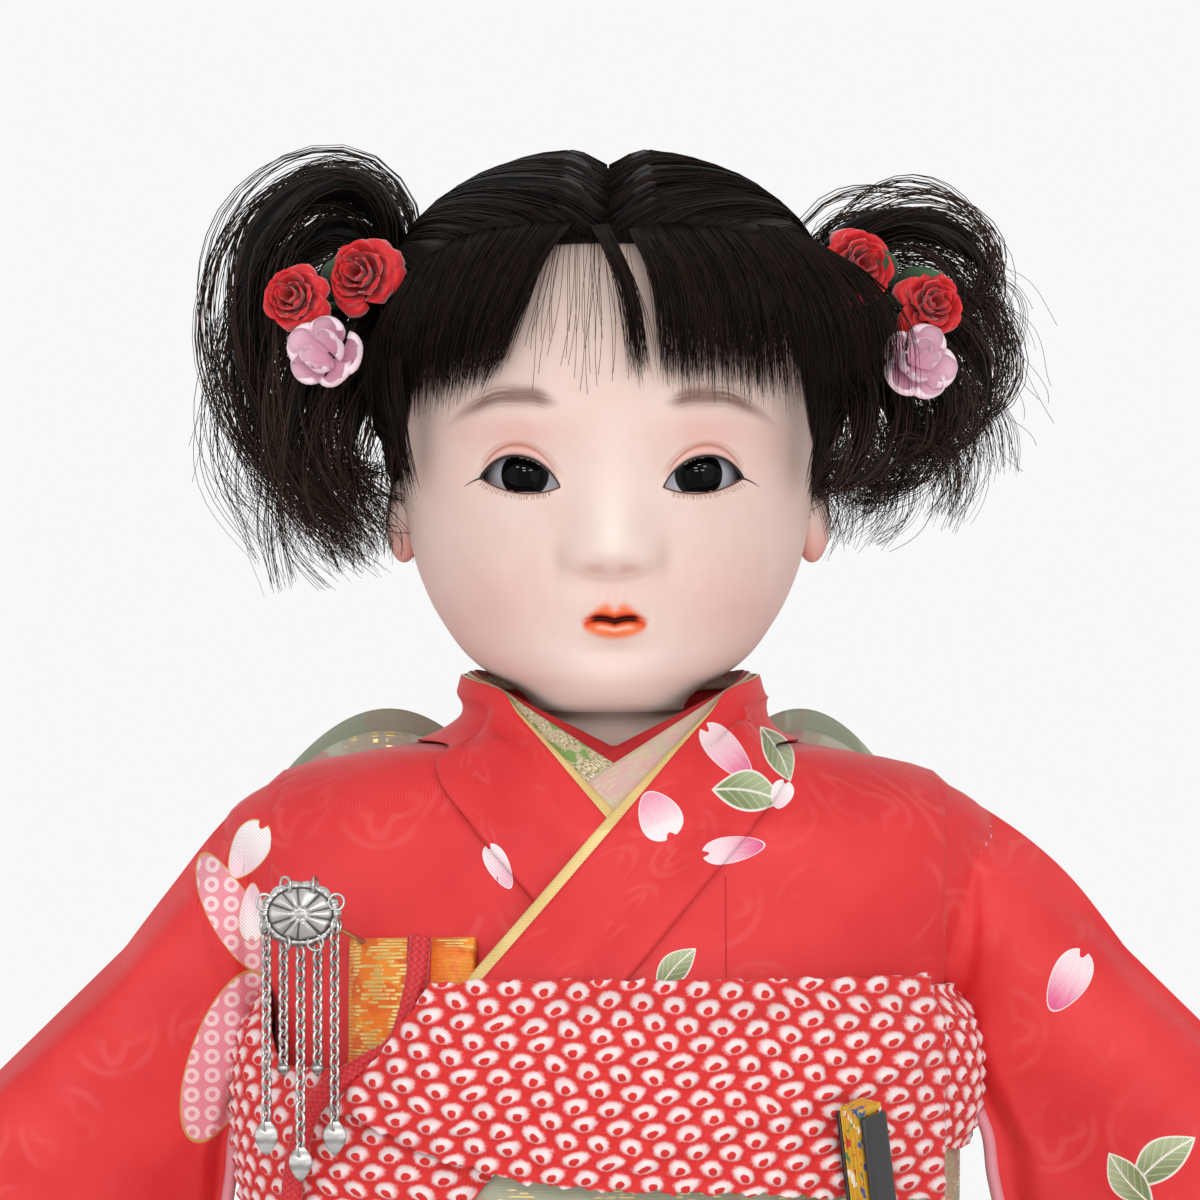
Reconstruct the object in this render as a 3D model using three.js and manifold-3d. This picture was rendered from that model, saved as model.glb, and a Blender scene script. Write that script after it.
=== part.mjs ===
// Ichimatsu doll in a long-sleeved kimono, standing on a lacquered board.
// Millimetres, +Z up, the face looks to -Y, +X is the doll's left, origin under the middle of the board.

import * as THREE from 'three';
import { mergeVertices } from 'three/addons/utils/BufferGeometryUtils.js';
import Module from 'manifold-3d';

// Clearances
const GAP = 0.3;
const CLOTH_GAP = 0.6;
const SWING_GAP = 1.2;
const CAP_GAP = 1.3;

// Display stand
const BOARD_WIDTH = 190;
const BOARD_DEPTH = 160;
const BOARD_THICKNESS = 14;
const BOARD_CORNER = 12;
const BOARD_CHAMFER = 2;
const POST_RADIUS = 4.5;
const POST_SEAT = 8;
const POST_REACH = 26;

// Heights of the dressed doll
const ZORI_THICKNESS = 7;
const HEM_LIFT = 14;
const SKIRT_LENGTH = 168;
const OBI_HEIGHT = 62;
const CHEST_HEIGHT = 41;
const SHOULDER_RISE = 14;
const CHIN_CLEARANCE = 5.6;
const HEAD_HEIGHT = 93;

// Girth of the kimono, as half width, front depth and back depth
const HEM_GIRTH = [50, 41, 41];
const WAIST_GIRTH = [57.5, 45, 42];
const CHEST_GIRTH = [58, 43, 39];
const SHOULDER_GIRTH = [66.5, 33, 33];
const COLLAR_GIRTH = [24, 20.5, 26];
const COLLAR_FLARE = 9;

// Cloth
const CLOTH = 1.4;
const LINING = 1.0;
const SKIRT_FOLD = 2;
const SKIRT_FOLDS = 5;
const SLEEVE_FULLNESS = 10;
const SLEEVE_BAG = 3.2;
const SLEEVE_FOLD = 5;
const SLEEVE_HEAD = 12;
const SLEEVE_DROP = 125;
const SLEEVE_INNER_DROP = 181;

// Collars: how far each edge stands above the kimono collar's edge
const COLLAR_WIDTH = 18.5;
const COLLAR_RISE = 13;
const GOLD_SHOW = 1.8;
const BROCADE_SHOW = 6.2;
const RED_SHOW = 9.4;
const COLLAR_LAYER = 0.6;
const COLLAR_LEVEL = 1.3;

// Obi, its scarf and its bow
const OBI_THICKNESS = 2.6;
const SCARF_TOP = 14;
const SCARF_PUFF = 4.2;
const SCARF_DROP = 32;
const FLAP_PUFF = 3;
const OBI_CORD_RADIUS = 2.4;
const BOW_SPAN = 70;
const BOW_DEPTH = 17;
const BOW_WALL = 2;
const BOW_RISE = 61;
const BOW_KNOT_HALF = 9;
const TAIL_LENGTH = 90;
const TAIL_HALF_WIDTH = 22;
const TAIL_THICKNESS = 3;

// Arms
const ARM_DROP_DEG = 42;
const UPPER_ARM = 52;
const FOREARM = 44;
const UPPER_ARM_RADIUS = 6;
const WRIST_RADIUS = 4.6;
const ARMHOLE_RADIUS = 16.5;

// Legs
const LEG_SPACING = 21;
const THIGH_RADIUS = 14;
const CALF_RADIUS = 11;
const KNEE_HEIGHT = 80;

// Head
const FACE_HALF_WIDTH = 36;
const FACE_DEPTH = 39;
const SKULL_DEPTH = 43;
const NECK_RADIUS = 13;
const NECK_PLUG_RADIUS = 9;
const NECK_PLUG_LENGTH = 16;
const EYE_SPACING = 15.5;
const EYE_RADIUS = 7.5;
const EYE_WIDTH = 13;
const EYE_HEIGHT = 6.4;
const SKULL_WALL = 6;

// Hair and its flowers
const HAIR_THICKNESS = 3.2;
const FRINGE_THICKNESS = 2.2;
const TIE_OUT = 3.5;
const TIE_RADIUS = 5.5;
const TIE_WIDTH = 3.4;
const LOCK_RADIUS = 10;
const ROSE_RADIUS = 5.4;
const BLOSSOM_RADIUS = 5;
const STEM_RADIUS = 0.8;

// Chest purse, its plate and chains, cord and fan
const PURSE_WIDTH = 22;
const PURSE_HEIGHT = 21;
const PURSE_THICKNESS = 4.6;
const PLATE_WIDTH = 13.6;
const PLATE_HEIGHT = 11;
const PLATE_THICKNESS = 1.2;
const CHAIN_LENGTH = 34;
const CHAIN_RADIUS = 0.95;
const CHAIN_COUNT = 5;
const PENDANT_RADIUS = 3.4;
const CORD_RADIUS = 1.6;
const TASSEL_LENGTH = 32;
const TASSEL_RADIUS = 4;
const FAN_LENGTH = 58;
const FAN_WIDTH = 5.2;
const FAN_STACK = 4.4;
const FAN_GUARD = 1.1;
const FAN_PLEATS = 5;

// Heights that follow from them
const soleZ = BOARD_THICKNESS + GAP;
const footZ = soleZ + ZORI_THICKNESS + GAP;
const hemZ = BOARD_THICKNESS + HEM_LIFT;
const waistZ = hemZ + SKIRT_LENGTH;
const obiTopZ = waistZ + OBI_HEIGHT;
const shoulderZ = obiTopZ + CHEST_HEIGHT;
const necklineZ = shoulderZ + SHOULDER_RISE;
const chinZ = necklineZ + CHIN_CLEARANCE;
const crownZ = chinZ + HEAD_HEIGHT;
const midObiZ = waistZ + OBI_HEIGHT / 2;
const crotchZ = waistZ - 20;
const kneeZ = footZ + KNEE_HEIGHT;
const scarfTopZ = obiTopZ + SCARF_TOP;
const obiOut = CLOTH_GAP + OBI_THICKNESS;

const wasm = await Module();
wasm.setup();

const RAD = Math.PI / 180;
const { lerp, smoothstep, clamp } = THREE.MathUtils;
const doll = new THREE.Group();

// A geometry from points and triangles, turned to face outwards.
function closedGeometry(points, triangles) {
  let volume = 0;
  for (const [a, b, c] of triangles) {
    volume += points[a].dot(points[b].clone().cross(points[c]));
  }
  const index = triangles.flatMap(([a, b, c]) => (volume > 0 ? [a, b, c] : [a, c, b]));
  const geometry = new THREE.BufferGeometry().setFromPoints(points);
  geometry.setIndex(index);
  geometry.computeVertexNormals();
  return geometry;
}

// A solid through closed rings of equal length, capped at both ends.
function loft(rings) {
  const around = rings[0].length;
  const points = rings.flat();
  const triangles = [];
  const at = (i, j) => i * around + (j % around);
  for (let i = 0; i + 1 < rings.length; i++) {
    for (let j = 0; j < around; j++) {
      triangles.push([at(i, j), at(i, j + 1), at(i + 1, j + 1)]);
      triangles.push([at(i, j), at(i + 1, j + 1), at(i + 1, j)]);
    }
  }
  for (const [ring, flip] of [[0, true], [rings.length - 1, false]]) {
    const middle = new THREE.Vector3();
    rings[ring].forEach((p) => middle.addScaledVector(p, 1 / around));
    const centre = points.push(middle) - 1;
    for (let j = 0; j < around; j++) {
      const [a, b] = flip ? [j + 1, j] : [j, j + 1];
      triangles.push([centre, at(ring, a), at(ring, b)]);
    }
  }
  return closedGeometry(points, triangles);
}

// A wall between two grids of points; around joins its last column to its first,
// and pole closes both grids at their first row.
function wall(outer, inner, around, pole = false) {
  const rows = outer.length;
  const columns = outer[0].length;
  const points = [...outer.flat(), ...inner.flat()];
  const far = rows * columns;
  const triangles = [];
  const at = (i, j) => i * columns + (j % columns);
  const quad = (a, b, c, d) => triangles.push([a, b, c], [a, c, d]);
  const steps = around ? columns : columns - 1;
  for (let j = 0; j < steps; j++) {
    for (let i = 0; i + 1 < rows; i++) {
      const [a, b, c, d] = [at(i, j), at(i, j + 1), at(i + 1, j + 1), at(i + 1, j)];
      quad(a, b, c, d);
      quad(far + d, far + c, far + b, far + a);
    }
    const top = rows - 1;
    if (!pole) quad(at(0, j + 1), at(0, j), far + at(0, j), far + at(0, j + 1));
    quad(at(top, j), at(top, j + 1), far + at(top, j + 1), far + at(top, j));
  }
  for (const [start, flip] of pole ? [[0, false], [far, true]] : []) {
    const middle = new THREE.Vector3();
    for (let j = 0; j < columns; j++) middle.addScaledVector(points[start + j], 1 / columns);
    const centre = points.push(middle) - 1;
    for (let j = 0; j < columns; j++) {
      const [a, b] = flip ? [j, j + 1] : [j + 1, j];
      triangles.push([centre, start + at(0, a), start + at(0, b)]);
    }
  }
  for (let i = 0; !around && i + 1 < rows; i++) {
    const end = columns - 1;
    quad(at(i, 0), at(i + 1, 0), far + at(i + 1, 0), far + at(i, 0));
    quad(at(i + 1, end), at(i, end), far + at(i, end), far + at(i + 1, end));
  }
  return closedGeometry(points, triangles);
}

// A grid of points from a function of two values from 0 to 1.
function grid(rows, columns, point) {
  return Array.from({ length: rows + 1 }, (_, i) =>
    Array.from({ length: columns + 1 }, (_, j) => point(i / rows, j / columns)));
}

// Rings round the body from a function of angle and height.
function rings(heights, around, point) {
  return heights.map((z) =>
    Array.from({ length: around }, (_, j) => point((2 * Math.PI * j) / around, z)));
}

function steps(from, to, count) {
  return Array.from({ length: count + 1 }, (_, i) => lerp(from, to, i / count));
}

// A round bar along points, its radius a number or a function of the share of its length.
function bar(path, radius, sides, flat = 1) {
  const curve = new THREE.CatmullRomCurve3(path);
  const count = path.length - 1;
  const frames = curve.computeFrenetFrames(count, false);
  const size = typeof radius === 'function' ? radius : () => radius;
  return loft(path.map((p, i) => Array.from({ length: sides }, (_, j) => {
    const angle = (2 * Math.PI * j) / sides;
    return p.clone()
      .addScaledVector(frames.normals[i], size(i / count) * Math.cos(angle))
      .addScaledVector(frames.binormals[i], flat * size(i / count) * Math.sin(angle));
  })));
}

// Points spaced evenly along a smooth curve through a few.
function smoothPath(points, count) {
  return new THREE.CatmullRomCurve3(points.map((p) => new THREE.Vector3(...p))).getSpacedPoints(count);
}

function ball(radius, centre, scale = [1, 1, 1], detail = 12) {
  const geometry = new THREE.SphereGeometry(radius, detail, Math.round(detail * 0.7));
  return geometry.scale(...scale).translate(centre.x, centre.y, centre.z);
}

function cylinder(radius, from, to, sides = 14) {
  const along = to.clone().sub(from);
  const geometry = new THREE.CylinderGeometry(radius, radius, along.length(), sides);
  const turn = new THREE.Quaternion()
    .setFromUnitVectors(new THREE.Vector3(0, 1, 0), along.clone().normalize());
  const middle = from.clone().lerp(to, 0.5);
  return geometry.applyQuaternion(turn).translate(middle.x, middle.y, middle.z);
}

// Booleans on geometries
function solidOf(geometry) {
  const bare = new THREE.BufferGeometry().setAttribute('position', geometry.getAttribute('position'));
  if (geometry.index) bare.setIndex(geometry.index);
  const merged = mergeVertices(bare, 1e-4);
  return new wasm.Manifold(new wasm.Mesh({
    numProp: 3,
    vertProperties: new Float32Array(merged.attributes.position.array),
    triVerts: new Uint32Array(merged.index.array),
  }));
}

function geometryOf(solid) {
  const mesh = solid.getMesh();
  const geometry = new THREE.BufferGeometry();
  geometry.setAttribute('position', new THREE.BufferAttribute(mesh.vertProperties, 3));
  geometry.setIndex(new THREE.BufferAttribute(mesh.triVerts, 1));
  geometry.computeVertexNormals();
  return geometry;
}

const join = (...parts) => geometryOf(parts.map(solidOf).reduce((a, b) => a.add(b)));
const cut = (base, ...tools) => geometryOf(tools.map(solidOf).reduce((a, b) => a.subtract(b), solidOf(base)));
// The largest body of a geometry, without the slivers that a cut leaves.
const largest = (geometry) => geometryOf(
  solidOf(geometry).decompose().reduce((a, b) => (a.volume() > b.volume() ? a : b)));

function piece(name, geometry, colour, roughness, metalness = 0) {
  const material = new THREE.MeshStandardMaterial({ color: colour, roughness, metalness });
  const mesh = new THREE.Mesh(geometry, material);
  mesh.name = name;
  doll.add(mesh);
}

const SIDES = [['right', -1], ['left', 1]];
const vec = (x, y, z) => new THREE.Vector3(x, y, z);

// Kimono surface: half width, front and back depth at a height
function girth(z) {
  if (z >= necklineZ) {
    const flare = COLLAR_FLARE * Math.exp((necklineZ - z) / 3.5);
    return COLLAR_GIRTH.map((size, k) => size + flare * (k ? 0.35 : 1));
  }
  if (z >= shoulderZ) {
    const rise = (z - shoulderZ) / SHOULDER_RISE;
    const round = (1 - rise ** 1.7) ** 0.75;
    return SHOULDER_GIRTH.map((size, k) =>
      lerp(COLLAR_GIRTH[k] + COLLAR_FLARE * (k ? 0.35 : 1), size, k ? 1 - rise : round));
  }
  const levels = [[hemZ, HEM_GIRTH], [waistZ, WAIST_GIRTH], [obiTopZ + 8, CHEST_GIRTH], [shoulderZ, SHOULDER_GIRTH]];
  const above = Math.max(1, levels.findIndex(([level]) => z <= level));
  const [[z0, low], [z1, high]] = [levels[above - 1], levels[above]];
  const share = (z - z0) / (z1 - z0);
  const ease = above === 3 ? smoothstep(share, 0, 1) * 0.6 + share * 0.4 : share;
  return low.map((size, k) => lerp(size, high[k], ease));
}

function onKimono(angle, z) {
  const [half, front, back] = girth(z);
  const depth = Math.cos(angle) > 0 ? front : back;
  return vec(half * Math.sin(angle), -depth * Math.cos(angle), z);
}

// The same point moved out along the surface's normal.
function body(angle, z, out) {
  const across = onKimono(angle + 0.01, z).sub(onKimono(angle - 0.01, z));
  const up = onKimono(angle, z + 0.2).sub(onKimono(angle, z - 0.2));
  return onKimono(angle, z).addScaledVector(across.cross(up).normalize(), out);
}

// The angle at which the front of a layer this far out from the kimono is at x.
const frontAngle = (x, z, out = 0) => Math.asin(clamp(x / (girth(z)[0] + out), -0.98, 0.98));

// A patch of cloth lying on the kimono between two offsets.
function patch(rows, columns, chart, inner, outer) {
  const place = (offset) => (v, u) => {
    const [angle, z] = chart(u, v);
    return body(angle, z, offset(u, v));
  };
  return wall(grid(rows, columns, place(outer)), grid(rows, columns, place(inner)), false);
}

// Stand
{
  const shape = new THREE.Shape();
  const [w, d, r] = [BOARD_WIDTH / 2 - BOARD_CHAMFER, BOARD_DEPTH / 2 - BOARD_CHAMFER, BOARD_CORNER];
  shape.moveTo(-w + r, -d);
  shape.lineTo(w - r, -d).absarc(w - r, -d + r, r, -Math.PI / 2, 0);
  shape.lineTo(w, d - r).absarc(w - r, d - r, r, 0, Math.PI / 2);
  shape.lineTo(-w + r, d).absarc(-w + r, d - r, r, Math.PI / 2, Math.PI);
  shape.lineTo(-w, -d + r).absarc(-w + r, -d + r, r, Math.PI, 1.5 * Math.PI);
  const board = new THREE.ExtrudeGeometry(shape, {
    depth: BOARD_THICKNESS - 2 * BOARD_CHAMFER, curveSegments: 3,
    bevelSize: BOARD_CHAMFER, bevelThickness: BOARD_CHAMFER, bevelSegments: 1,
  }).translate(0, 0, BOARD_CHAMFER);
  const seat = BOARD_THICKNESS - POST_SEAT;
  const hole = cylinder(POST_RADIUS + GAP, vec(0, 0, seat), vec(0, 0, BOARD_THICKNESS + 5));
  piece('display_board', cut(board, hole), 0x14100f, 0.15);
  const post = cylinder(POST_RADIUS, vec(0, 0, seat + GAP), vec(0, 0, crotchZ + POST_REACH));
  piece('support_post', post, 0x8d6a45, 0.5);
}

// Arm line: pivot at the shoulder and the way to the hand
const armPivot = (side) => vec(side * (SHOULDER_GIRTH[0] - 8.5), 0, shoulderZ - 15);
const armWay = (side) => vec(side * Math.cos(ARM_DROP_DEG * RAD), 0, -Math.sin(ARM_DROP_DEG * RAD));
const armPoint = (side, along) => armPivot(side).addScaledVector(armWay(side), along);

// Torso
{
  const inside = -(CLOTH + LINING + 2 * CLOTH_GAP + 0.5);
  const heights = [...steps(crotchZ, waistZ, 2), ...steps(midObiZ, shoulderZ, 4), shoulderZ + 4, shoulderZ + 8];
  const trunk = loft(rings(heights, 20, (angle, z) => body(angle, z, inside)));
  const neckBase = shoulderZ + 6;
  const tools = [
    cylinder(POST_RADIUS + GAP, vec(0, 0, crotchZ - 5), vec(0, 0, crotchZ + POST_REACH + GAP)),
    cylinder(NECK_RADIUS + 1, vec(0, 0, neckBase), vec(0, 0, neckBase + 20)),
    cylinder(NECK_PLUG_RADIUS + GAP, vec(0, 0, neckBase - NECK_PLUG_LENGTH - 1), vec(0, 0, neckBase + 5)),
    ...SIDES.map(([, side]) => ball(UPPER_ARM_RADIUS + 2 * GAP, armPivot(side), [1, 1, 1], 10)),
    ...SIDES.map(([, side]) => cylinder(ARMHOLE_RADIUS, armPivot(side).setX(side * (SHOULDER_GIRTH[0] - 11.5)),
      armPivot(side).setX(side * (SHOULDER_GIRTH[0] + 9)))),
  ];
  piece('torso', cut(trunk, ...tools), 0xe6d6c2, 0.8);
}

// Legs and footwear
for (const [name, side] of SIDES) {
  const x = side * LEG_SPACING;
  const oval = (halfX, halfY, y, z) => Array.from({ length: 14 }, (_, j) => {
    const angle = (2 * Math.PI * j) / 14;
    return vec(x + halfX * Math.sin(angle), y - halfY * Math.cos(angle), z);
  });
  const thigh = [1, 1.05, 0.95, 0.85].map((share, i) =>
    oval(THIGH_RADIUS * share, THIGH_RADIUS * share, 0, lerp(crotchZ - GAP, kneeZ + GAP, i / 3)));
  piece(`${name}_thigh`, loft(thigh), 0xe9e1d3, 0.9);
  const ankleZ = footZ + 12;
  const calf = loft([1, 1.08, 0.9, 0.72].map((share, i) =>
    oval(CALF_RADIUS * share, CALF_RADIUS * share, lerp(0, 3, i / 3), lerp(kneeZ, ankleZ - 4, i / 3))));
  const outline = [[13, 5, 9], [9, 8, 15], [0, 8.5, 17], [-14, 9.6, 11], [-28, 10.2, 5], [-39, 9, 4.4], [-44, 5, 3.2]];
  const foot = loft(outline.map(([y, half, high]) => Array.from({ length: 10 }, (_, j) => {
    const angle = (2 * Math.PI * j) / 10;
    return vec(x + half * Math.cos(angle), y, footZ + (high / 2) * (1 + Math.sin(angle)));
  })));
  const strapPath = smoothPath([
    [x - 11.5, 4, soleZ + ZORI_THICKNESS - 1], [x - 11.2, -3, footZ + 8], [x - 6, -18, footZ + 11],
    [x, -25, footZ + 8.2],
    [x + 6, -18, footZ + 11], [x + 11.2, -3, footZ + 8], [x + 11.5, 4, soleZ + ZORI_THICKNESS - 1],
  ], 10);
  const toePath = [vec(x, -25, footZ + 8.2), vec(x, -26, footZ + 4), vec(x, -26, footZ - 1.5)];
  const strap = (radius) => join(bar(strapPath, radius, 5), bar(toePath, radius, 5));
  piece(`${name}_lower_leg`, cut(join(calf, foot), strap(1.5 + GAP)), 0xf2efe9, 0.75);
  const sole = new THREE.Shape();
  sole.absellipse(x, -16, 13.5, 33, 0, 2 * Math.PI);
  const slab = new THREE.ExtrudeGeometry(sole, { depth: ZORI_THICKNESS, bevelEnabled: false, curveSegments: 10 });
  piece(`${name}_zori`, join(slab.translate(0, 0, soleZ), strap(1.5)), 0xb3202a, 0.5);
}

// Kimono: skirt, under-kimono and bodice
function skirtFold(angle, z) {
  const share = smoothstep(waistZ - z, 6, 110);
  return SKIRT_FOLD * share * Math.sin(SKIRT_FOLDS * angle + 0.7 * Math.sin(2 * angle));
}
function skirtRings(from, to, out) {
  const levels = steps(hemZ, midObiZ, 5).slice(1, -1);
  return rings([from, ...levels, to], 26, (angle, z) => body(angle, z, out + skirtFold(angle, z)));
}
{
  const under = -CLOTH - CLOTH_GAP - 0.15;
  const skirtTop = midObiZ - CLOTH_GAP;
  const skirt = wall(skirtRings(hemZ, skirtTop, 0), skirtRings(hemZ, skirtTop, -CLOTH), true);
  piece('kimono_skirt', skirt, 0xd5282c, 0.6);
  const [low, high] = [hemZ + 2, midObiZ - 4];
  piece('under_kimono', wall(skirtRings(low, high, under), skirtRings(low, high, under - LINING), true), 0xe9a0ab, 0.7);
  const heights = [...steps(midObiZ, shoulderZ, 4), ...[0.35, 0.7, 0.9].map((t) => shoulderZ + t * SHOULDER_RISE)];
  const shell = (out) => rings(heights, 24, (angle, z) => body(angle, z, out));
  const armholes = SIDES.map(([, side]) =>
    cylinder(ARMHOLE_RADIUS, armPivot(side).setX(side * 40), armPivot(side).setX(side * 90)));
  piece('kimono_bodice', cut(wall(shell(0), shell(-CLOTH), true), ...armholes), 0xdc2f31, 0.6);
}

// Collars: one band each from the right front end round the nape to the left front end.
// Stations run from the nape to the front end as [angle in degrees or x, height];
// edge is the kimono collar's own edge, seam its outer seam, inside the red collar's edge.
const sideZ = necklineZ + COLLAR_RISE;
const endZ = scarfTopZ + 3;
const SLOPE = 1.127;
const lineX = (z) => COLLAR_GIRTH[0] - (sideZ - z) / SLOPE;
const edgeStation = (z) => ({ x: lineX(z), z });
const acrossEdge = (z, by) => ({ x: lineX(z) + 0.748 * by, z: z - 0.664 * by });
const STATION_Z = [sideZ - 3.2, sideZ - 11.5, sideZ - 25, endZ];
const COLLAR_EDGE = [
  { turn: 180, z: sideZ - 2.5 }, { turn: 135, z: sideZ - 1 }, { turn: 95, z: sideZ },
  ...STATION_Z.map(edgeStation),
];
const COLLAR_SEAM = [
  { turn: 180, z: necklineZ - 1 }, { turn: 135, z: necklineZ - 1 }, { turn: 95, z: necklineZ - 0.8 },
  { x: COLLAR_GIRTH[0] + 9, z: necklineZ - 3.5 },
  ...STATION_Z.slice(1, 3).map((z) => acrossEdge(z, COLLAR_WIDTH)),
  { x: lineX(endZ) + COLLAR_WIDTH / 0.664, z: endZ },
];
const COLLAR_INSIDE = [
  { turn: 180, z: sideZ - 1.6 }, { turn: 135, z: sideZ }, { turn: 95, z: sideZ + 1 },
  acrossEdge(STATION_Z[0], -RED_SHOW * 0.18),
  acrossEdge(STATION_Z[1], -RED_SHOW * 0.55),
  ...STATION_Z.slice(2).map((z) => acrossEdge(z, -RED_SHOW * 0.8)),
];
function stationCurve(stations) {
  return new THREE.CatmullRomCurve3(stations.map(({ turn, x, z }) =>
    vec(turn === undefined ? frontAngle(x, z) : turn * RAD, z, 0)));
}
const collarCurves = [COLLAR_EDGE, COLLAR_SEAM, COLLAR_INSIDE].map(stationCurve);
function collarChart(s, across) {
  const t = clamp(Math.abs(s), 0, 1);
  const [edge, seam, inside] = collarCurves.map((curve) => curve.getPoint(t));
  const at = across >= 0
    ? edge.lerp(seam, across / COLLAR_WIDTH)
    : edge.lerp(inside, -across / RED_SHOW);
  return [s < 0 ? -at.x : at.x, at.y];
}
function collar(widths, level, ends) {
  const place = (extra) => widths.map((across) => {
    const from = ends(across);
    return steps(-from[0], from[1], 20).map((s) => {
      const stack = CLOTH_GAP + 0.75 + (level + 2 * smoothstep(s, -0.55, 0.2)) * COLLAR_LEVEL + extra;
      const [angle, z] = collarChart(s, across);
      return body(angle, z, stack);
    });
  });
  return wall(place(COLLAR_LAYER), place(0), false);
}
const seamStep = COLLAR_WIDTH / 5;
const innerEnds = () => [0.875, 0.875];
const outerEnds = (across) => [lerp(0.885, 0.975, clamp(across / COLLAR_WIDTH, 0, 1)), 1];
piece('red_collar', collar([-RED_SHOW, -BROCADE_SHOW, -GOLD_SHOW, 0], 0, innerEnds), 0xa50f14, 0.65);
piece('brocade_collar', collar([-BROCADE_SHOW, -GOLD_SHOW, 0, seamStep], 1, innerEnds), 0xb9a46a, 0.45, 0.3);
piece('gold_collar', collar([-GOLD_SHOW, 0, seamStep], 4, outerEnds), 0xe0c27a, 0.5);
piece('kimono_collar', collar([0, seamStep, 3 * seamStep, COLLAR_WIDTH], 5, outerEnds), 0xdf3133, 0.6);

// Obi with its scarf and cord
const turnOf = (angle) => Math.atan2(Math.sin(angle), Math.cos(angle)) / RAD;
const window2 = (value, a, b, c, d) => smoothstep(value, a, b) * (1 - smoothstep(value, c, d));
const scarfIn = obiOut + CLOTH_GAP;
const scarfOut = scarfIn + 0.8 + SCARF_PUFF;
const flapIn = scarfOut + 0.5;
const flapOut = flapIn + 1 + FLAP_PUFF;
{
  const shell = (out) => rings(steps(waistZ, obiTopZ, 2), 32, (angle, z) => body(angle, z, out));
  piece('obi', wall(shell(obiOut), shell(CLOTH_GAP), true), 0xb9bf9f, 0.55);

  // The scarf's upper edge dips under the purse, and its lower edge hangs deeper there.
  const dip = (angle) => window2(turnOf(angle), -76, -64, -20, -8);
  const top = (angle) => scarfTopZ - (SCARF_TOP + 1.5) * dip(angle);
  const low = (angle) => obiTopZ - SCARF_DROP + 10 * (1 - window2(turnOf(angle), -95, -80, -30, 5));
  const shares = [0, 0.2, 0.5, 0.84, 1];
  const scarf = (offset) => shares.map((v) => Array.from({ length: 32 }, (_, j) => {
    const angle = (2 * Math.PI * j) / 32;
    return body(angle, lerp(low(angle), top(angle), v), offset(v, 1 - dip(angle)));
  }));
  const inner = (v, raised) => (v === 1 ? lerp(scarfIn, CLOTH_GAP + 0.4, raised ** 4) : scarfIn);
  const outer = (v, raised) => inner(v, raised) + 0.8 + SCARF_PUFF * Math.sin(Math.PI * v) ** 0.6;
  piece('obi_scarf', wall(scarf(outer), scarf(inner), true), 0xe05a5c, 0.75);

  // The flap is the scarf's loose end, folded over the front to a point on the right.
  const lineAt = (x, points) => {
    const k = clamp(points.findIndex(([px]) => x <= px), 1, points.length - 1);
    const [[x0, z0], [x1, z1]] = [points[k - 1], points[k]];
    return lerp(z0, z1, clamp((x - x0) / (x1 - x0), 0, 1));
  };
  const flapTop = [[-46, obiTopZ - 5], [-39, obiTopZ + 2.5], [-30, obiTopZ + SCARF_TOP], [60, obiTopZ + SCARF_TOP]];
  const flapLow = [[-46, obiTopZ - 8], [-35, obiTopZ - 14], [-15, obiTopZ - 20], [25, obiTopZ - 22], [60, obiTopZ - 27]];
  const chart = (u, v) => {
    const x = lerp(-46, 57, u);
    const z = lerp(lineAt(x, flapLow), lineAt(x, flapTop) + 0.8 * smoothstep(x, -30, -20), v);
    return [frontAngle(x, obiTopZ - 5, flapIn), z];
  };
  const low2 = (u, v) => (v === 1 ? lerp(flapIn, CLOTH_GAP + 4.2, smoothstep(lerp(-46, 57, u), -18, -6)) : flapIn);
  const high2 = (u, v) => low2(u, v) + 1 + FLAP_PUFF * Math.sin(Math.PI * v) ** 0.6 * window2(u, 0, 0.15, 0.92, 1);
  piece('obi_scarf_flap', patch(4, 16, chart, low2, high2), 0xe36668, 0.75);
}

// The fan stands on the left between the scarf's flap and the obi cord, turned half edge on.
const fanHalf = Math.hypot(FAN_WIDTH, FAN_STACK + 2 * (FAN_GUARD + GAP)) / 2;
const fanTopZ = obiTopZ - 4;
const fanLowZ = fanTopZ - FAN_LENGTH;
const fanPoint = (x, z, out) => body(frontAngle(x, z, out), z, out);
const fanTop = fanPoint(43.5, fanTopZ, flapOut + 1.5 + fanHalf);
const fanLow = fanPoint(50, fanLowZ, obiOut + 1.2 + fanHalf);
const fanUp = fanTop.clone().sub(fanLow).normalize();
{
  const face = vec(0.62, -0.785, 0).projectOnPlane(fanUp).normalize();
  const edge = new THREE.Vector3().crossVectors(face, fanUp);
  const frame = new THREE.Matrix4().makeBasis(edge, face, fanUp).setPosition(fanLow);
  const stack = FAN_STACK / 2;
  const leaf = new THREE.Shape();
  const teeth = steps(-stack, stack, 2 * FAN_PLEATS);
  const half = (i) => FAN_WIDTH / 2 - 0.7 * (i % 2);
  teeth.forEach((y, i) => (i ? leaf.lineTo(half(i), y) : leaf.moveTo(half(i), y)));
  [...teeth].reverse().forEach((y, i) => leaf.lineTo(-half(i), y));
  const pleats = new THREE.ExtrudeGeometry(leaf, { depth: FAN_LENGTH, bevelEnabled: false });
  piece('fan_leaf', pleats.applyMatrix4(frame), 0xd9b13a, 0.45, 0.4);
  for (const [name, way] of [['fan_front_guard', 1], ['fan_back_guard', -1]]) {
    const stick = new THREE.BoxGeometry(FAN_WIDTH, FAN_GUARD, FAN_LENGTH - 1.2);
    stick.translate(0, way * (stack + GAP + FAN_GUARD / 2), FAN_LENGTH / 2 - 0.6);
    piece(name, stick.applyMatrix4(frame), 0x0c0b0d, 0.2);
  }
}

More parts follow.
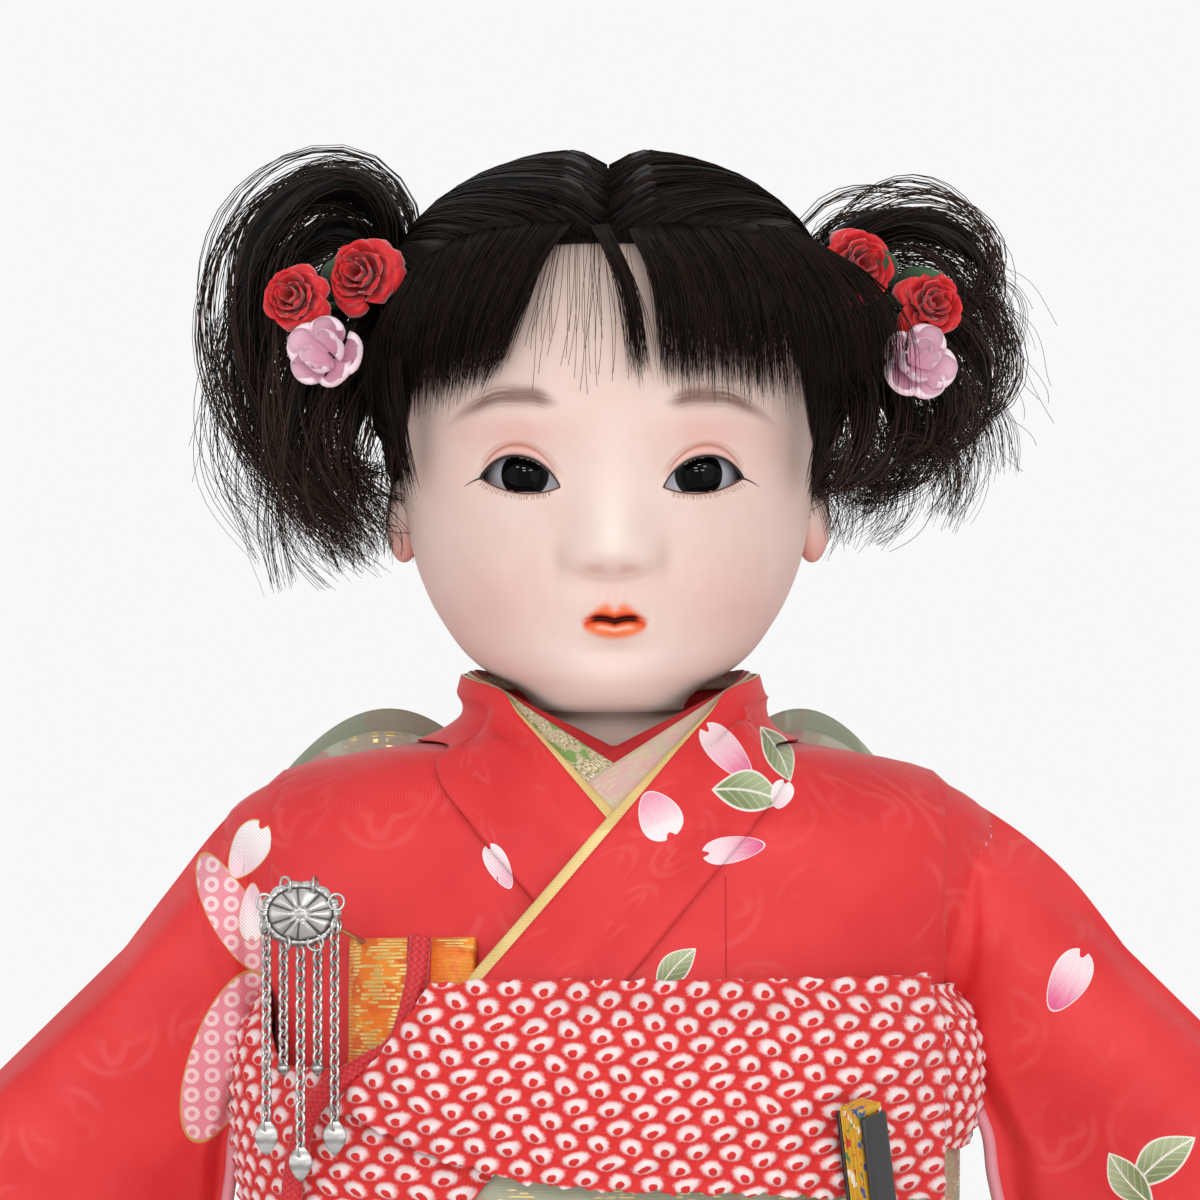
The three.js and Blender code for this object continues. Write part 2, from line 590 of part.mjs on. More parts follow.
// Obi cord: a closed loop over the fan and the bow's tail, knotted in front
const cordZ = waistZ + 0.27 * OBI_HEIGHT;
{
  const fanAngle = frontAngle(lerp(fanLow.x, fanTop.x, (cordZ - fanLowZ) / FAN_LENGTH), cordZ, obiOut + fanHalf) / RAD;
  const fanReach = lerp(obiOut + 1.2, flapOut + 1.5, (cordZ - fanLowZ) / FAN_LENGTH) + 2 * fanHalf;
  const overFan = fanReach + GAP - obiOut;
  const overTail = TAIL_THICKNESS + 2 * CLOTH_GAP + 1;
  const count = 30;
  const loop = Array.from({ length: count }, (_, j) => {
    const angle = (2 * Math.PI * j) / count;
    const turn = turnOf(angle);
    const lift = overFan * window2(turn, fanAngle - 32, fanAngle - 9, fanAngle + 13, fanAngle + 44)
      + overTail * smoothstep(Math.abs(turn), 128, 146);
    return body(angle, cordZ, obiOut + GAP + 0.15 + OBI_CORD_RADIUS + lift);
  });
  const section = (j, radius, way) => {
    const out = loop[j].clone().setZ(0).normalize();
    return loop[j].clone().addScaledVector(out, radius * Math.cos(way)).add(vec(0, 0, radius * Math.sin(way)));
  };
  const tube = (radius) => {
    const points = [];
    const triangles = [];
    for (let j = 0; j < count; j++) {
      for (let k = 0; k < 6; k++) points.push(section(j, radius, (2 * Math.PI * k) / 6));
    }
    const at = (j, k) => (j % count) * 6 + (k % 6);
    for (let j = 0; j < count; j++) {
      for (let k = 0; k < 6; k++) {
        triangles.push([at(j, k), at(j + 1, k), at(j + 1, k + 1)], [at(j, k), at(j + 1, k + 1), at(j, k + 1)]);
      }
    }
    return closedGeometry(points, triangles);
  };
  const knot = loop[0];
  const bow = ball(1, knot.clone().add(vec(0, -1.5, 0)), [5.5, 3.6, 4.4], 8);
  piece('obi_cord', join(tube(OBI_CORD_RADIUS), bow), 0xd8b04c, 0.6);
}

// Bow of the obi: two hollow loops, the knot between them and a tail
const backY = onKimono(Math.PI, obiTopZ).y + scarfOut + CLOTH_GAP;
const bowTop = (x) => obiTopZ + 30 + (BOW_RISE - 30) * Math.sin(Math.PI * clamp((x - 10) / 60, 0, 1)) ** 0.8;
const bowLow = (x) => obiTopZ - 4 - 16 * Math.sin(Math.PI * clamp((x - 10) / 60, 0, 1)) ** 0.8;
for (const [name, side] of SIDES) {
  const from = BOW_KNOT_HALF + GAP;
  const middle = (from + BOW_SPAN) / 2;
  const loop = (inset) => steps(0, 1, 3).map((k) => Array.from({ length: 18 }, (_, j) => {
    const angle = (2 * Math.PI * j) / 18;
    const x = middle + ((BOW_SPAN - from) / 2 - inset) * Math.cos(angle);
    const y = backY + BOW_DEPTH / 2 + (BOW_DEPTH / 2 - inset) * Math.sin(angle);
    return vec(side * x, y, lerp(bowLow(x), bowTop(x), k));
  }));
  piece(`bow_${name}_loop`, wall(loop(0), loop(BOW_WALL), true), 0xb9bfa2, 0.55);
}
{
  const knot = ball(1, vec(0, backY + BOW_DEPTH * 0.55, obiTopZ + 12), [BOW_KNOT_HALF, BOW_DEPTH * 0.55, 19], 12);
  piece('bow_knot', knot, 0xb2707a, 0.55);
  const tailTop = obiTopZ - 4;
  const rows = [0, 0.06, 0.12, 0.2, 0.3, 0.4, 0.7, 1].map((k) => tailTop - k * TAIL_LENGTH);
  const clearScarf = (z) => lerp(obiOut, scarfOut, smoothstep(z, obiTopZ - 34, obiTopZ - 23));
  const sheet = (extra) => rows.map((z) => steps(-1, 1, 6).map((u) => {
    const half = lerp(BOW_KNOT_HALF - 0.5, TAIL_HALF_WIDTH, smoothstep(tailTop - z, 2, 40));
    const level = Math.max(z, waistZ);
    const angle = Math.PI - Math.asin((u * half) / girth(level)[0]);
    return body(angle, level, clearScarf(z) + CLOTH_GAP + extra).setZ(z);
  }));
  piece('bow_tail', wall(sheet(0.5 + TAIL_THICKNESS), sheet(0.5), false), 0xbfb79e, 0.55);
}

// Chest purse with its plate, chains and cord, on the right
const purseX = -45.6;
const purseLowZ = obiTopZ + 1;
const purseTopZ = purseLowZ + PURSE_HEIGHT;
const purseOut = CLOTH_GAP + PURSE_THICKNESS;
{
  const chart = (u, v) => {
    const z = lerp(purseLowZ, purseTopZ, v);
    return [frontAngle(purseX + u * PURSE_WIDTH, z, purseOut), z];
  };
  const round = (u, v) => PURSE_THICKNESS * (0.72 + 0.28 * window2(u, 0, 0.14, 0.86, 1) * window2(v, 0, 0.14, 0.86, 1));
  piece('chest_purse', patch(4, 6, chart, () => CLOTH_GAP, (u, v) => CLOTH_GAP + round(u, v)), 0xe2741c, 0.5);
}
const plateX = purseX - 5.9;
const plateZ = purseTopZ + 5.2;
const hangY = -44;
const chainX = (i) => plateX + ((i - (CHAIN_COUNT - 1) / 2) * PLATE_WIDTH * 0.84) / (CHAIN_COUNT - 1);
const rimZ = (x) => plateZ - (PLATE_HEIGHT / 2) * Math.sqrt(1 - (2 * (x - plateX) / PLATE_WIDTH) ** 2);
{
  const oval = new THREE.Shape();
  oval.absellipse(plateX, plateZ, PLATE_WIDTH / 2, PLATE_HEIGHT / 2, 0, 2 * Math.PI);
  const disc = new THREE.ExtrudeGeometry(oval, { depth: PLATE_THICKNESS, bevelEnabled: false, curveSegments: 10 });
  disc.rotateX(Math.PI / 2).translate(0, hangY + PLATE_THICKNESS / 2, 0);
  const seat = body(frontAngle(purseX + 5, purseTopZ, purseOut / 2), purseTopZ, CLOTH_GAP + PURSE_THICKNESS / 2);
  const pin = bar(smoothPath([
    [plateX + 3, hangY + 0.3, plateZ - 1], [plateX + 6, hangY + 4, plateZ - 2.5],
    [seat.x, seat.y, seat.z + 1.5], [seat.x + 6, seat.y - 2.5, seat.z + 1.4],
  ], 6), 0.7, 6);
  piece('ornament_plate', join(disc, pin), 0xb9bcc0, 0.3, 0.9);
  for (let i = 0; i < CHAIN_COUNT; i++) {
    const x = chainX(i);
    const top = Math.min(rimZ(x - CHAIN_RADIUS), rimZ(x + CHAIN_RADIUS)) - GAP;
    const long = i % 2 === 0;
    const length = long ? CHAIN_LENGTH : CHAIN_LENGTH * 0.62;
    const strand = bar(steps(top, top - length, 2).map((z) => vec(x, hangY, z)), CHAIN_RADIUS, 6);
    const pendant = ball(1, vec(x, hangY, top - length - PENDANT_RADIUS + 0.8), [1.9, 0.55, PENDANT_RADIUS], 8);
    const drop = ball(1, vec(x, hangY, top - length), [1.15, 1.15, 1.4], 6);
    piece(`chain_${i + 1}`, join(strand, long ? pendant : drop), 0xa8abae, 0.3, 0.9);
  }
}
{
  const overScarf = scarfOut + GAP + CORD_RADIUS + 0.3;
  const overPurse = purseOut + GAP + CORD_RADIUS;
  const overCord = obiOut + 2 * (GAP + OBI_CORD_RADIUS) + CORD_RADIUS + 2;
  const route = [
    [-32.5, purseTopZ - 0.5, overPurse], [-33.5, purseTopZ - 9, overPurse], [-36.5, obiTopZ + 5, overPurse],
    [-41.8, obiTopZ + 1.6, overPurse + 1.2], [-48, obiTopZ - 2.4, overScarf], [-51.5, obiTopZ - 7, overScarf],
    [-53.5, obiTopZ - 14, overScarf], [-54.5, obiTopZ - 22, overScarf], [-54.8, obiTopZ - 31, overCord],
  ];
  const path = smoothPath(route.map(([x, z, out]) => body(frontAngle(x, z, out), z, out).toArray()), 12);
  piece('purse_cord', bar(path, CORD_RADIUS, 8), 0xb5161b, 0.6);
  const end = path[path.length - 1];
  const shape = [[0.3, 0.5], [1.6, 2.6], [3, 3], [3.8, 2.6], [6, 3.4], [0.6 * TASSEL_LENGTH, 1], [TASSEL_LENGTH, 1.05]];
  const outline = shape.map(([z, r], i) => new THREE.Vector2(i < 4 ? r * 0.95 : i === 4 ? r : r * TASSEL_RADIUS, -z));
  const profile = [new THREE.Vector2(0, -0.3), ...outline, new THREE.Vector2(0, -TASSEL_LENGTH)].reverse();
  const tassel = new THREE.LatheGeometry(profile, 10).rotateX(Math.PI / 2);
  piece('purse_tassel', tassel.translate(end.x, end.y, end.z - CORD_RADIUS), 0xb5161b, 0.7);
}

// Arms and sleeves
const sleeveX = SHOULDER_GIRTH[0] + SWING_GAP;
for (const [name, side] of SIDES) {
  const elbow = UPPER_ARM;
  const wrist = UPPER_ARM + FOREARM;
  const upper = [0, 4, 30, elbow - GAP].map((along) => armPoint(side, along));
  const upperRadius = (t) => UPPER_ARM_RADIUS * (t === 0 ? 0.92 : 1 - 0.06 * t);
  const socket = ball(UPPER_ARM_RADIUS, armPivot(side), [1, 1, 1], 8);
  piece(`${name}_upper_arm`, join(bar(upper, upperRadius, 8), socket), 0xe9e1d3, 0.9);

  const way = armWay(side);
  const thin = vec(way.z, 0, -way.x);
  const hand = (along, across, up = 0) =>
    armPoint(side, wrist + along).add(vec(0, across, 0)).addScaledVector(thin, up);
  const lower = [elbow, elbow + 20, wrist, wrist + 3].map((along) => armPoint(side, along));
  const palm = ball(1, vec(0, 0, 0), [9, 5.6, 3.1], 8);
  palm.applyMatrix4(new THREE.Matrix4().makeBasis(way, vec(0, 1, 0), vec(0, 1, 0).cross(way).negate())
    .setPosition(hand(8, 0)));
  const fingers = [-3.9, -1.3, 1.3, 3.9].map((across) =>
    bar([hand(12, across), hand(19, across * 1.05), hand(24 - Math.abs(across), across * 1.1, -side)], 1.25, 5));
  const thumb = bar([hand(4, -4), hand(9, -7.5), hand(14, -8.2)], 1.4, 5);
  const forearmRadius = (t) => lerp(UPPER_ARM_RADIUS * 0.94, WRIST_RADIUS, t ** 0.8);
  piece(`${name}_forearm`, join(bar(lower, forearmRadius, 8), palm, ...fingers, thumb), 0xf0d9c8, 0.55);

  // The sleeve hangs from its upper fold, full over the arm and thin below, with soft folds.
  const corner = armPoint(side, wrist - 8).addScaledVector(vec(side * -way.z, 0, Math.abs(way.x)), 12);
  const reach = Math.abs(corner.x);
  const innerEdge = new THREE.CatmullRomCurve3([
    vec(sleeveX, 0, shoulderZ), vec(sleeveX, 0, shoulderZ - 27), vec(sleeveX + 2.5, 0, shoulderZ - 47),
    vec(sleeveX + 9, 0, shoulderZ - 77), vec(sleeveX + 14, 0, shoulderZ - 119),
    vec(sleeveX + 16, 0, shoulderZ - SLEEVE_INNER_DROP),
  ]);
  const outerEdge = new THREE.CatmullRomCurve3([
    vec(reach, 0, corner.z), vec(reach + 4, 0, corner.z - 0.2 * SLEEVE_DROP),
    vec(reach + 6, 0, corner.z - 0.55 * SLEEVE_DROP), vec(reach + 4, 0, corner.z - SLEEVE_DROP),
  ]);
  const fold = vec(reach - sleeveX, 0, corner.z - shoulderZ).normalize();
  const face = (front) => (t, s) => {
    const p = innerEdge.getPoint(t).lerp(outerEdge.getPoint(t), s);
    const below = (p.x - sleeveX) * fold.z - (p.z - shoulderZ) * fold.x;
    const full = SLEEVE_FULLNESS * Math.max(0, below / 14) * Math.exp(1 - below / 14);
    const edge = window2(s, -0.02, 0.1, 0.9, 1.02) * window2(t, -0.02, 0.06, 0.94, 1.02);
    const drape = (SLEEVE_BAG - 1 + full) * Math.max(edge, s < 0.1 ? 0.6 : 0.25);
    const shoulder = 1 - ((p.z - armPivot(side).z) / ARMHOLE_RADIUS) ** 2;
    const head = SLEEVE_HEAD * Math.sqrt(Math.max(0, shoulder)) * (1 - smoothstep(s, 0, 0.4));
    const half = 1 + Math.max(drape, head);
    const sway = SLEEVE_FOLD * t ** 1.3 * Math.sin(2 * Math.PI * (1.2 * s + 0.1));
    return vec(side * p.x, sway + front * half, p.z);
  };
  const bag = wall(grid(9, 7, face(-1)), grid(9, 7, face(1)), false);
  const arm = [-4, 20, elbow, wrist + 30].map((along) => armPoint(side, along));
  const channel = bar(arm, UPPER_ARM_RADIUS + GAP + 0.2, 12);
  piece(`${name}_sleeve`, cut(bag, channel), 0xd92d30, 0.6);
}

// Head: half width, front and back depth by height over the chin, in shares of the head
function outlineCurve(rows) {
  // A smooth curve through the rows that doesn't overshoot them.
  const slope = (k) => (rows[k + 1][1] - rows[k][1]) / (rows[k + 1][0] - rows[k][0]);
  const tangent = (k) => {
    if (k === 0) return slope(0);
    if (k === rows.length - 1) return slope(k - 1);
    const [a, b] = [slope(k - 1), slope(k)];
    return a * b <= 0 ? 0 : (2 * a * b) / (a + b);
  };
  return (x) => {
    const found = rows.findIndex(([at]) => x <= at);
    const k = clamp(found < 0 ? rows.length - 2 : found - 1, 0, rows.length - 2);
    const [[x0, y0], [x1, y1]] = [rows[k], rows[k + 1]];
    const t = clamp((x - x0) / (x1 - x0), 0, 1);
    const h = x1 - x0;
    return y0 * (1 + 2 * t) * (1 - t) ** 2 + h * tangent(k) * t * (1 - t) ** 2
      + y1 * t * t * (3 - 2 * t) - h * tangent(k + 1) * t * t * (1 - t);
  };
}
const headWidth = outlineCurve([
  [0, 0.36], [1.4, 0.375], [3.7, 0.43], [10.4, 0.66], [19, 0.845], [26, 0.925], [32, 0.965], [42, 0.99],
  [55, 1], [70, 0.975], [80, 0.86], [87, 0.65], [91.5, 0.34], [93, 0.06],
]);
const headFront = outlineCurve([
  [0, 0.56], [1.4, 0.69], [3.7, 0.78], [7, 0.845], [10.4, 0.875], [19, 0.9], [32, 0.93], [42, 0.95], [55, 1],
  [65, 1], [75, 0.91], [83, 0.7], [89, 0.42], [93, 0.06],
]);
const headBack = outlineCurve([
  [0, 0.3], [10, 0.44], [18, 0.65], [26, 0.81], [36, 0.93], [48, 1], [60, 1], [72, 0.91], [82, 0.7], [89, 0.4],
  [93, 0.06],
]);
const headScale = HEAD_HEIGHT / 93;
const bump = (x, h, at, rise, wide, tall) => rise * Math.exp(-(((x - at[0]) / wide) ** 2) - ((h - at[1]) / tall) ** 2);
function relief(x, h) {
  const away = Math.abs(x);
  return bump(x, h, [0, 27], 6, 4.6, 5) + bump(x, h, [0, 36], 2.2, 4, 7) + bump(away, h, [5.2, 25.5], 1.7, 2.6, 3)
    + bump(x, h, [0, 16], 2.3, 6.5, 4.2) + bump(x, h, [0, 5.5], 1.6, 7, 4)
    + bump(away, h, [EYE_SPACING, 40], -2.2, 8, 5) + bump(away, h, [19, 22], 1.2, 9, 9);
}
function onHead(angle, h, shaped = false) {
  const front = Math.cos(angle) > 0;
  const depth = front ? headFront(h) * FACE_DEPTH : headBack(h) * SKULL_DEPTH;
  const x = headWidth(h) * FACE_HALF_WIDTH * Math.sin(angle);
  const out = shaped && front ? relief(x, h) * Math.min(1, 1.6 * Math.cos(angle)) : 0;
  return vec(x, -depth * Math.cos(angle) - out, chinZ + h * headScale);
}
function hair(angle, h, out) {
  const across = onHead(angle + 0.01, h).sub(onHead(angle - 0.01, h));
  const up = onHead(angle, Math.min(h + 0.3, 93)).sub(onHead(angle, h - 0.3));
  return onHead(angle, h).addScaledVector(across.cross(up).normalize(), out);
}
const eyeH = 40;
const eyeCentre = (side) => {
  const angle = Math.asin(EYE_SPACING / (headWidth(eyeH) * FACE_HALF_WIDTH));
  const lid = onHead(angle, eyeH, true);
  return vec(side * lid.x, lid.y + 0.4 + EYE_RADIUS, lid.z);
};
{
  const heights = [0, 1.4, 4, 8, 12, 16, 19.5, 23, 26.5, 30, 35, 41, 48, 57, 66, 75, 83, 89, 92.4];
  const face = loft(rings(heights, 24, (angle, h) => onHead(angle, h, true)));
  const neckBase = shoulderZ + 6 + GAP;
  const neck = cylinder(NECK_RADIUS, vec(0, 0, neckBase), vec(0, 0, chinZ + 4));
  const plug = cylinder(NECK_PLUG_RADIUS, vec(0, 0, neckBase - NECK_PLUG_LENGTH), vec(0, 0, neckBase + 1));
  const ears = SIDES.map(([, side]) =>
    ball(1, vec(side * (FACE_HALF_WIDTH * 0.985), 4, chinZ + 33), [3.2, 4.6, 7.4], 8));
  const hollow = ball(1, vec(0, 3, chinZ + 50), [FACE_HALF_WIDTH - SKULL_WALL, FACE_DEPTH - 8, 36], 8);
  const crownHole = cylinder(17, vec(0, 5, crownZ - 24), vec(0, 5, crownZ + 5));
  const sockets = SIDES.map(([, side]) => ball(EYE_RADIUS + GAP, eyeCentre(side), [1, 1, 1], 10));
  const lids = SIDES.map(([, side]) => {
    const centre = eyeCentre(side);
    const almond = new THREE.Shape();
    almond.moveTo(-EYE_WIDTH / 2, -0.4);
    almond.quadraticCurveTo(0, EYE_HEIGHT * 1.05, EYE_WIDTH / 2, -0.4);
    almond.quadraticCurveTo(0, -EYE_HEIGHT * 0.95, -EYE_WIDTH / 2, -0.4);
    const slot = new THREE.ExtrudeGeometry(almond, { depth: 30, bevelEnabled: false, curveSegments: 4 });
    return slot.rotateX(Math.PI / 2).translate(centre.x, centre.y, centre.z);
  });
  piece('head', cut(join(face, neck, plug, ...ears), hollow, crownHole, ...sockets, ...lids), 0xf0d8c6, 0.5);
  for (const [name, side] of SIDES) {
    piece(`${name}_eye`, ball(EYE_RADIUS, eyeCentre(side), [1, 1, 1], 10), 0x120c0a, 0.1);
  }
}

// Wig: combed cap with a parting, and the fringe over it
const hairline = outlineCurve([
  [0, 78], [40, 76], [62, 62], [75, 46], [88, 44], [100, 44], [114, 30], [135, 22], [180, 19],
]);
{
  const cap = (extra) => steps(0, 1, 6).map((v) => Array.from({ length: 26 }, (_, j) => {
    const angle = (2 * Math.PI * j) / 26;
    const h = lerp(91.8, hairline(Math.abs(turnOf(angle))), v ** 1.35);
    const p = hair(angle, h, extra);
    const part = p.y < 5 ? 1.3 * Math.exp(-((p.x / 2.2) ** 2)) * smoothstep(h, 70, 82) : 0;
    return extra > CAP_GAP ? hair(angle, h, extra - part) : p;
  }));
  piece('wig_cap', wall(cap(HAIR_THICKNESS), cap(CAP_GAP), true, true), 0x17110f, 0.4);

  const root = outlineCurve([[0, 85], [50, 80], [96, 67]]);
  const tip = outlineCurve([[0, 53], [25, 52], [45, 48], [62, 43], [96, 45.5]]);
  const over = HAIR_THICKNESS + GAP + 0.9;
  const tipOff = outlineCurve([[0, 1.2], [45, 1.2], [66, over], [96, over]]);
  const turn = (u) => lerp(-96, 96, u);
  const wisp = (u) => 1.1 * (Math.round(u * 26) % 2);
  const sheet = (extra) => grid(4, 26, (v, u) => {
    const away = Math.abs(turn(u));
    const h = lerp(root(away), tip(away) + wisp(u), v);
    const inner = lerp(over, tipOff(away), smoothstep(v, 0.3, 1));
    return hair(turn(u) * RAD, h, inner + extra * (1 - 0.5 * v));
  });
  piece('fringe', wall(sheet(FRINGE_THICKNESS), sheet(0), false), 0x1a1411, 0.5);
}

// Pigtails, their ties and flowers
const TIE_TURN = 110;
const TIE_H = 72;
const LOCKS = {
  right: [
    [[2, -3, 11], [7, -7, 19], [15, -11, 18], [22, -13, 11], [25, -15, -1], [25, -15, -17], [22, -13, -31], [18, -11, -39]],
    [[4, 1, 8], [12, 1, 11], [19, 1, 5], [22, 1, -7], [20, 0, -23], [16, -2, -36], [13, -5, -45]],
    [[4, -7, 2], [10, -13, -1], [14, -19, -11], [15, -21, -25], [13, -19, -37], [9, -16, -45]],
    [[4, 5, -3], [10, 9, -11], [14, 9, -25], [11, 7, -37]],
    [[3, -5, -5], [6, -11, -15], [7, -14, -27], [5, -11, -37]],
  ],
  left: [
    [[5, -3, 9], [15, -7, 16], [26, -11, 13], [33, -13, 5], [33, -15, -6], [27, -14, -9]],
    [[9, 1, 3], [21, 1, 1], [29, -1, -9], [33, -5, -21], [31, -9, -31], [24, -11, -35]],
    [[7, -7, -3], [17, -13, -9], [25, -17, -19], [27, -17, -29], [21, -15, -39], [13, -13, -42]],
    [[7, 5, -5], [15, 7, -15], [19, 7, -27], [15, 5, -39], [8, 1, -46]],
    [[4, -5, -7], [8, -11, -17], [8, -13, -29], [5, -11, -38], [3, -9, -45]],
  ],
};
const FLOWERS = {
  right: { upper: [-42, -19, 74.5], lower: [-53.4, -20, 70.6], blossom: [-47.4, -24, 61.2], leaf: [-49, -15, 75] },
  left: { upper: [42.6, -19, 76], lower: [55, -20, 69.5], blossom: [50, -24, 60], leaf: [50, -15, 76] },
};
// Where each flower's wire stem ends in the tied hair, out from the middle of the bunch
const STEM_ENDS = { upper: [1, 0, 2.5], lower: [5, -1, 0], blossom: [2.5, -1, -3.5], leaf: [5, 1, 4] };
function rosette(radius, depth, petals, twist) {
  const profile = [[0.25, 0], [0.8, 0.3], [1, 0.75], [0.82, 0.95], [0.5, 0.75], [0.3, 1]];
  return loft(profile.map(([share, up], i) => Array.from({ length: 8 }, (_, j) => {
    const angle = (2 * Math.PI * j) / 8;
    const r = radius * share * (1 + 0.1 * Math.cos(petals * angle + i * twist));
    return vec(r * Math.cos(angle), -depth * up, r * Math.sin(angle));
  })));
}
for (const [name, side] of SIDES) {
  const turn = side * TIE_TURN * RAD;
  const base = hair(turn, TIE_H, HAIR_THICKNESS + GAP);
  const out = hair(turn, TIE_H, HAIR_THICKNESS + GAP + 1).sub(base).normalize();
  const tieAt = base.clone().addScaledVector(out, TIE_WIDTH / 2);
  const ring = new THREE.TorusGeometry(TIE_RADIUS - TIE_WIDTH / 2, TIE_WIDTH / 2, 6, 12);
  ring.applyQuaternion(new THREE.Quaternion().setFromUnitVectors(vec(0, 0, 1), out));
  piece(`${name}_hair_tie`, ring.translate(tieAt.x, tieAt.y, tieAt.z), 0x1b1413, 0.7);

  const start = base.clone().addScaledVector(out, TIE_WIDTH + TIE_OUT);
  const locks = LOCKS[name].map((points) => {
    const path = smoothPath([start.toArray(), ...points.map(([x, y, z]) =>
      [base.x + side * x, base.y + y, base.z + z])], 6);
    return bar(path, (t) => LOCK_RADIUS * (0.3 + 0.6 * Math.sin(Math.PI * t ** 0.75) ** 0.8), 5);
  });
  const clearHead = loft(rings(steps(0, 92, 9), 20, (angle, h) =>
    hair(angle, h, HAIR_THICKNESS + FRINGE_THICKNESS + 1.8)));
  const flowers = FLOWERS[name];
  const spot = ([x, y, h]) => vec(x, y, chinZ + h * headScale);
  const petals = [[flowers.upper, ROSE_RADIUS], [flowers.lower, ROSE_RADIUS], [flowers.blossom, BLOSSOM_RADIUS]];
  const rooms = petals.map(([at, radius]) => ball(1, spot(at).add(vec(0, -2, 0)), [radius + 1, 6.4, radius + 1], 8));
  const leafRoom = ball(1, spot(flowers.leaf), [5.8, 2.2, 3.3], 8);
  const root = cylinder(TIE_RADIUS - TIE_WIDTH - GAP, base, start.clone().addScaledVector(out, 2), 10);
  const tieRoom = cylinder(TIE_RADIUS + 2 * GAP, base, base.clone().addScaledVector(out, TIE_WIDTH + GAP), 12);
  const stem = (key, radius) => {
    const [x, y, z] = STEM_ENDS[key];
    const from = spot(flowers[key]).add(vec(0, key === 'leaf' ? 0 : -0.8, 0));
    return cylinder(radius, from, start.clone().add(vec(side * x, y, z)), 5);
  };
  const channels = Object.keys(STEM_ENDS).map((key) => stem(key, STEM_RADIUS + GAP));
  const mass = cut(join(...locks), clearHead, ...rooms, leafRoom, tieRoom, ...channels);
  piece(`${name}_pigtail`, largest(join(mass, cut(root, ...channels))), 0x1d1512, 0.5);

  const place = (geometry, at) => geometry.translate(spot(at).x, spot(at).y, spot(at).z);
  const flower = (key, radius) =>
    join(cut(place(rosette(radius, 4.6, 4, 1.1), flowers[key]), clearHead), stem(key, STEM_RADIUS));
  piece(`${name}_upper_rose`, flower('upper', ROSE_RADIUS), 0xc4121b, 0.55);
  piece(`${name}_lower_rose`, flower('lower', ROSE_RADIUS), 0xc4121b, 0.55);
  piece(`${name}_blossom`, flower('blossom', BLOSSOM_RADIUS), 0xe9bccb, 0.55);
  const leaf = ball(1, spot(flowers.leaf), [5.2, 1.6, 2.6], 8);
  piece(`${name}_leaves`, join(leaf, stem('leaf', STEM_RADIUS)), 0x2b4a2a, 0.6);
}

export default doll;
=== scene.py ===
"""Ichimatsu doll in a long-sleeved kimono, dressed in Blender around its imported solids.

Sizes are in millimetres inside the classes and become metres when a mesh is made.
The face looks to -Y, +X is the doll's left, and +Z is up.
"""

from __future__ import annotations

import logging
import math
from dataclasses import dataclass, field
from enum import Enum
from typing import Callable, Sequence

import bpy
import numpy as np
from numpy.typing import NDArray
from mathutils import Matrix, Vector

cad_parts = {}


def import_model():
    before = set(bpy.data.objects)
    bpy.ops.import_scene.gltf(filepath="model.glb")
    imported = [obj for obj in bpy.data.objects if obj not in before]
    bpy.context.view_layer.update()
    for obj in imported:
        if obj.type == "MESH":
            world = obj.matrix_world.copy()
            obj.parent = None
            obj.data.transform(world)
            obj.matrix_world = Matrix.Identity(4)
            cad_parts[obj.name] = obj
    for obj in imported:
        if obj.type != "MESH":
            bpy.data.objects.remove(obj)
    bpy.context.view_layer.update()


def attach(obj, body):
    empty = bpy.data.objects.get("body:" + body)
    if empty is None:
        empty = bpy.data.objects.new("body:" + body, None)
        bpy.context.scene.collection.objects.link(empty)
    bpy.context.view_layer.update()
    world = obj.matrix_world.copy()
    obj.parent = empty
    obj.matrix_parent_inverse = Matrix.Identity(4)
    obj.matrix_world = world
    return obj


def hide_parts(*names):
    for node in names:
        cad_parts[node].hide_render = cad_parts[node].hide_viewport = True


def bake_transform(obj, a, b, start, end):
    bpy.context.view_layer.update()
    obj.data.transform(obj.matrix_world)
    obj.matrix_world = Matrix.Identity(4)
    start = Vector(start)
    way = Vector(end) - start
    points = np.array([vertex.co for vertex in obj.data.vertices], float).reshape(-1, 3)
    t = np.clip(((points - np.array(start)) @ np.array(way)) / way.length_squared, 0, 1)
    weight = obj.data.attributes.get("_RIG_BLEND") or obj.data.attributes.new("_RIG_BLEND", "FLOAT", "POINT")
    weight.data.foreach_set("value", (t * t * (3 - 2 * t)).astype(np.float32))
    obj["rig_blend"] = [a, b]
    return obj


Array = NDArray[np.float64]
Curve = Callable[[Array], Array]
Socket, Tree = bpy.types.NodeSocket, bpy.types.NodeTree
Material, Piece = bpy.types.Material, bpy.types.Object
LOG = logging.getLogger("doll")
MM = 0.001
TAU = 2.0 * math.pi


class Side(Enum):
    """The doll's own right and left, with the sign of X."""

    RIGHT = -1
    LEFT = 1

    @property
    def word(self) -> str:
        """The side as it stands in node names."""
        return self.name.lower()


class Body(str, Enum):
    """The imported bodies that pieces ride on."""

    DOLL = "doll_on_stand"
    HEAD = "head"
    OUTER_CHAINS = "outer_chains"
    MIDDLE_CHAIN = "middle_chain"
    INNER_CHAINS = "inner_chains"
    FAN = "fan"


# Number helpers


def lerp(a: Array, b: Array, t: Array) -> Array:
    """The value a share t of the way from a to b."""
    return a + (b - a) * t


def ease(x: Array, low: float, high: float) -> Array:
    """Smooth step from 0 at low to 1 at high."""
    t = np.clip((np.asarray(x, float) - low) / (high - low), 0.0, 1.0)
    return t * t * (3.0 - 2.0 * t)


def window(x: Array, a: float, b: float, c: float, d: float) -> Array:
    """Rises from a to b and falls from c to d."""
    return ease(x, a, b) * (1.0 - ease(x, c, d))


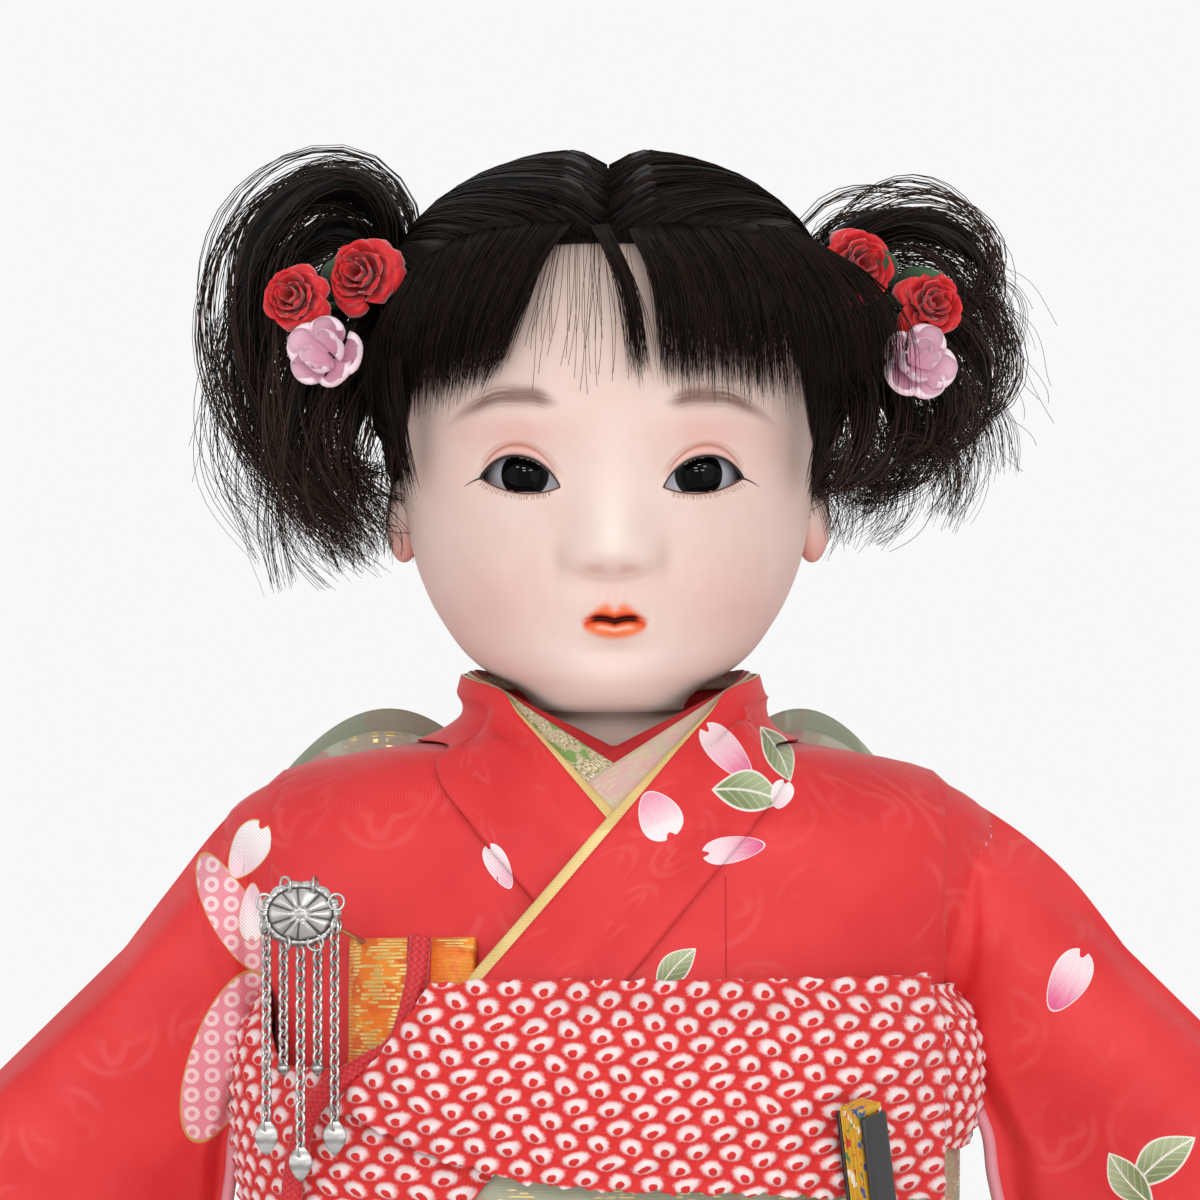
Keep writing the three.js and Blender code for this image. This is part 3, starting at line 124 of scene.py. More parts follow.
def hump(x: Array, wide: float) -> Array:
    """A bump of height 1 where x is 0, that fades over a width to either side."""
    return np.exp(-(x / wide) ** 2)


def bell(x: Array, y: Array, at: tuple[float, float], wide: float, tall: float) -> Array:
    """A round bump of height 1 centred on a point."""
    return np.exp(-(((x - at[0]) / wide) ** 2) - ((y - at[1]) / tall) ** 2)


def unit(v: Array) -> Array:
    """Vectors scaled to length 1 along the last axis."""
    return v / np.maximum(np.linalg.norm(v, axis=-1, keepdims=True), 1e-9)


def stack(*parts: Array) -> Array:
    """Coordinates broadcast together and stacked on a last axis."""
    return np.stack(np.broadcast_arrays(*parts), axis=-1).astype(float)


def ripple(x: Array, seed: int, octaves: int = 4) -> Array:
    """A smooth irregular wave of about unit height: a sum of sines with seeded phases."""
    rng = np.random.default_rng(seed)
    total = np.zeros_like(np.asarray(x, float))
    for k in range(octaves):
        phase = x * (1.0 + 0.83 * k) * (1.0 + 0.3 * rng.random()) + TAU * rng.random()
        total += np.sin(phase) / (1.0 + 0.6 * k)
    return total / 1.9


def row_curve(rows: Sequence[tuple[float, float]]) -> Curve:
    """A cubic through rows of (place, value) that doesn't overshoot them.

    Args:
        rows: Places in rising order with their values.

    Returns:
        A function of an array of places.
    """
    x, y = np.array(rows, float).T
    slope = np.diff(y) / np.diff(x)
    a, b = slope[:-1], slope[1:]
    inner = np.where(a * b <= 0, 0.0, 2 * a * b / np.where(a + b == 0, 1.0, a + b))
    tangent = np.concatenate([slope[:1], inner, slope[-1:]])

    def value(at: Array) -> Array:
        """Hermite blend of the two nearest rows."""
        at = np.asarray(at, float)
        k = np.clip(np.searchsorted(x, at) - 1, 0, len(x) - 2)
        h = x[k + 1] - x[k]
        t = np.clip((at - x[k]) / h, 0.0, 1.0)
        return (y[k] * (1 + 2 * t) * (1 - t) ** 2 + h * tangent[k] * t * (1 - t) ** 2
                + y[k + 1] * t * t * (3 - 2 * t) - h * tangent[k + 1] * t * t * (1 - t))

    return value


def through(points: Sequence[Sequence[float]], t: Array) -> Array:
    """Centripetal Catmull-Rom curve through points, at shares t of its spans.

    Args:
        points: Control points, n by d.
        t: Shares from 0 to 1.

    Returns:
        Points on the curve, the shape of t by d.
    """
    p = np.array(points, float)
    p = np.vstack([2 * p[0] - p[1], p, 2 * p[-1] - p[-2]])
    place = np.clip(np.asarray(t, float), 0.0, 1.0) * (len(p) - 3)
    k = np.minimum(np.floor(place).astype(int), len(p) - 4)
    w = (place - k)[..., None]
    step = np.maximum(np.sum(np.diff(p, axis=0) ** 2, axis=1) ** 0.25, 1e-4)[:, None]
    x0, x1, x2, x3 = (p[k + i] for i in range(4))
    d0, d1, d2 = (step[k + i] for i in range(3))
    t1 = ((x1 - x0) / d0 - (x2 - x0) / (d0 + d1) + (x2 - x1) / d1) * d1
    t2 = ((x2 - x1) / d1 - (x3 - x1) / (d1 + d2) + (x3 - x2) / d2) * d1
    return x1 + t1 * w + (3 * (x2 - x1) - 2 * t1 - t2) * w ** 2 + (2 * (x1 - x2) + t1 + t2) * w ** 3


def spaced(points: Sequence[Sequence[float]], count: int) -> Array:
    """Points spaced evenly along the smooth curve through a few."""
    fine = through(points, np.linspace(0, 1, 600))
    run = np.concatenate([[0.0], np.cumsum(np.linalg.norm(np.diff(fine, axis=0), axis=1))])
    at = np.linspace(0, run[-1], count)
    return np.stack([np.interp(at, run, fine[:, k]) for k in range(fine.shape[1])], axis=-1)


def mesh_grid(rows: int, columns: int) -> tuple[Array, Array]:
    """Shares from 0 to 1 down the rows and along the columns of a grid."""
    v, u = np.meshgrid(np.linspace(0, 1, rows), np.linspace(0, 1, columns), indexing="ij")
    return v, u


def ring_grid(rows: int, columns: int) -> tuple[Array, Array]:
    """Shares up a closed band and angles round it, without the column that would meet the first."""
    v, u = mesh_grid(rows, columns)
    return v[:, :-1], TAU * u[:, :-1]


def circle(count: int) -> Array:
    """Angles spaced evenly round one turn."""
    return TAU * np.arange(count) / count


def signed_degrees(turn: Array) -> Array:
    """Angles in degrees from -180 to 180."""
    return np.degrees(np.arctan2(np.sin(turn), np.cos(turn)))


def linear(code: str) -> tuple[float, float, float, float]:
    """A colour code such as d8302f as linear RGBA."""
    values = [int(code[i:i + 2], 16) / 255 for i in (0, 2, 4)]
    straight = [c / 12.92 if c <= 0.04045 else ((c + 0.055) / 1.055) ** 2.4 for c in values]
    return (straight[0], straight[1], straight[2], 1.0)


# Meshes


class Shape:
    """Collects grids and tubes of points in millimetres and makes one mesh object of them."""

    def __init__(self) -> None:
        """Starts empty."""
        self.points: list[Array] = []
        self.corners: list[Array] = []
        self.sizes: list[Array] = []
        self.uvs: list[Array] = []
        self.slots: list[Array] = []
        self.attributes: dict[str, list[Array]] = {}
        self.count = 0

    def _add(self, points: Array, faces: Array, uv: Array, slot: int, attributes: dict[str, Array]) -> None:
        """Appends points with faces of one size, their corner UVs, material slot and point values."""
        self.corners.append((faces + self.count).ravel())
        self.sizes.append(np.full(len(faces), faces.shape[1]))
        self.uvs.append(uv.reshape(-1, 2))
        self.slots.append(np.full(len(faces), slot))
        if len(points):
            for name in set(self.attributes) | set(attributes):
                kept = self.attributes.setdefault(name, [np.zeros(self.count)])
                value = np.asarray(attributes.get(name, 0.0), float)
                kept.append(np.broadcast_to(value, points.shape[:-1]).ravel())
            self.points.append(points.reshape(-1, 3))
            self.count += points.reshape(-1, 3).shape[0]

    def grid(self, points: Array, wrap: bool = False, uv: Array | None = None, slot: int = 0,
             flip: bool = False, **attributes: Array) -> "Shape":
        """Adds a sheet over a grid of points.

        Args:
            points: Rows by columns by 3.
            wrap: Joins the last column to the first.
            uv: UV per point in millimetres, with one more column where it wraps.
            slot: Material slot.
            flip: Turns the faces round.
            **attributes: Point values.

        Returns:
            Itself.
        """
        rows, columns = points.shape[:2]
        if uv is None:
            v, u = mesh_grid(rows, columns + wrap)
            uv = np.stack([u, v], axis=-1)
        i, j = np.meshgrid(np.arange(rows - 1), np.arange(columns - 1 + wrap), indexing="ij")
        i, j = i.ravel(), j.ravel()
        order = [(0, 0), (0, 1), (1, 1), (1, 0)]
        order = order[::-1] if flip else order
        faces = np.stack([(i + a) * columns + (j + b) % columns for a, b in order], axis=1)
        corner_uv = np.stack([uv[i + a, j + b] for a, b in order], axis=1)
        self._add(points, faces, corner_uv, slot, attributes)
        return self

    def wall(self, outer: Array, inner: Array, wrap: bool = False, uv: Array | None = None,
             slot: int = 0, back: int | None = None, **attributes: Array) -> "Shape":
        """Adds a closed wall between two grids of equal shape, with rims at its open edges."""
        back = slot if back is None else back
        rows, columns = outer.shape[:2]
        if uv is None:
            v, u = mesh_grid(rows, columns + wrap)
            uv = np.stack([u, v], axis=-1)
        start = self.count
        self.grid(outer, wrap, uv, slot, **attributes)
        self.grid(inner, wrap, uv, back, flip=True, **attributes)
        shift, far = start - self.count, start - self.count + rows * columns
        none = np.zeros((0, 3))

        def rim(a: Array, b: Array, uv_a: Array) -> None:
            """Joins an edge of the outer grid to the same edge of the inner one."""
            first, second = a[:-1], a[1:]
            faces = np.stack([second, first, b[:-1], b[1:]], axis=1)
            uvs = np.stack([uv_a[1:], uv_a[:-1], uv_a[:-1], uv_a[1:]], axis=1)
            self._add(none, faces, uvs, slot, {})

        line = np.arange(columns)
        line = np.append(line, 0) if wrap else line
        last = (rows - 1) * columns
        rim(shift + line, far + line, uv[0])
        rim(shift + last + line[::-1], far + last + line[::-1], uv[-1][::-1])
        if not wrap:
            down = np.arange(rows) * columns
            rim(shift + down[::-1], far + down[::-1], uv[::-1, 0])
            rim(shift + down + columns - 1, far + down + columns - 1, uv[:, -1])
        return self

    def tubes(self, paths: Array, radius: Array, sides: int = 3, slot: int = 0, closed: bool = False,
              across: Sequence[float] = (0.31, 0.87, 0.38), flat: float = 1.0,
              **attributes: Array) -> "Shape":
        """Adds many tubes at once.

        Args:
            paths: Tubes by points by 3.
            radius: Broadcasts to tubes by points, or to tubes by points by sides.
            sides: Sides round each tube.
            slot: Material slot.
            closed: Joins each tube's end to its start, with no caps.
            across: A direction that the paths never run along.
            flat: Thickness of the section over its width.
            **attributes: Values per tube (tubes by 1) or per path point.

        Returns:
            Itself.
        """
        many, length = paths.shape[:2]
        if closed:
            tangent = unit(np.roll(paths, -1, axis=1) - np.roll(paths, 1, axis=1))
        else:
            tangent = unit(np.gradient(paths, axis=1))
        normal = unit(np.cross(tangent, np.array(across)))
        other = np.cross(tangent, normal)
        angle = circle(sides)
        size = np.asarray(radius, float)
        if size.ndim < 3:
            size = np.broadcast_to(size, (many, length))[..., None]
        size = np.broadcast_to(size, (many, length, sides))[..., None]
        ring = (np.cos(angle)[:, None] * normal[:, :, None, :]
                + flat * np.sin(angle)[:, None] * other[:, :, None, :])
        points = paths[:, :, None, :] + size * ring
        run = np.concatenate([np.zeros((many, 1)),
                              np.cumsum(np.linalg.norm(np.diff(paths, axis=1), axis=2), axis=1)], axis=1)
        spans = length if closed else length - 1
        m, i, k = np.meshgrid(np.arange(many), np.arange(spans), np.arange(sides), indexing="ij")
        m, i, k = m.ravel(), i.ravel(), k.ravel()
        order = [(0, 0), (0, 1), (1, 1), (1, 0)]
        faces = np.stack([(m * length + (i + a) % length) * sides + (k + b) % sides for a, b in order],
                         axis=1)
        uv = np.stack([np.stack([(k + b) / sides, run[m, np.minimum(i + a, length - 1)]], axis=1)
                       for a, b in order], axis=1)
        spread = {n: np.broadcast_to(np.asarray(v, float), (many, length))[..., None]
                  for n, v in attributes.items()}
        self._add(points, faces, uv, slot, spread)
        if closed:
            return self
        m, k = np.meshgrid(np.arange(many), np.arange(1, sides - 1), indexing="ij")
        m, k = m.ravel(), k.ravel()
        first = m * length * sides
        last = first + (length - 1) * sides
        caps = np.concatenate([np.stack([first, first + k + 1, first + k], axis=1),
                               np.stack([last, last + k, last + k + 1], axis=1)]) - many * length * sides
        self._add(np.zeros((0, 3)), caps, np.zeros((len(caps), 3, 2)), slot, {})
        return self

    def lathe(self, centre: Sequence[float], profile: Sequence[tuple[float, float]], sides: int = 40,
              slot: int = 0, wave: Array | float = 0.0) -> "Shape":
        """Adds a turned form: radii at heights about a vertical axis, with a share of wave round it."""
        turn = circle(sides)
        radius, height = np.array(profile, float).T
        r = np.maximum(radius[:, None], 1e-3) * (1 + wave * np.ones(sides))
        points = stack(centre[0] + r * np.cos(turn), centre[1] + r * np.sin(turn),
                       centre[2] + height[:, None])
        return self.grid(points, wrap=True, slot=slot)

    def build(self, name: str, *materials: Material, smooth: bool = True) -> Piece:
        """Makes the mesh object at the origin, in metres, with UVs, slots and point values."""
        mesh = bpy.data.meshes.new(name)
        points = np.concatenate(self.points) * MM
        corners, sizes = np.concatenate(self.corners), np.concatenate(self.sizes)
        mesh.vertices.add(len(points))
        mesh.vertices.foreach_set("co", points.astype(np.float32).ravel())
        mesh.loops.add(len(corners))
        mesh.loops.foreach_set("vertex_index", corners.astype(np.int32))
        mesh.polygons.add(len(sizes))
        mesh.polygons.foreach_set("loop_start", (np.cumsum(sizes) - sizes).astype(np.int32))
        mesh.polygons.foreach_set("material_index", np.concatenate(self.slots).astype(np.int32))
        mesh.polygons.foreach_set("use_smooth", np.full(len(sizes), smooth))
        mesh.update(calc_edges=True)
        layer = mesh.uv_layers.new(name="cloth")
        layer.data.foreach_set("uv", np.concatenate(self.uvs).astype(np.float32).ravel())
        for key, parts in self.attributes.items():
            made = mesh.attributes.new(key, "FLOAT", "POINT")
            made.data.foreach_set("value", np.concatenate(parts).astype(np.float32))
        mesh.validate()
        for material in materials:
            mesh.materials.append(material)
        made = bpy.data.objects.new(name, mesh)
        bpy.context.scene.collection.objects.link(made)
        return made


def place(piece: Piece, body: str, slot: str, *nodes: str) -> Piece:
    """Seats a finished piece: it rides on a body and stands for CAD nodes."""
    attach(piece, str(getattr(body, "value", body)))
    return stand_for(piece, slot, *nodes)


def stand_for(piece: Piece, slot: str, *nodes: str) -> Piece:
    """Hides the CAD nodes that a piece replaces, and logs it."""
    if nodes:
        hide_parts(*nodes)
    LOG.info("%s: %d faces, for %s", piece.name, len(piece.data.polygons), ", ".join(nodes) or "detail")
    return piece


def finish_mesh(piece: Piece) -> Piece:
    """Applies a piece's modifiers to its mesh."""
    graph = bpy.context.evaluated_depsgraph_get()
    mesh = bpy.data.meshes.new_from_object(piece.evaluated_get(graph))
    piece.modifiers.clear()
    old, piece.data = piece.data, mesh
    bpy.data.meshes.remove(old)
    mesh.name = piece.name
    return piece


# Shader building


class Value:
    """A value in a shader tree, written in formulas as a number is."""

    def __init__(self, bench: Bench, socket: Socket) -> None:
        """Keeps its bench and its socket."""
        self.bench, self.socket = bench, socket

    def __add__(self, other: Number) -> Value:
        """A sum."""
        return self.to("ADD", other)

    def __sub__(self, other: Number) -> Value:
        """A difference."""
        return self.to("SUBTRACT", other)

    def __rsub__(self, other: float) -> Value:
        """A constant less the value."""
        return self.bench.math("SUBTRACT", other, self)

    def __mul__(self, other: Number) -> Value:
        """A product."""
        return self.to("MULTIPLY", other)

    def __truediv__(self, other: Number) -> Value:
        """A quotient."""
        return self.to("DIVIDE", other)

    def __rtruediv__(self, other: float) -> Value:
        """A constant over the value."""
        return self.bench.math("DIVIDE", other, self)

    def __pow__(self, power: float) -> Value:
        """A power."""
        return self.to("POWER", power)

    def __abs__(self) -> Value:
        """The value without its sign."""
        return self.to("ABSOLUTE")

    def to(self, operation: str, other: Number | None = None) -> Value:
        """Any other operation of a Math node, such as SINE or MAXIMUM."""
        return self.bench.math(operation, self, other)

    def madd(self, times: Number, plus: Number) -> Value:
        """The value times one number plus another."""
        return self.bench.math("MULTIPLY_ADD", self, times, plus)

    def step(self, start: float, end: float) -> Value:
        """Smooth step from 0 at start to 1 at end; start may be the larger."""
        low, high = sorted((start, end))
        ends = {"From Min": low, "From Max": high, "To Min": float(start > end),
                "To Max": float(start <= end)}
        return self.bench.get("MapRange", {"Value": self, **ends}, "Result", interpolation_type="SMOOTHSTEP")


Number = Value | float
Sockets = dict[str, Value]


class Bench:
    """Short calls for adding nodes to a shader tree."""

    def __init__(self, tree: Tree) -> None:
        """Keeps the tree."""
        self.tree = tree

    def node(self, kind: str, **settings: object) -> bpy.types.ShaderNode:
        """A new node with its settings."""
        made = self.tree.nodes.new("ShaderNode" + kind)
        for key, value in settings.items():
            setattr(made, key, value)
        return made

    def feed(self, socket: Socket, value: object) -> None:
        """Links a socket, or sets its constant, which may be a colour code."""
        value = value.socket if isinstance(value, Value) else value
        if isinstance(value, Socket):
            self.tree.links.new(value, socket)
        elif value is not None:
            socket.default_value = linear(value) if isinstance(value, str) else value

    def get(self, kind: str, inputs: dict[object, object], out: int | str = 0, **settings: object) -> Value:
        """One output of a new node with its inputs and settings."""
        made = self.node(kind, **settings)
        for key, value in inputs.items():
            self.feed(made.inputs[key], value)
        return Value(self, made.outputs[out])

    def math(self, operation: str, *values: object) -> Value:
        """A Math node's result."""
        return self.get("Math", dict(enumerate(values)), operation=operation)

    def mix(self, share: object, a: object, b: object) -> Value:
        """A colour between two."""
        return self.get("Mix", {0: share, 6: a, 7: b}, 2, data_type="RGBA")

    def noise(self, vector: Value, scale: float, detail: float = 2.0, rough: float = 0.5) -> Value:
        """A Noise Texture's value."""
        return self.get("TexNoise", {"Vector": vector, "Scale": scale, "Detail": detail, "Roughness": rough})

    def scaled(self, vector: Value, by: tuple[float, float, float]) -> Value:
        """A vector times a constant one."""
        return self.get("VectorMath", {0: vector, 1: by}, operation="MULTIPLY")

    def parts(self, vector: Value) -> list[Value]:
        """X, Y and Z of a vector."""
        made = self.node("SeparateXYZ")
        self.feed(made.inputs[0], vector)
        return [Value(self, socket) for socket in made.outputs]

    def joined(self, x: Value, y: Value) -> Value:
        """A vector of two values and 0."""
        return self.get("CombineXYZ", {0: x, 1: y})

    def uv(self) -> Value:
        """The piece's own cloth UV, in millimetres."""
        return self.get("UVMap", {}, uv_map="cloth")

    def place(self) -> Value:
        """Object coordinates in millimetres."""
        return self.scaled(self.get("TexCoord", {}, "Object"), (1 / MM, 1 / MM, 1 / MM))

    def value(self, name: str) -> Value:
        """A point value of the mesh."""
        return self.get("Attribute", {}, "Fac", attribute_name=name)

    def use(self, pattern: str, **inputs: object) -> list[Value]:
        """All that a shared pattern puts out for these inputs."""
        made = self.node("Group", node_tree=Patterns.get(pattern))
        for key, value in inputs.items():
            self.feed(made.inputs[key], value)
        return [Value(self, socket) for socket in made.outputs]


# Middle and half sizes of a tied knot and of its red tip, in lattice steps
KNOT_FORMS = {"Knot": ((0.0, 0.0), 0.42, 0.57), "Tip": ((0.02, -0.17), 0.175, 0.3)}


class Patterns:
    """Shared patterns as node groups, each built once from the method of its name."""

    PRINT = "Color Vector Centre Turn Size Base Tip Rim"
    SOCKETS = {"twill": ("Twill weave", "Vector Pitch", "Height"),
               "jacquard": ("Jacquard", "Vector Cell", "Mask"),
               "petal": ("Petal print", PRINT, "Color"), "leaf": ("Leaf print", PRINT, "Color"),
               "ringed": ("Ringed petal print", PRINT, "Color"),
               "knots": ("Tied knots", "X Y Step", "Knot Tip"),
               "brocade": ("Brocade floats", "Vector Pitch Cover", "Thread Height"),
               "wear": ("Age blotches", "Vector", "Mask")}
    KINDS = {**dict.fromkeys(("Vector", "Centre", "Size"), "Vector"),
             **dict.fromkeys(("Color", "Base", "Tip", "Rim"), "Color")}
    _made: dict[str, Tree] = {}

    @classmethod
    def get(cls, name: str) -> Tree:
        """The group of that name, built at its first use."""
        if name not in cls._made:
            title, inputs, outputs = cls.SOCKETS[name]
            tree = cls._made[name] = bpy.data.node_groups.new(title, "ShaderNodeTree")
            for key in inputs.split():
                kind = cls.KINDS.get(key, "Float")
                tree.interface.new_socket(key, in_out="INPUT", socket_type="NodeSocket" + kind)
            for key in outputs.split():
                kind = "Color" if key == "Color" else "Float"
                tree.interface.new_socket(key, in_out="OUTPUT", socket_type="NodeSocket" + kind)
            b, source, sink = Bench(tree), tree.nodes.new("NodeGroupInput"), tree.nodes.new("NodeGroupOutput")
            results = getattr(cls, "_" + name)(b, {s.name: Value(b, s) for s in source.outputs if s.name})
            for key, value in results.items():
                b.feed(sink.inputs[key], value)
        return cls._made[name]

    @staticmethod
    def _far(p: Value, q: Value) -> Value:
        """The distance from the middle of a cell."""
        return (p * p + q * q).to("SQRT")

    @staticmethod
    def _local(b: Bench, i: Sockets) -> tuple[Value, Value]:
        """The vector in the frame of one print: shares of its length and width."""
        shift = b.get("VectorMath", {0: i["Vector"], 1: i["Centre"]}, operation="SUBTRACT")
        turn = b.get("VectorRotate", {"Vector": shift, "Angle": i["Turn"] * (-math.pi / 180)},
                     rotation_type="Z_AXIS")
        a, c, _ = b.parts(b.get("VectorMath", {0: turn, 1: i["Size"]}, operation="DIVIDE"))
        return a, c

    @staticmethod
    def _twill(b: Bench, i: Sockets) -> Sockets:
        """Diagonal twill lines: a sine of x + y over the pitch, broken by cross threads."""
        x, y, _ = b.parts(i["Vector"])
        rate = TAU / i["Pitch"]
        line, thread = ((x + y) * rate).to("SINE"), ((x - y) * (rate * 1.7)).to("SINE")
        return {"Height": thread.madd(0.14, line * 0.36) + 0.5}

    @staticmethod
    def _jacquard(b: Bench, i: Sockets) -> Sockets:
        """Tone-on-tone rings and four-petal figures in a staggered lattice."""
        x, y, _ = b.parts(i["Vector"])
        v = y / i["Cell"]
        u = x / i["Cell"] + v.to("FLOOR") * 0.5
        p, q = u.to("FRACT") - 0.5, v.to("FRACT") - 0.5
        r = Patterns._far(p, q)
        edge = (q.to("ARCTAN2", p) * 4.0).to("COSINE").madd(0.07, 0.24)
        return {"Mask": abs(r - edge).step(0.08, 0.02).to("MAXIMUM", abs(r - 0.42).step(0.06, 0.01))}

    @staticmethod
    def _petal(b: Bench, i: Sockets) -> Sockets:
        """One notched petal printed over a colour.

        In the petal's own frame a runs from base 0 to tip 1 and c runs across. Its edge is where
        1 - ((a - .52) / .5)^2 - (2 c / (.6 + .45 a))^2, less a notch at the tip, falls to 0.
        """
        a, c = Patterns._local(b, i)
        a = a + 0.5
        wide = (c * 2.0) / a.madd(0.45, 0.6)
        notch = abs(c).step(0.12, 0.0) * a.step(0.78, 1.0)
        f = 1.0 - abs(a.madd(2.0, -1.04)) ** 2.0 - wide * wide - notch * 0.7
        streak = b.noise(b.joined(c * 9.0, a * 1.2), 1.6, 3.0)
        body = b.mix(streak.madd(0.35, a - 0.17).step(0.05, 0.85), i["Base"], i["Tip"])
        body = b.mix(f.step(0.16, 0.06), body, i["Rim"])
        return {"Color": b.mix(f.step(0.0, 0.045), i["Color"], body)}

    @staticmethod
    def _leaf(b: Bench, i: Sockets) -> Sockets:
        """One bent leaf printed over a colour, with a pale vein and outline.

        Its edge is where .5 sin(pi a)^.9 less the distance from the bent midrib falls to 0.
        """
        a, c = Patterns._local(b, i)
        a = a + 0.5
        arch = (a.to("MAXIMUM", 0.0).to("MINIMUM", 1.0) * math.pi).to("SINE")
        rib = c - arch * 0.12
        away = abs(rib)
        f = arch ** 0.9 * 0.5 - away
        body = b.mix(rib.madd(0.8, a).step(0.1, 0.95), i["Base"], i["Tip"])
        veins = ((a - away * 0.7) * 42.0).to("SINE").step(0.75, 1.0) * 0.35
        for line in (veins, away.step(0.04, 0.015), f.step(0.085, 0.05)):
            body = b.mix(line, body, i["Rim"])
        return {"Color": b.mix(f.step(0.0, 0.02), i["Color"], body)}

    @staticmethod
    def _ringed(b: Bench, i: Sockets) -> Sockets:
        """A long oval petal filled with pale rings, printed over a colour."""
        a, c = Patterns._local(b, i)
        long, wide = a * 2.0, c * 2.0
        f = 1.0 - long * long - wide * wide
        x, y, _ = b.parts(i["Vector"])
        p, q = (((at / cell).to("FRACT") - 0.5) * cell for at, cell in ((x, 3.5), (y, 3.3)))
        body = b.mix(abs(Patterns._far(p, q) - 0.95).step(0.5, 0.25), i["Base"], i["Tip"])
        body = b.mix(f.step(0.12, 0.06), body, i["Rim"])
        return {"Color": b.mix(f.step(0.0, 0.03), i["Color"], body)}

    @staticmethod
    def _knots(b: Bench, i: Sockets) -> Sockets:
        """Tied knots in staggered rows: nearness to a knot's middle and to its red tip.

        X counts knots along the cloth, Y rows up it, and Step picks the row above or below.
        """
        row = i["Y"].to("FLOOR") + i["Step"]
        p, q = row.madd(0.5, i["X"]).to("FRACT") - 0.5, i["Y"] - row - 0.5
        return {name: 1.0 - Patterns._far((p - at[0]) / wide, (q - at[1]) / tall)
                for name, (at, wide, tall) in KNOT_FORMS.items()}

    @staticmethod
    def _brocade(b: Bench, i: Sockets) -> Sockets:
        """Weft floats: short bright dashes in rows, where a soft cloud lets them through."""
        x, y, _ = b.parts(i["Vector"])
        v = y / i["Pitch"]
        row = v.to("FLOOR")
        jump = ((row * 12.9898).to("SINE") * 437.5453).to("FRACT")
        dash = b.noise(b.joined(x / (i["Pitch"] * 4.5) + jump * 7.0, row * 3.1), 1.0, 1.0)
        level = b.noise(i["Vector"], 0.16).madd(0.7, dash) - i["Cover"]
        ridge = (v.to("FRACT") * math.pi).to("SINE")
        thread = level.step(-0.02, 0.05) * ridge.step(0.25, 0.7)
        return {"Thread": thread, "Height": thread.madd(0.6, ridge * 0.4)}

    @staticmethod
    def _wear(b: Bench, i: Sockets) -> Sockets:
        """Soft blotches of age: two sizes of noise laid over each other."""
        large, small = b.noise(i["Vector"], 0.05, 3.0), b.noise(i["Vector"], 0.9, 4.0, 0.65)
        return {"Mask": small.madd(0.35, large).step(0.45, 0.95)}


@dataclass(frozen=True)
class Finish:
    """The gloss of a surface; its colour and relief come from the finish's own pattern."""

    name: str
    roughness: float = 0.6
    metallic: float = 0.0
    coat: float = 0.0
    sheen: float = 0.0
    specular: float = 0.5
    bump: float = 0.3
    depth: float = 0.1

    def pattern(self, b: Bench) -> Sockets:
        """Colour, and Roughness or Height where they vary."""
        raise NotImplementedError

    def make(self) -> Material:
        """The material: a Principled shader fed by the pattern."""
        found = bpy.data.materials.get(self.name)
        if found:
            return found
        material = bpy.data.materials.new(self.name)
        material.use_nodes = True
        material.node_tree.nodes.clear()
        b = Bench(material.node_tree)
        gloss = {"Roughness": self.roughness, "Metallic": self.metallic, "Coat Weight": self.coat,
                 "Coat Roughness": 0.12, "Sheen Weight": self.sheen, "Sheen Roughness": 0.4,
                 "Specular IOR Level": self.specular}
        made = self.pattern(b)
        height = made.pop("Height", None)
        if height is not None:
            relief = {"Strength": self.bump, "Distance": self.depth * MM, "Height": height}
            made["Normal"] = b.get("Bump", relief)
        b.feed(b.node("OutputMaterial").inputs[0], b.get("BsdfPrincipled", {**gloss, **made}))
        return material


class Print(Enum):
    """Shapes printed on the kimono cloth."""

    PETAL = "petal"
    LEAF = "leaf"
    RINGED = "ringed"


@dataclass(frozen=True)
class Motif:
    """One print: its kind, middle, turn in degrees, length and width in millimetres."""

    kind: Print
    x: float
    z: float
    turn: float
    length: float
    width: float
    colours: tuple[str, str, str] = ("e25f94", "fbe6ec", "fdf0ee")


LEAF_COLOURS = ("6c8f5c", "a9c397", "eef0e2")
GOLD_EDGE = ("f0a3c0", "fbeef2", "d9b063")
WHITE_GOLD = ("f7d9e2", "ffffff", "d9b063")
RING_PINK = ("ee9aa8", "fbdfe2", "cfa257")


@dataclass(frozen=True)
class KimonoSilk(Finish):
    """Bright red twill silk with a tone-on-tone figure and scattered petals and leaves."""

    motifs: tuple[Motif, ...] = ()
    ground: str = "d51f24"
    light: str = "e63336"

    def pattern(self, b: Bench) -> Sockets:
        """Red ground, figure, prints by the piece's own print coordinates, and twill relief."""
        uv, at = b.uv(), b.joined(b.value("print_x"), b.value("print_z"))
        colour = b.mix(b.noise(at, 0.035, 3.0).step(0.3, 0.7), self.ground, self.light)
        figure, = b.use("jacquard", Vector=uv, Cell=17.0)
        broken = figure * b.noise(uv, 0.06).step(0.5, 0.66)
        colour = b.mix(broken * 0.2, colour, "f0706a")
        twill, = b.use("twill", Vector=uv, Pitch=0.62)
        for m in self.motifs:
            base, tip, rim = m.colours
            colour, = b.use(m.kind.value, Color=colour, Vector=at, Centre=(m.x, m.z, 0.0), Turn=m.turn,
                            Size=(m.length, m.width, 1.0), Base=base, Tip=tip, Rim=rim)
        return {"Base Color": b.mix(twill.step(0.75, 0.2) * 0.3, colour, "b3161c"),
                "Roughness": twill.madd(-0.1, 0.66), "Height": broken.madd(0.2, twill)}


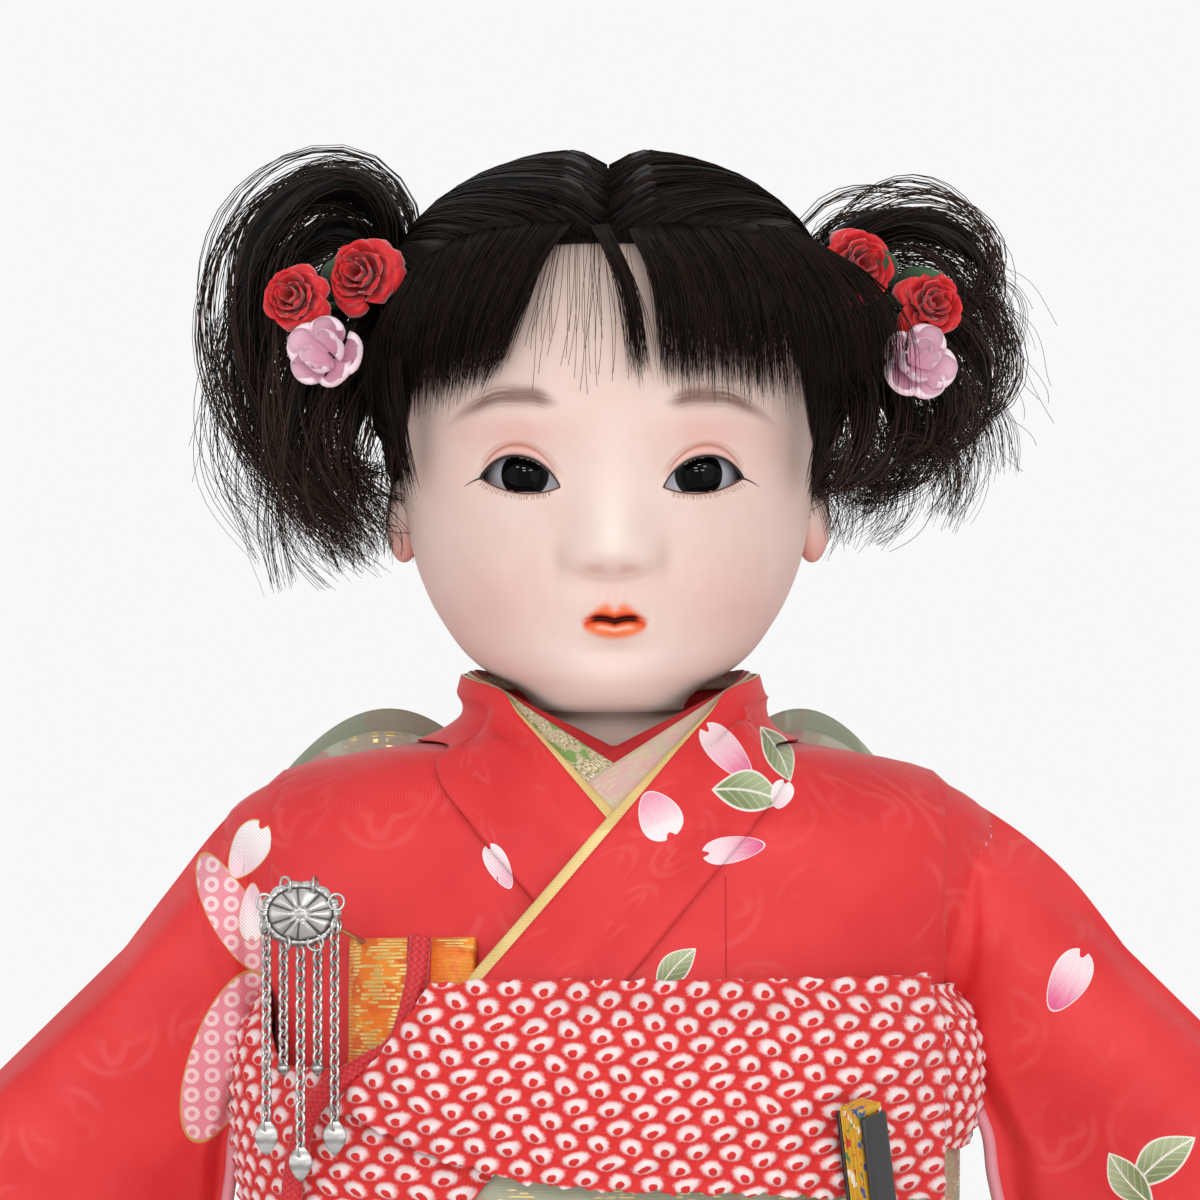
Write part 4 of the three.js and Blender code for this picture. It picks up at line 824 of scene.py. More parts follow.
@dataclass(frozen=True)
class PlainSilk(Finish):
    """Plain woven silk in one colour, slightly uneven."""

    colour: str = "e9a0ab"
    deep: str = "cf7f8c"
    pitch: float = 0.5

    def pattern(self, b: Bench) -> Sockets:
        """Two near tones under a fine twill."""
        uv = b.uv()
        twill, = b.use("twill", Vector=uv, Pitch=self.pitch)
        tone = (1.0 - twill).madd(0.4, b.noise(uv, 0.12, 3.0).step(0.3, 0.75) * 0.4)
        return {"Base Color": b.mix(tone, self.colour, self.deep), "Height": twill}


@dataclass(frozen=True)
class BrocadeCloth(Finish):
    """Figured brocade: blotches of colour on a ground, with metallic floats across them."""

    ground: str = "c9cba9"
    blotch: str = "a8324a"
    second: str = "e3c9c4"
    thread: str = "d9c58a"
    pitch: float = 0.5
    cover: float = 0.95
    scale: float = 0.09
    amount: float = 0.56

    def pattern(self, b: Bench) -> Sockets:
        """Cloud-shaped figures in two colours, then bright dashes of thread."""
        uv, amount = b.uv(), self.amount
        other = b.noise(b.scaled(uv, (0.7, 1.1, 1.0)), self.scale * 1.3)
        colour = b.mix(other.step(amount - 0.05, amount), self.ground, self.second)
        colour = b.mix(b.noise(uv, self.scale).step(amount, amount + 0.03), colour, self.blotch)
        dashes, height = b.use("brocade", Vector=uv, Pitch=self.pitch, Cover=self.cover)
        thread = dashes * (1.0 - b.value("plain"))
        return {"Base Color": b.mix(thread, colour, self.thread),
                "Roughness": thread.madd(-0.25, self.roughness), "Metallic": thread * 0.55, "Height": height}


@dataclass(frozen=True)
class SidedBrocade(Finish):
    """Collar brocade: gold net with green leaves on the doll's right, pink and silver on its left."""

    def pattern(self, b: Bench) -> Sockets:
        """Two cloths that meet at the nape, told apart by the sign of the collar's side value."""
        uv = b.uv()
        side = b.value("side").step(-0.02, 0.02)
        net, net_height = b.use("brocade", Vector=b.scaled(uv, (1.0, 1.6, 1.0)), Pitch=0.55, Cover=0.62)
        gold = b.mix(b.noise(b.scaled(uv, (0.9, 2.4, 1.0)), 1.5).step(0.38, 0.62), "9a8354", "efe6c6")
        green = b.noise(b.scaled(uv, (0.15, 0.2, 1.0)), 1.0, 1.5).step(0.58, 0.62)
        silver, silver_height = b.use("brocade", Vector=uv, Pitch=0.5, Cover=0.84)
        pink = b.mix(b.noise(uv, 0.25).step(0.35, 0.7), "dba9a6", "cdbba6")
        colour = b.mix(side, b.mix(green, gold, "86a658"), b.mix(silver, pink, "d6cba4"))
        return {"Base Color": colour, "Metallic": b.mix(side, net, silver) * 0.45,
                "Height": net_height + silver_height}


@dataclass(frozen=True)
class ShiboriSilk(Finish):
    """Tie-dyed crepe: white raised knots, each with a red tip, on a red ground."""

    def pattern(self, b: Bench) -> Sockets:
        """White where a knot stands up, pink at its foot, red between the knots and on their tips."""
        uv, x, y = b.uv(), b.value("knot_x"), b.value("knot_y")
        rows = [b.use("knots", X=x, Y=y, Step=step) for step in (-1.0, 0.0, 1.0)]
        knot, tip = (low.to("MAXIMUM", own).to("MAXIMUM", high) for low, own, high in zip(*rows))
        grain = (b.noise(uv, 1.3, 3.0) - 0.5) * 0.5
        white, red = (knot + grain).step(0.02, 0.34), (tip + grain).step(0.1, 0.3)
        ground = b.mix(b.noise(uv, 0.5, 3.0), "c51514", "dd2c28")
        pale = b.mix(knot.step(0.55, 0.05), "ecdcdb", "e09595")
        return {"Base Color": b.mix(white * (1.0 - red), ground, pale), "Height": b.noise(uv, 5.0, 3.0)}


@dataclass(frozen=True)
class BraidedSilk(Finish):
    """Braided silk cord: crossing strands round the tube, with painted shade in the grooves between them."""

    colour: str = "b5161b"
    deep: str = "6d070b"
    strands: float = 4.0
    pitch: float = 2.4

    def pattern(self, b: Bench) -> Sockets:
        """Two sets of crossing lines on the tube's own UV: round it and along it in millimetres."""
        x, y, _ = b.parts(b.uv())
        around, along = x * self.strands, y / self.pitch
        one, two = (abs((way * math.pi).to("SINE")) for way in (around + along, around - along))
        height = one * two
        # Painted shade: the deep colour fills the low grooves between the strands.
        return {"Base Color": b.mix(height.step(0.05, 0.6), self.deep, self.colour), "Height": height}


@dataclass(frozen=True)
class OldSilver(Finish):
    """Pressed silver with dark tarnish in its hollows."""

    def pattern(self, b: Bench) -> Sockets:
        """Bright metal darkened by age blotches and where the hollow value is high."""
        blotch, = b.use("wear", Vector=b.scaled(b.place(), (3.0, 3.0, 3.0)))
        dark = (blotch * 0.4).to("MAXIMUM", b.value("hollow").step(0.1, 0.9))
        return {"Base Color": b.mix(dark, "c9c7c4", "4a4644"), "Roughness": dark.madd(0.25, self.roughness),
                "Height": b.noise(b.place(), 6.0, 3.0)}


@dataclass(frozen=True)
class FaceSkin(Finish):
    """Matte shell-white finish with painted blush, lips, brows and lid lines, a painted highlight on the nose
    and lower face, and painted shade under the nose and lip.
    """

    skin: str = "e1c8be"

    def pattern(self, b: Bench) -> Sockets:
        """Layers of paint, each where its point value says; pale is a painted highlight, shade a painted
        shade.
        """
        place = b.place()
        colour = b.mix(b.noise(place, 0.12, 3.0).step(0.25, 0.8), self.skin, "dcc0b5")
        strokes = b.noise(b.joined(b.value("brow_along") * 0.12, b.value("brow_across") * 3.4), 1.0)
        brow = b.value("brow") * strokes.step(0.18, 0.5) * 0.84
        lip = b.mix(b.value("lip_deep"), "ec7c4e", "d9491d")
        # pale is a painted highlight down the nose and over the lower face, and shade is painted shade under
        # the nose and lip.
        for paint, tint in (("pale", "f1dfd7"), ("blush", "dd9f95"), ("shade", "b98f7b"), (brow, "6b463b"),
                            # The pale line on the lower lip is a painted highlight.
                            ("crease", "b06a55"), ("lips", lip), ("gleam", "f9dccb"), ("mouth", "430809"),
                            ("lid", "1a0d0b")):
            colour = b.mix(b.value(paint) if isinstance(paint, str) else paint, colour, tint)
        return {"Base Color": colour, "Roughness": b.value("lips").madd(-0.18, self.roughness),
                "Height": b.noise(place, 2.5, 4.0)}


@dataclass(frozen=True)
class PlainSkin(Finish):
    """The same matte finish with no paint, mottled a little pinker."""

    def pattern(self, b: Bench) -> Sockets:
        """Pale skin mottled with pink."""
        place = b.place()
        pink = b.noise(place, 0.15, 3.0).step(0.35, 0.75) * 0.4 + b.value("blush")
        return {"Base Color": b.mix(pink, "e4c9bd", "dba79b"), "Height": b.noise(place, 2.5, 4.0)}


@dataclass(frozen=True)
class GlassEye(Finish):
    """Blown glass: black iris in a bluish white, with painted shade that darkens the white towards the
    corners.
    """

    def pattern(self, b: Bench) -> Sockets:
        """Rings by the distance from the middle of the iris."""
        away = b.value("iris")
        # Painted shade: the white darkens to near black towards the corners, where the lids shade it.
        white = b.mix(b.value("corner").step(0.2, 1.0), "b3b5c0", "15161a")
        ring = b.mix(away.step(3.2, 3.9), "040304", "0f0908")
        return {"Base Color": b.mix(away.step(3.95, 4.2), ring, white)}


@dataclass(frozen=True)
class HairFinish(Finish):
    """Fine black-brown hair, lighter along some strands."""

    dark: str = "0a0807"
    warm: str = "281c16"

    def pattern(self, b: Bench) -> Sockets:
        """Each strand's own tone, with streaks along the combed sheet."""
        x, y, _ = b.parts(b.uv())
        streak = b.noise(b.joined(x, y * 0.02), 1.0, 3.0, 0.7)
        tone = streak.madd(0.5, b.value("tone") - 0.2)
        return {"Base Color": b.mix(tone.step(0.0, 1.0), self.dark, self.warm), "Height": streak}


@dataclass(frozen=True)
class PetalSilk(Finish):
    """Pressed silk petals, paler or darker towards their edges."""

    heart: str = "a80c13"
    edge: str = "e8252c"

    def pattern(self, b: Bench) -> Sockets:
        """From the heart's colour to the edge's along each petal, with fine ribs."""
        x, y, _ = b.parts(b.uv())
        rib = b.noise(b.joined(x * 26.0, y * 2.0), 1.0)
        return {"Base Color": b.mix(rib.madd(0.25, y - 0.12).step(0.1, 0.95), self.heart, self.edge),
                "Height": rib}


@dataclass(frozen=True)
class Lacquer(Finish):
    """Black lacquer with faint brush waves, and brown in worn blotches."""

    colour: str = "0b0909"
    worn: str = "2b1712"

    def pattern(self, b: Bench) -> Sockets:
        """Deep black with a slow change of gloss."""
        place = b.place()
        blotch, = b.use("wear", Vector=place)
        return {"Base Color": b.mix(blotch * 0.35, self.colour, self.worn),
                "Roughness": blotch.madd(0.14, self.roughness),
                "Height": b.noise(b.scaled(place, (0.2, 1.0, 1.0)), 0.05)}


@dataclass(frozen=True)
class TurnedWood(Finish):
    """Plain wood with grain along Z."""

    def pattern(self, b: Bench) -> Sockets:
        """Stretched noise between two browns."""
        grain = b.noise(b.scaled(b.place(), (1.0, 1.0, 0.05)), 0.9, 4.0, 0.6)
        return {"Base Color": b.mix(grain.step(0.3, 0.7), "a27d54", "6f4f31"), "Height": grain}


@dataclass(frozen=True)
class Plaster(Finish):
    """Bare moulded composition or wrapped paper, speckled and matte."""

    colour: str = "e2d3bd"
    deep: str = "c4ae92"

    def pattern(self, b: Bench) -> Sockets:
        """Blotched cream."""
        blotch, = b.use("wear", Vector=b.scaled(b.place(), (2.0, 2.0, 2.0)))
        return {"Base Color": b.mix(blotch, self.colour, self.deep), "Height": b.noise(b.place(), 0.8, 4.0)}


@dataclass(frozen=True)
class FanPaper(Finish):
    """Gilt folded paper with small touches of blue, red, white and green on its pleat edges."""

    def pattern(self, b: Bench) -> Sockets:
        """Gold with blotches of four colours."""
        place = b.place()
        spot = b.noise(b.scaled(place, (0.5, 0.5, 0.35)), 1.0)
        other = b.noise(b.scaled(place, (0.6, 0.6, 0.3)), 1.3)
        colour = "dcae35"
        for cloud, start, end, tint in ((spot, 0.6, 0.63, "3c63a8"), (other, 0.62, 0.65, "cf3b32"),
                                        (spot, 0.36, 0.33, "f3ecd8"), (other, 0.34, 0.31, "5f8f58")):
            colour = b.mix(cloud.step(start, end), colour, tint)
        return {"Base Color": colour, "Height": b.noise(place, 3.0, 3.0)}


# The kimono's form


@dataclass(frozen=True)
class KimonoForm:
    """The dressed body: half width, front and back depth at each height, and its layers."""

    hem: float = 28.0
    waist: float = 196.0
    obi_top: float = 258.0
    shoulder: float = 299.0
    neckline: float = 313.0
    rise: float = 14.0
    collar: tuple[float, float, float] = (21.6, 20.5, 26.0)
    flare: tuple[float, float, float] = (11.4, 3.15, 3.15)
    gap: float = 0.6
    obi_out: float = 3.2
    scarf_in: float = 3.8
    scarf_out: float = 8.8
    flap_in: float = 9.3
    flap_out: float = 13.3

    def girth(self, z: Array) -> tuple[Array, Array, Array]:
        """Half width, front depth and back depth at heights, blended between four measured rings.

        Above the shoulder the width falls as (1 - rise^1.7)^.75, and above the neckline the
        collar flares in by an exponential.
        """
        z = np.asarray(z, float)
        chest = self.obi_top + 8
        share = np.clip((z - chest) / (self.shoulder - chest), 0, 1)
        eased = chest + (self.shoulder - chest) * (0.6 * share * share * (3 - 2 * share) + 0.4 * share)
        level = np.where(z > chest, eased, z)
        rings = np.array([[50, 41, 41], [57.5, 45, 42], [58, 43, 39], [66.5, 33, 33]], float)
        at = np.array([self.hem, self.waist, chest, self.shoulder])
        up = np.clip((z - self.shoulder) / self.rise, 0, 1)
        top = np.exp(np.minimum(self.neckline - z, 0.0) / 3.5)
        made = []
        for k in range(3):
            low = np.interp(level, at, rings[:, k])
            middle = lerp(self.collar[k] + self.flare[k], rings[3, k],
                          (1 - up ** 1.7) ** 0.75 if k == 0 else 1 - up)
            high = self.collar[k] + self.flare[k] * top
            made.append(np.where(z >= self.neckline, high, np.where(z >= self.shoulder, middle, low)))
        return made[0], made[1], made[2]

    def on(self, angle: Array, z: Array) -> Array:
        """The point at an angle from the front and a height."""
        half, front, back = self.girth(z)
        depth = np.where(np.cos(angle) > 0, front, back)
        return stack(half * np.sin(angle), -depth * np.cos(angle), z)

    def out(self, angle: Array, z: Array, offset: Array, rise: Array = 1.0) -> Array:
        """The same point moved out along the surface's normal, with a share of the normal's own rise."""
        across = self.on(angle + 0.01, z) - self.on(angle - 0.01, z)
        up = self.on(angle, np.asarray(z) + 0.2) - self.on(angle, np.asarray(z) - 0.2)
        normal = np.cross(across, up)
        normal[..., 2] *= rise
        return self.on(angle, z) + unit(normal) * np.asarray(offset, float)[..., None]

    def angle_at(self, x: Array, z: Array, offset: Array = 0.0) -> Array:
        """The angle at which the front of a layer this far out is at x."""
        return np.arcsin(np.clip(np.asarray(x) / (self.girth(z)[0] + offset), -0.98, 0.98))

    def front(self, x: float, z: float, offset: float) -> Array:
        """The point in front at x and a height, this far out."""
        return self.out(self.angle_at(x, z, offset), np.array(z), np.array(offset))


FORM = KimonoForm()


def girth_uv(points: Array, wrap: bool = False) -> Array:
    """UVs in millimetres by length along the middle row and up the middle column."""
    loop = np.concatenate([points, points[:, :1]], axis=1) if wrap else points
    middle = loop[len(loop) // 2]
    along = np.concatenate([[0.0], np.cumsum(np.linalg.norm(np.diff(middle, axis=0), axis=1))])
    column = points[:, points.shape[1] // 2]
    up = np.concatenate([[0.0], np.cumsum(np.linalg.norm(np.diff(column, axis=0), axis=1))])
    return np.stack(np.meshgrid(along, up), axis=-1)


def seat_sheet(shape: Shape, name: str, slot: str, node: str, held: str, rests: str,
               *materials: Material) -> None:
    """Builds a cloth on the doll's own body and seats it for its CAD node."""
    piece = shape.build(name, *materials)
    place(piece, Body.DOLL, slot, node)


@dataclass
class Stand:
    """The lacquered board and the post that holds the doll up."""

    width: float = 190.0
    depth: float = 160.0
    thickness: float = 14.0
    corner: float = 14.0
    edge: float = 2.2

    def build(self) -> None:
        """Makes the board; the post is the CAD node with a wood finish."""
        turn = np.linspace(0, TAU, 161)[:-1]
        quarter = np.sign(np.cos(turn)), np.sign(np.sin(turn))

        def ring(inset: Array, z: Array) -> Array:
            """A rounded rectangle: four quarter circles about the corner centres."""
            r = self.corner - inset
            x = quarter[0] * (self.width / 2 - self.corner) + r * np.cos(turn)
            y = quarter[1] * (self.depth / 2 - self.corner) + r * np.sin(turn)
            return stack(x, y, z)

        bend = np.linspace(0, math.pi / 2, 7)[:, None]
        low = ring(self.edge * (1 - np.sin(bend)), self.edge * (1 - np.cos(bend)))
        high = ring(self.edge * (1 - np.cos(bend)), self.thickness - self.edge * (1 - np.sin(bend)))
        # The flat faces close on the middle, under and over the rim.
        share = np.linspace(0.02, 0.98, 10)[:, None, None]
        under, over = low[:1] * share, high[-1:] * share[::-1]
        under[..., 2], over[..., 2] = 0.0, self.thickness
        shape = Shape().grid(np.concatenate([under, low, high, over]), wrap=True)
        lacquer = Lacquer("black lacquer", 0.14, coat=0.7, bump=0.12, depth=0.4).make()
        place(shape.build("lacquered_board", lacquer), Body.DOLL, "black_lacquer", "display_board")


@dataclass
class Legs:
    """Feet in split-toed socks and zori, under the hem."""

    spacing: float = 21.0
    sole: float = 14.3
    foot: float = 21.6
    knee: float = 101.6

    def build(self) -> None:
        """Makes each lower leg with its sock, and each zori with its straps."""
        sock = PlainSilk("sock cotton", 0.85, colour="f3f0ea", deep="d9d3c8", pitch=0.8).make()
        cover = BrocadeCloth("zori cover", 0.5, ground="b3202a", blotch="8c1019", second="c94a44",
                             cover=1.05).make()
        cork = Plaster("zori core", 0.8, colour="d8b98a", deep="b08c5c").make()
        strap = BraidedSilk("strap cord", 0.55, sheen=0.3, colour="c8343a", deep="7d1218", bump=0.5).make()
        for side in Side:
            x = side.value * self.spacing
            leg = self._leg(x, side.value).build(f"{side.word}_sock_and_leg", sock)
            place(leg, Body.DOLL, "tabi_white", f"{side.word}_lower_leg")
            zori = self._zori(x).build(f"{side.word}_sandal", cover, cork, strap)
            place(zori, Body.DOLL, "zori_cover", f"{side.word}_zori")

    def _leg(self, x: float, way: int) -> Shape:
        """A calf of round sections, and a foot of flattened ones with a split beside the great toe."""
        turn = circle(40)
        t = np.linspace(0, 1, 24)[:, None]
        radius = 11 * np.interp(t, [0, 1 / 3, 2 / 3, 1], [1, 1.08, 0.9, 0.74])
        z = lerp(self.knee, self.foot + 6, t)
        calf = stack(x + radius * np.sin(turn), 3 * t - radius * np.cos(turn), z)
        rows = np.array([[13.5, 1, 6], [13, 5, 9], [9, 8, 15], [0, 8.5, 17], [-14, 9.6, 11], [-28, 10.2, 6],
                         [-39, 9, 5], [-43, 6.4, 4], [-44.4, 1, 2.4]], float)
        rows = through(rows, np.linspace(0, 1, 44))
        y, half, high = (rows[:, k, None] for k in range(3))
        across = half * np.cos(turn)
        split = 2.2 * ease(-y, 27, 36) * hump(across + way * 2.6, 0.9)
        lift = high / 2 * (1 + np.sin(turn)) - split * np.maximum(0, np.sin(turn))
        foot = stack(x + across, y + 1.2 * split, self.foot + np.maximum(lift, 0.05))
        ends = [np.broadcast_to(end.mean(axis=1, keepdims=True), end.shape) for end in (calf[:1], calf[-1:])]
        calf = np.concatenate([ends[0], calf, ends[1]])
        shape = Shape().grid(calf, wrap=True, flip=True, uv=girth_uv(calf, True))
        return shape.grid(foot, wrap=True, uv=girth_uv(foot, True))

    def _zori(self, x: float) -> Shape:
        """A sole of rounded layers and two straps that meet between the toes."""
        turn = circle(72)
        levels = [(0.02, 0, 0), (0.93, 0, 0), (0.97, 0.5, 1), (0.97, 3.6, 1), (1, 4, 0), (1, 6.2, 0),
                  (0.97, 6.9, 0), (0.9, 7, 0), (0.02, 7, 0)]
        shape = Shape()
        waist = 1 - 0.1 * np.exp(-((np.cos(turn) + 0.15) / 0.4) ** 2)
        for first, second in zip(levels[:-1], levels[1:]):
            rows = [stack(x + 13.5 * s * waist * np.sin(turn), -16 - 33 * s * np.cos(turn), self.sole + z)
                    for s, z, _ in (first, second)]
            shape.grid(np.array(rows), wrap=True, slot=first[2] * second[2])
        foot = self.foot
        route = spaced([[x - 11.5, 4, self.sole + 6], [x - 11.2, -3, foot + 8], [x - 6, -18, foot + 11],
                        [x, -25, foot + 8.6], [x + 6, -18, foot + 11], [x + 11.2, -3, foot + 8],
                        [x + 11.5, 4, self.sole + 6]], 60)
        toe = spaced([[x, -25, foot + 8.6], [x, -26, foot + 4], [x, -26, foot - 1.5]], 12)
        shape.tubes(route[None], 1.5, 14, slot=2, across=(0, 0.2, 1))
        return shape.tubes(toe[None], 1.3, 12, slot=2, across=(1, 0, 0))


PETAL, LEAF, RINGED = Print.PETAL, Print.LEAF, Print.RINGED
FRONT_PRINTS = (
    Motif(PETAL, 20.4, 311.6, 132, 12.4, 6.4),
    Motif(PETAL, 8.4, 301.6, 300, 8.8, 8.6, ("f0a3bd", "fdeff2", "fdf3f0")),
    Motif(PETAL, 21.4, 295.6, 188, 11.0, 5.4), Motif(LEAF, 23.5, 304.6, -10, 12.4, 7.2, LEAF_COLOURS),
    Motif(LEAF, 28.6, 311.4, -62, 10.5, 5.2, LEAF_COLOURS),
    Motif(PETAL, 29.4, 304.6, 70, 5.0, 4.6, ("fbe0e8", "ffffff", "ffffff")),
    Motif(LEAF, 11.4, 275.4, 48, 10.0, 5.0, LEAF_COLOURS),
    Motif(PETAL, -18.4, 292.6, 118, 8.4, 4.6, ("f6c3d3", "fdeff2", "ffffff")),
)
BACK_PRINTS = (
    Motif(PETAL, 430, 296, 60, 12, 7), Motif(PETAL, 418, 300, 150, 11, 7),
    Motif(LEAF, 424, 289, 20, 13, 6, LEAF_COLOURS),
    Motif(PETAL, 570, 288, 100, 12, 8), Motif(PETAL, 581, 293, 20, 11, 7),
    Motif(LEAF, 560, 296, 140, 12, 6, LEAF_COLOURS),
)


def spray(x: float, z: float, size: float, turn: float,
          colours: tuple[str, str, str] = Motif.colours) -> tuple[Motif, ...]:
    """A five-petal blossom with two leaves, round one point."""
    made = []
    for k in range(5):
        way = math.radians(turn + 72 * k)
        made.append(Motif(PETAL, x + 0.52 * size * math.cos(way), z + 0.52 * size * math.sin(way),
                          turn + 72 * k, size, 0.92 * size, colours))
    for off in (200, 250):
        way = math.radians(turn + off)
        made.append(Motif(LEAF, x + 1.7 * size * math.cos(way), z + 1.7 * size * math.sin(way), turn + off,
                          1.5 * size, 0.75 * size, LEAF_COLOURS))
    return tuple(made)


@dataclass
class Kimono:
    """Skirt with its lap, the under-kimono at the hem, and the bodice with shoulder tucks."""

    fold: float = 2.0
    tuck: float = 57.0
    lap: float = 0.72
    hem_roll: float = 1.5
    skirt_top: float = 226.0
    under_top: float = 222.0
    bodice: tuple[float, float] = (227.0, 312.95)

    def skirt_fold(self, angle: Array, z: Array) -> Array:
        """Five soft folds that deepen from the waist down."""
        return self.fold * ease(FORM.waist - z, 6, 110) * np.sin(5 * angle + 0.7 * np.sin(2 * angle))

    def build(self) -> None:
        """Makes the skirt, its hem roll, the under-kimono and the bodice."""
        low = spray(20, 62, 12, 30) + spray(-95, 84, 13, 70) + (
            Motif(PETAL, 45, 110, 40, 11, 7), Motif(PETAL, -20, 128, 150, 11, 7),
            Motif(LEAF, 62, 45, 30, 14, 7, LEAF_COLOURS),
            Motif(PETAL, 120, 95, 100, 12, 8), Motif(PETAL, -50, 60, 60, 11, 7))
        skirt_silk = KimonoSilk("skirt silk", sheen=0.1, motifs=low).make()
        chest_silk = KimonoSilk("bodice silk", sheen=0.1, motifs=FRONT_PRINTS + BACK_PRINTS).make()
        pink = PlainSilk("pink lining", 0.65, sheen=0.3).make()
        self._skirt(skirt_silk, pink)
        self._under(pink)
        self._bodice(chest_silk, pink)

    def _skirt(self, silk: Material, pink: Material) -> None:
        """One cloth wound once round and lapped left over right; its offset falls inside the lap."""
        v, u = mesh_grid(48, 280)
        turn = lerp(self.lap, -TAU - self.lap, u)
        z = lerp(FORM.hem, self.skirt_top, v)
        under = -1.7 * (1 - ease(u, 0.0, 2 * self.lap / (TAU + 2 * self.lap)))
        pull = 0.5 * hump(u - 1, 0.012)
        lie = self.skirt_fold(turn, z) + under
        outer, inner = FORM.out(turn, z, lie + pull), FORM.out(turn, z, lie - 0.8)
        shape = Shape().wall(outer[:, ::-1], inner[:, ::-1], uv=girth_uv(outer[:, ::-1]), back=1,
                             print_x=(-turn[:, ::-1] - math.pi) * 50, print_z=z)
        along = turn[0, ::2]
        hem = FORM.out(along, np.full_like(along, FORM.hem + 0.4), lie[0, ::2] - 0.5)
        shape.tubes(hem[None], self.hem_roll, 12, slot=1, across=(0, 0, 1))
        seat_sheet(shape, "skirt_cloth", "red_kimono", "kimono_skirt", "draped", "obi_cloth", silk, pink)

    def _under(self, pink: Material) -> None:
        """The under-kimono, a plain tube inside the skirt."""
        v, turn = ring_grid(20, 100)
        z = lerp(FORM.hem + 2, self.under_top, v)
        fold = self.skirt_fold(turn, z)
        outer, inner = FORM.out(turn, z, fold - 3.4), FORM.out(turn, z, fold - 4.1)
        shape = Shape().wall(outer, inner, wrap=True, uv=girth_uv(outer, True))
        seat_sheet(shape, "under_robe", "pink_lining", "under_kimono", "draped", "obi_cloth", pink)

    def lie(self, turn: Array, z: Array) -> Array:
        """How far out the bodice cloth lies: a tuck over each shoulder and a soft drape over the chest."""
        away = np.abs(FORM.on(turn, z)[..., 0])
        fold = window(away, self.tuck - 16, self.tuck - 0.4, self.tuck, self.tuck + 0.7)
        tuck = 1.1 * fold * ease(z, 262, 275)
        return tuck + 0.4 * ripple(turn * 3.1 + 0.02 * z, 5) * window(z, 250, 268, 285, 305)

    def _bodice(self, silk: Material, pink: Material) -> None:
        """The chest and back, with thin dark tubes of painted shadow along the front panels' seams."""
        v, turn = ring_grid(60, 421)
        z = lerp(*self.bodice, v)
        at, offset = FORM.on(turn, z), self.lie(turn, z)
        outer, inner = FORM.out(turn, z, offset), FORM.out(turn, z, offset - 0.9)
        front = at[..., 1] < 0
        shape = Shape().wall(outer, inner, wrap=True, uv=girth_uv(outer, True), back=1,
                             print_x=np.where(front, at[..., 0], 500 - at[..., 0]), print_z=z)
        # Thin dark red tubes along the front seams: painted seam shadow.
        z = np.linspace(266.0, 291.0, 40)
        for x in (-18.9, 19.9):
            turn = FORM.angle_at(x, z, 0.5)
            shape.tubes(FORM.out(turn, z, self.lie(turn, z))[None], 0.11, 6, slot=2, across=(1, 0, 0.1))
        seam = PlainSilk("seam shadow", 0.8, colour="bd181e", deep="b0141a").make()
        seat_sheet(shape, "bodice_cloth", "red_kimono", "kimono_bodice", "stretched", "torso", silk, pink,
                   seam)


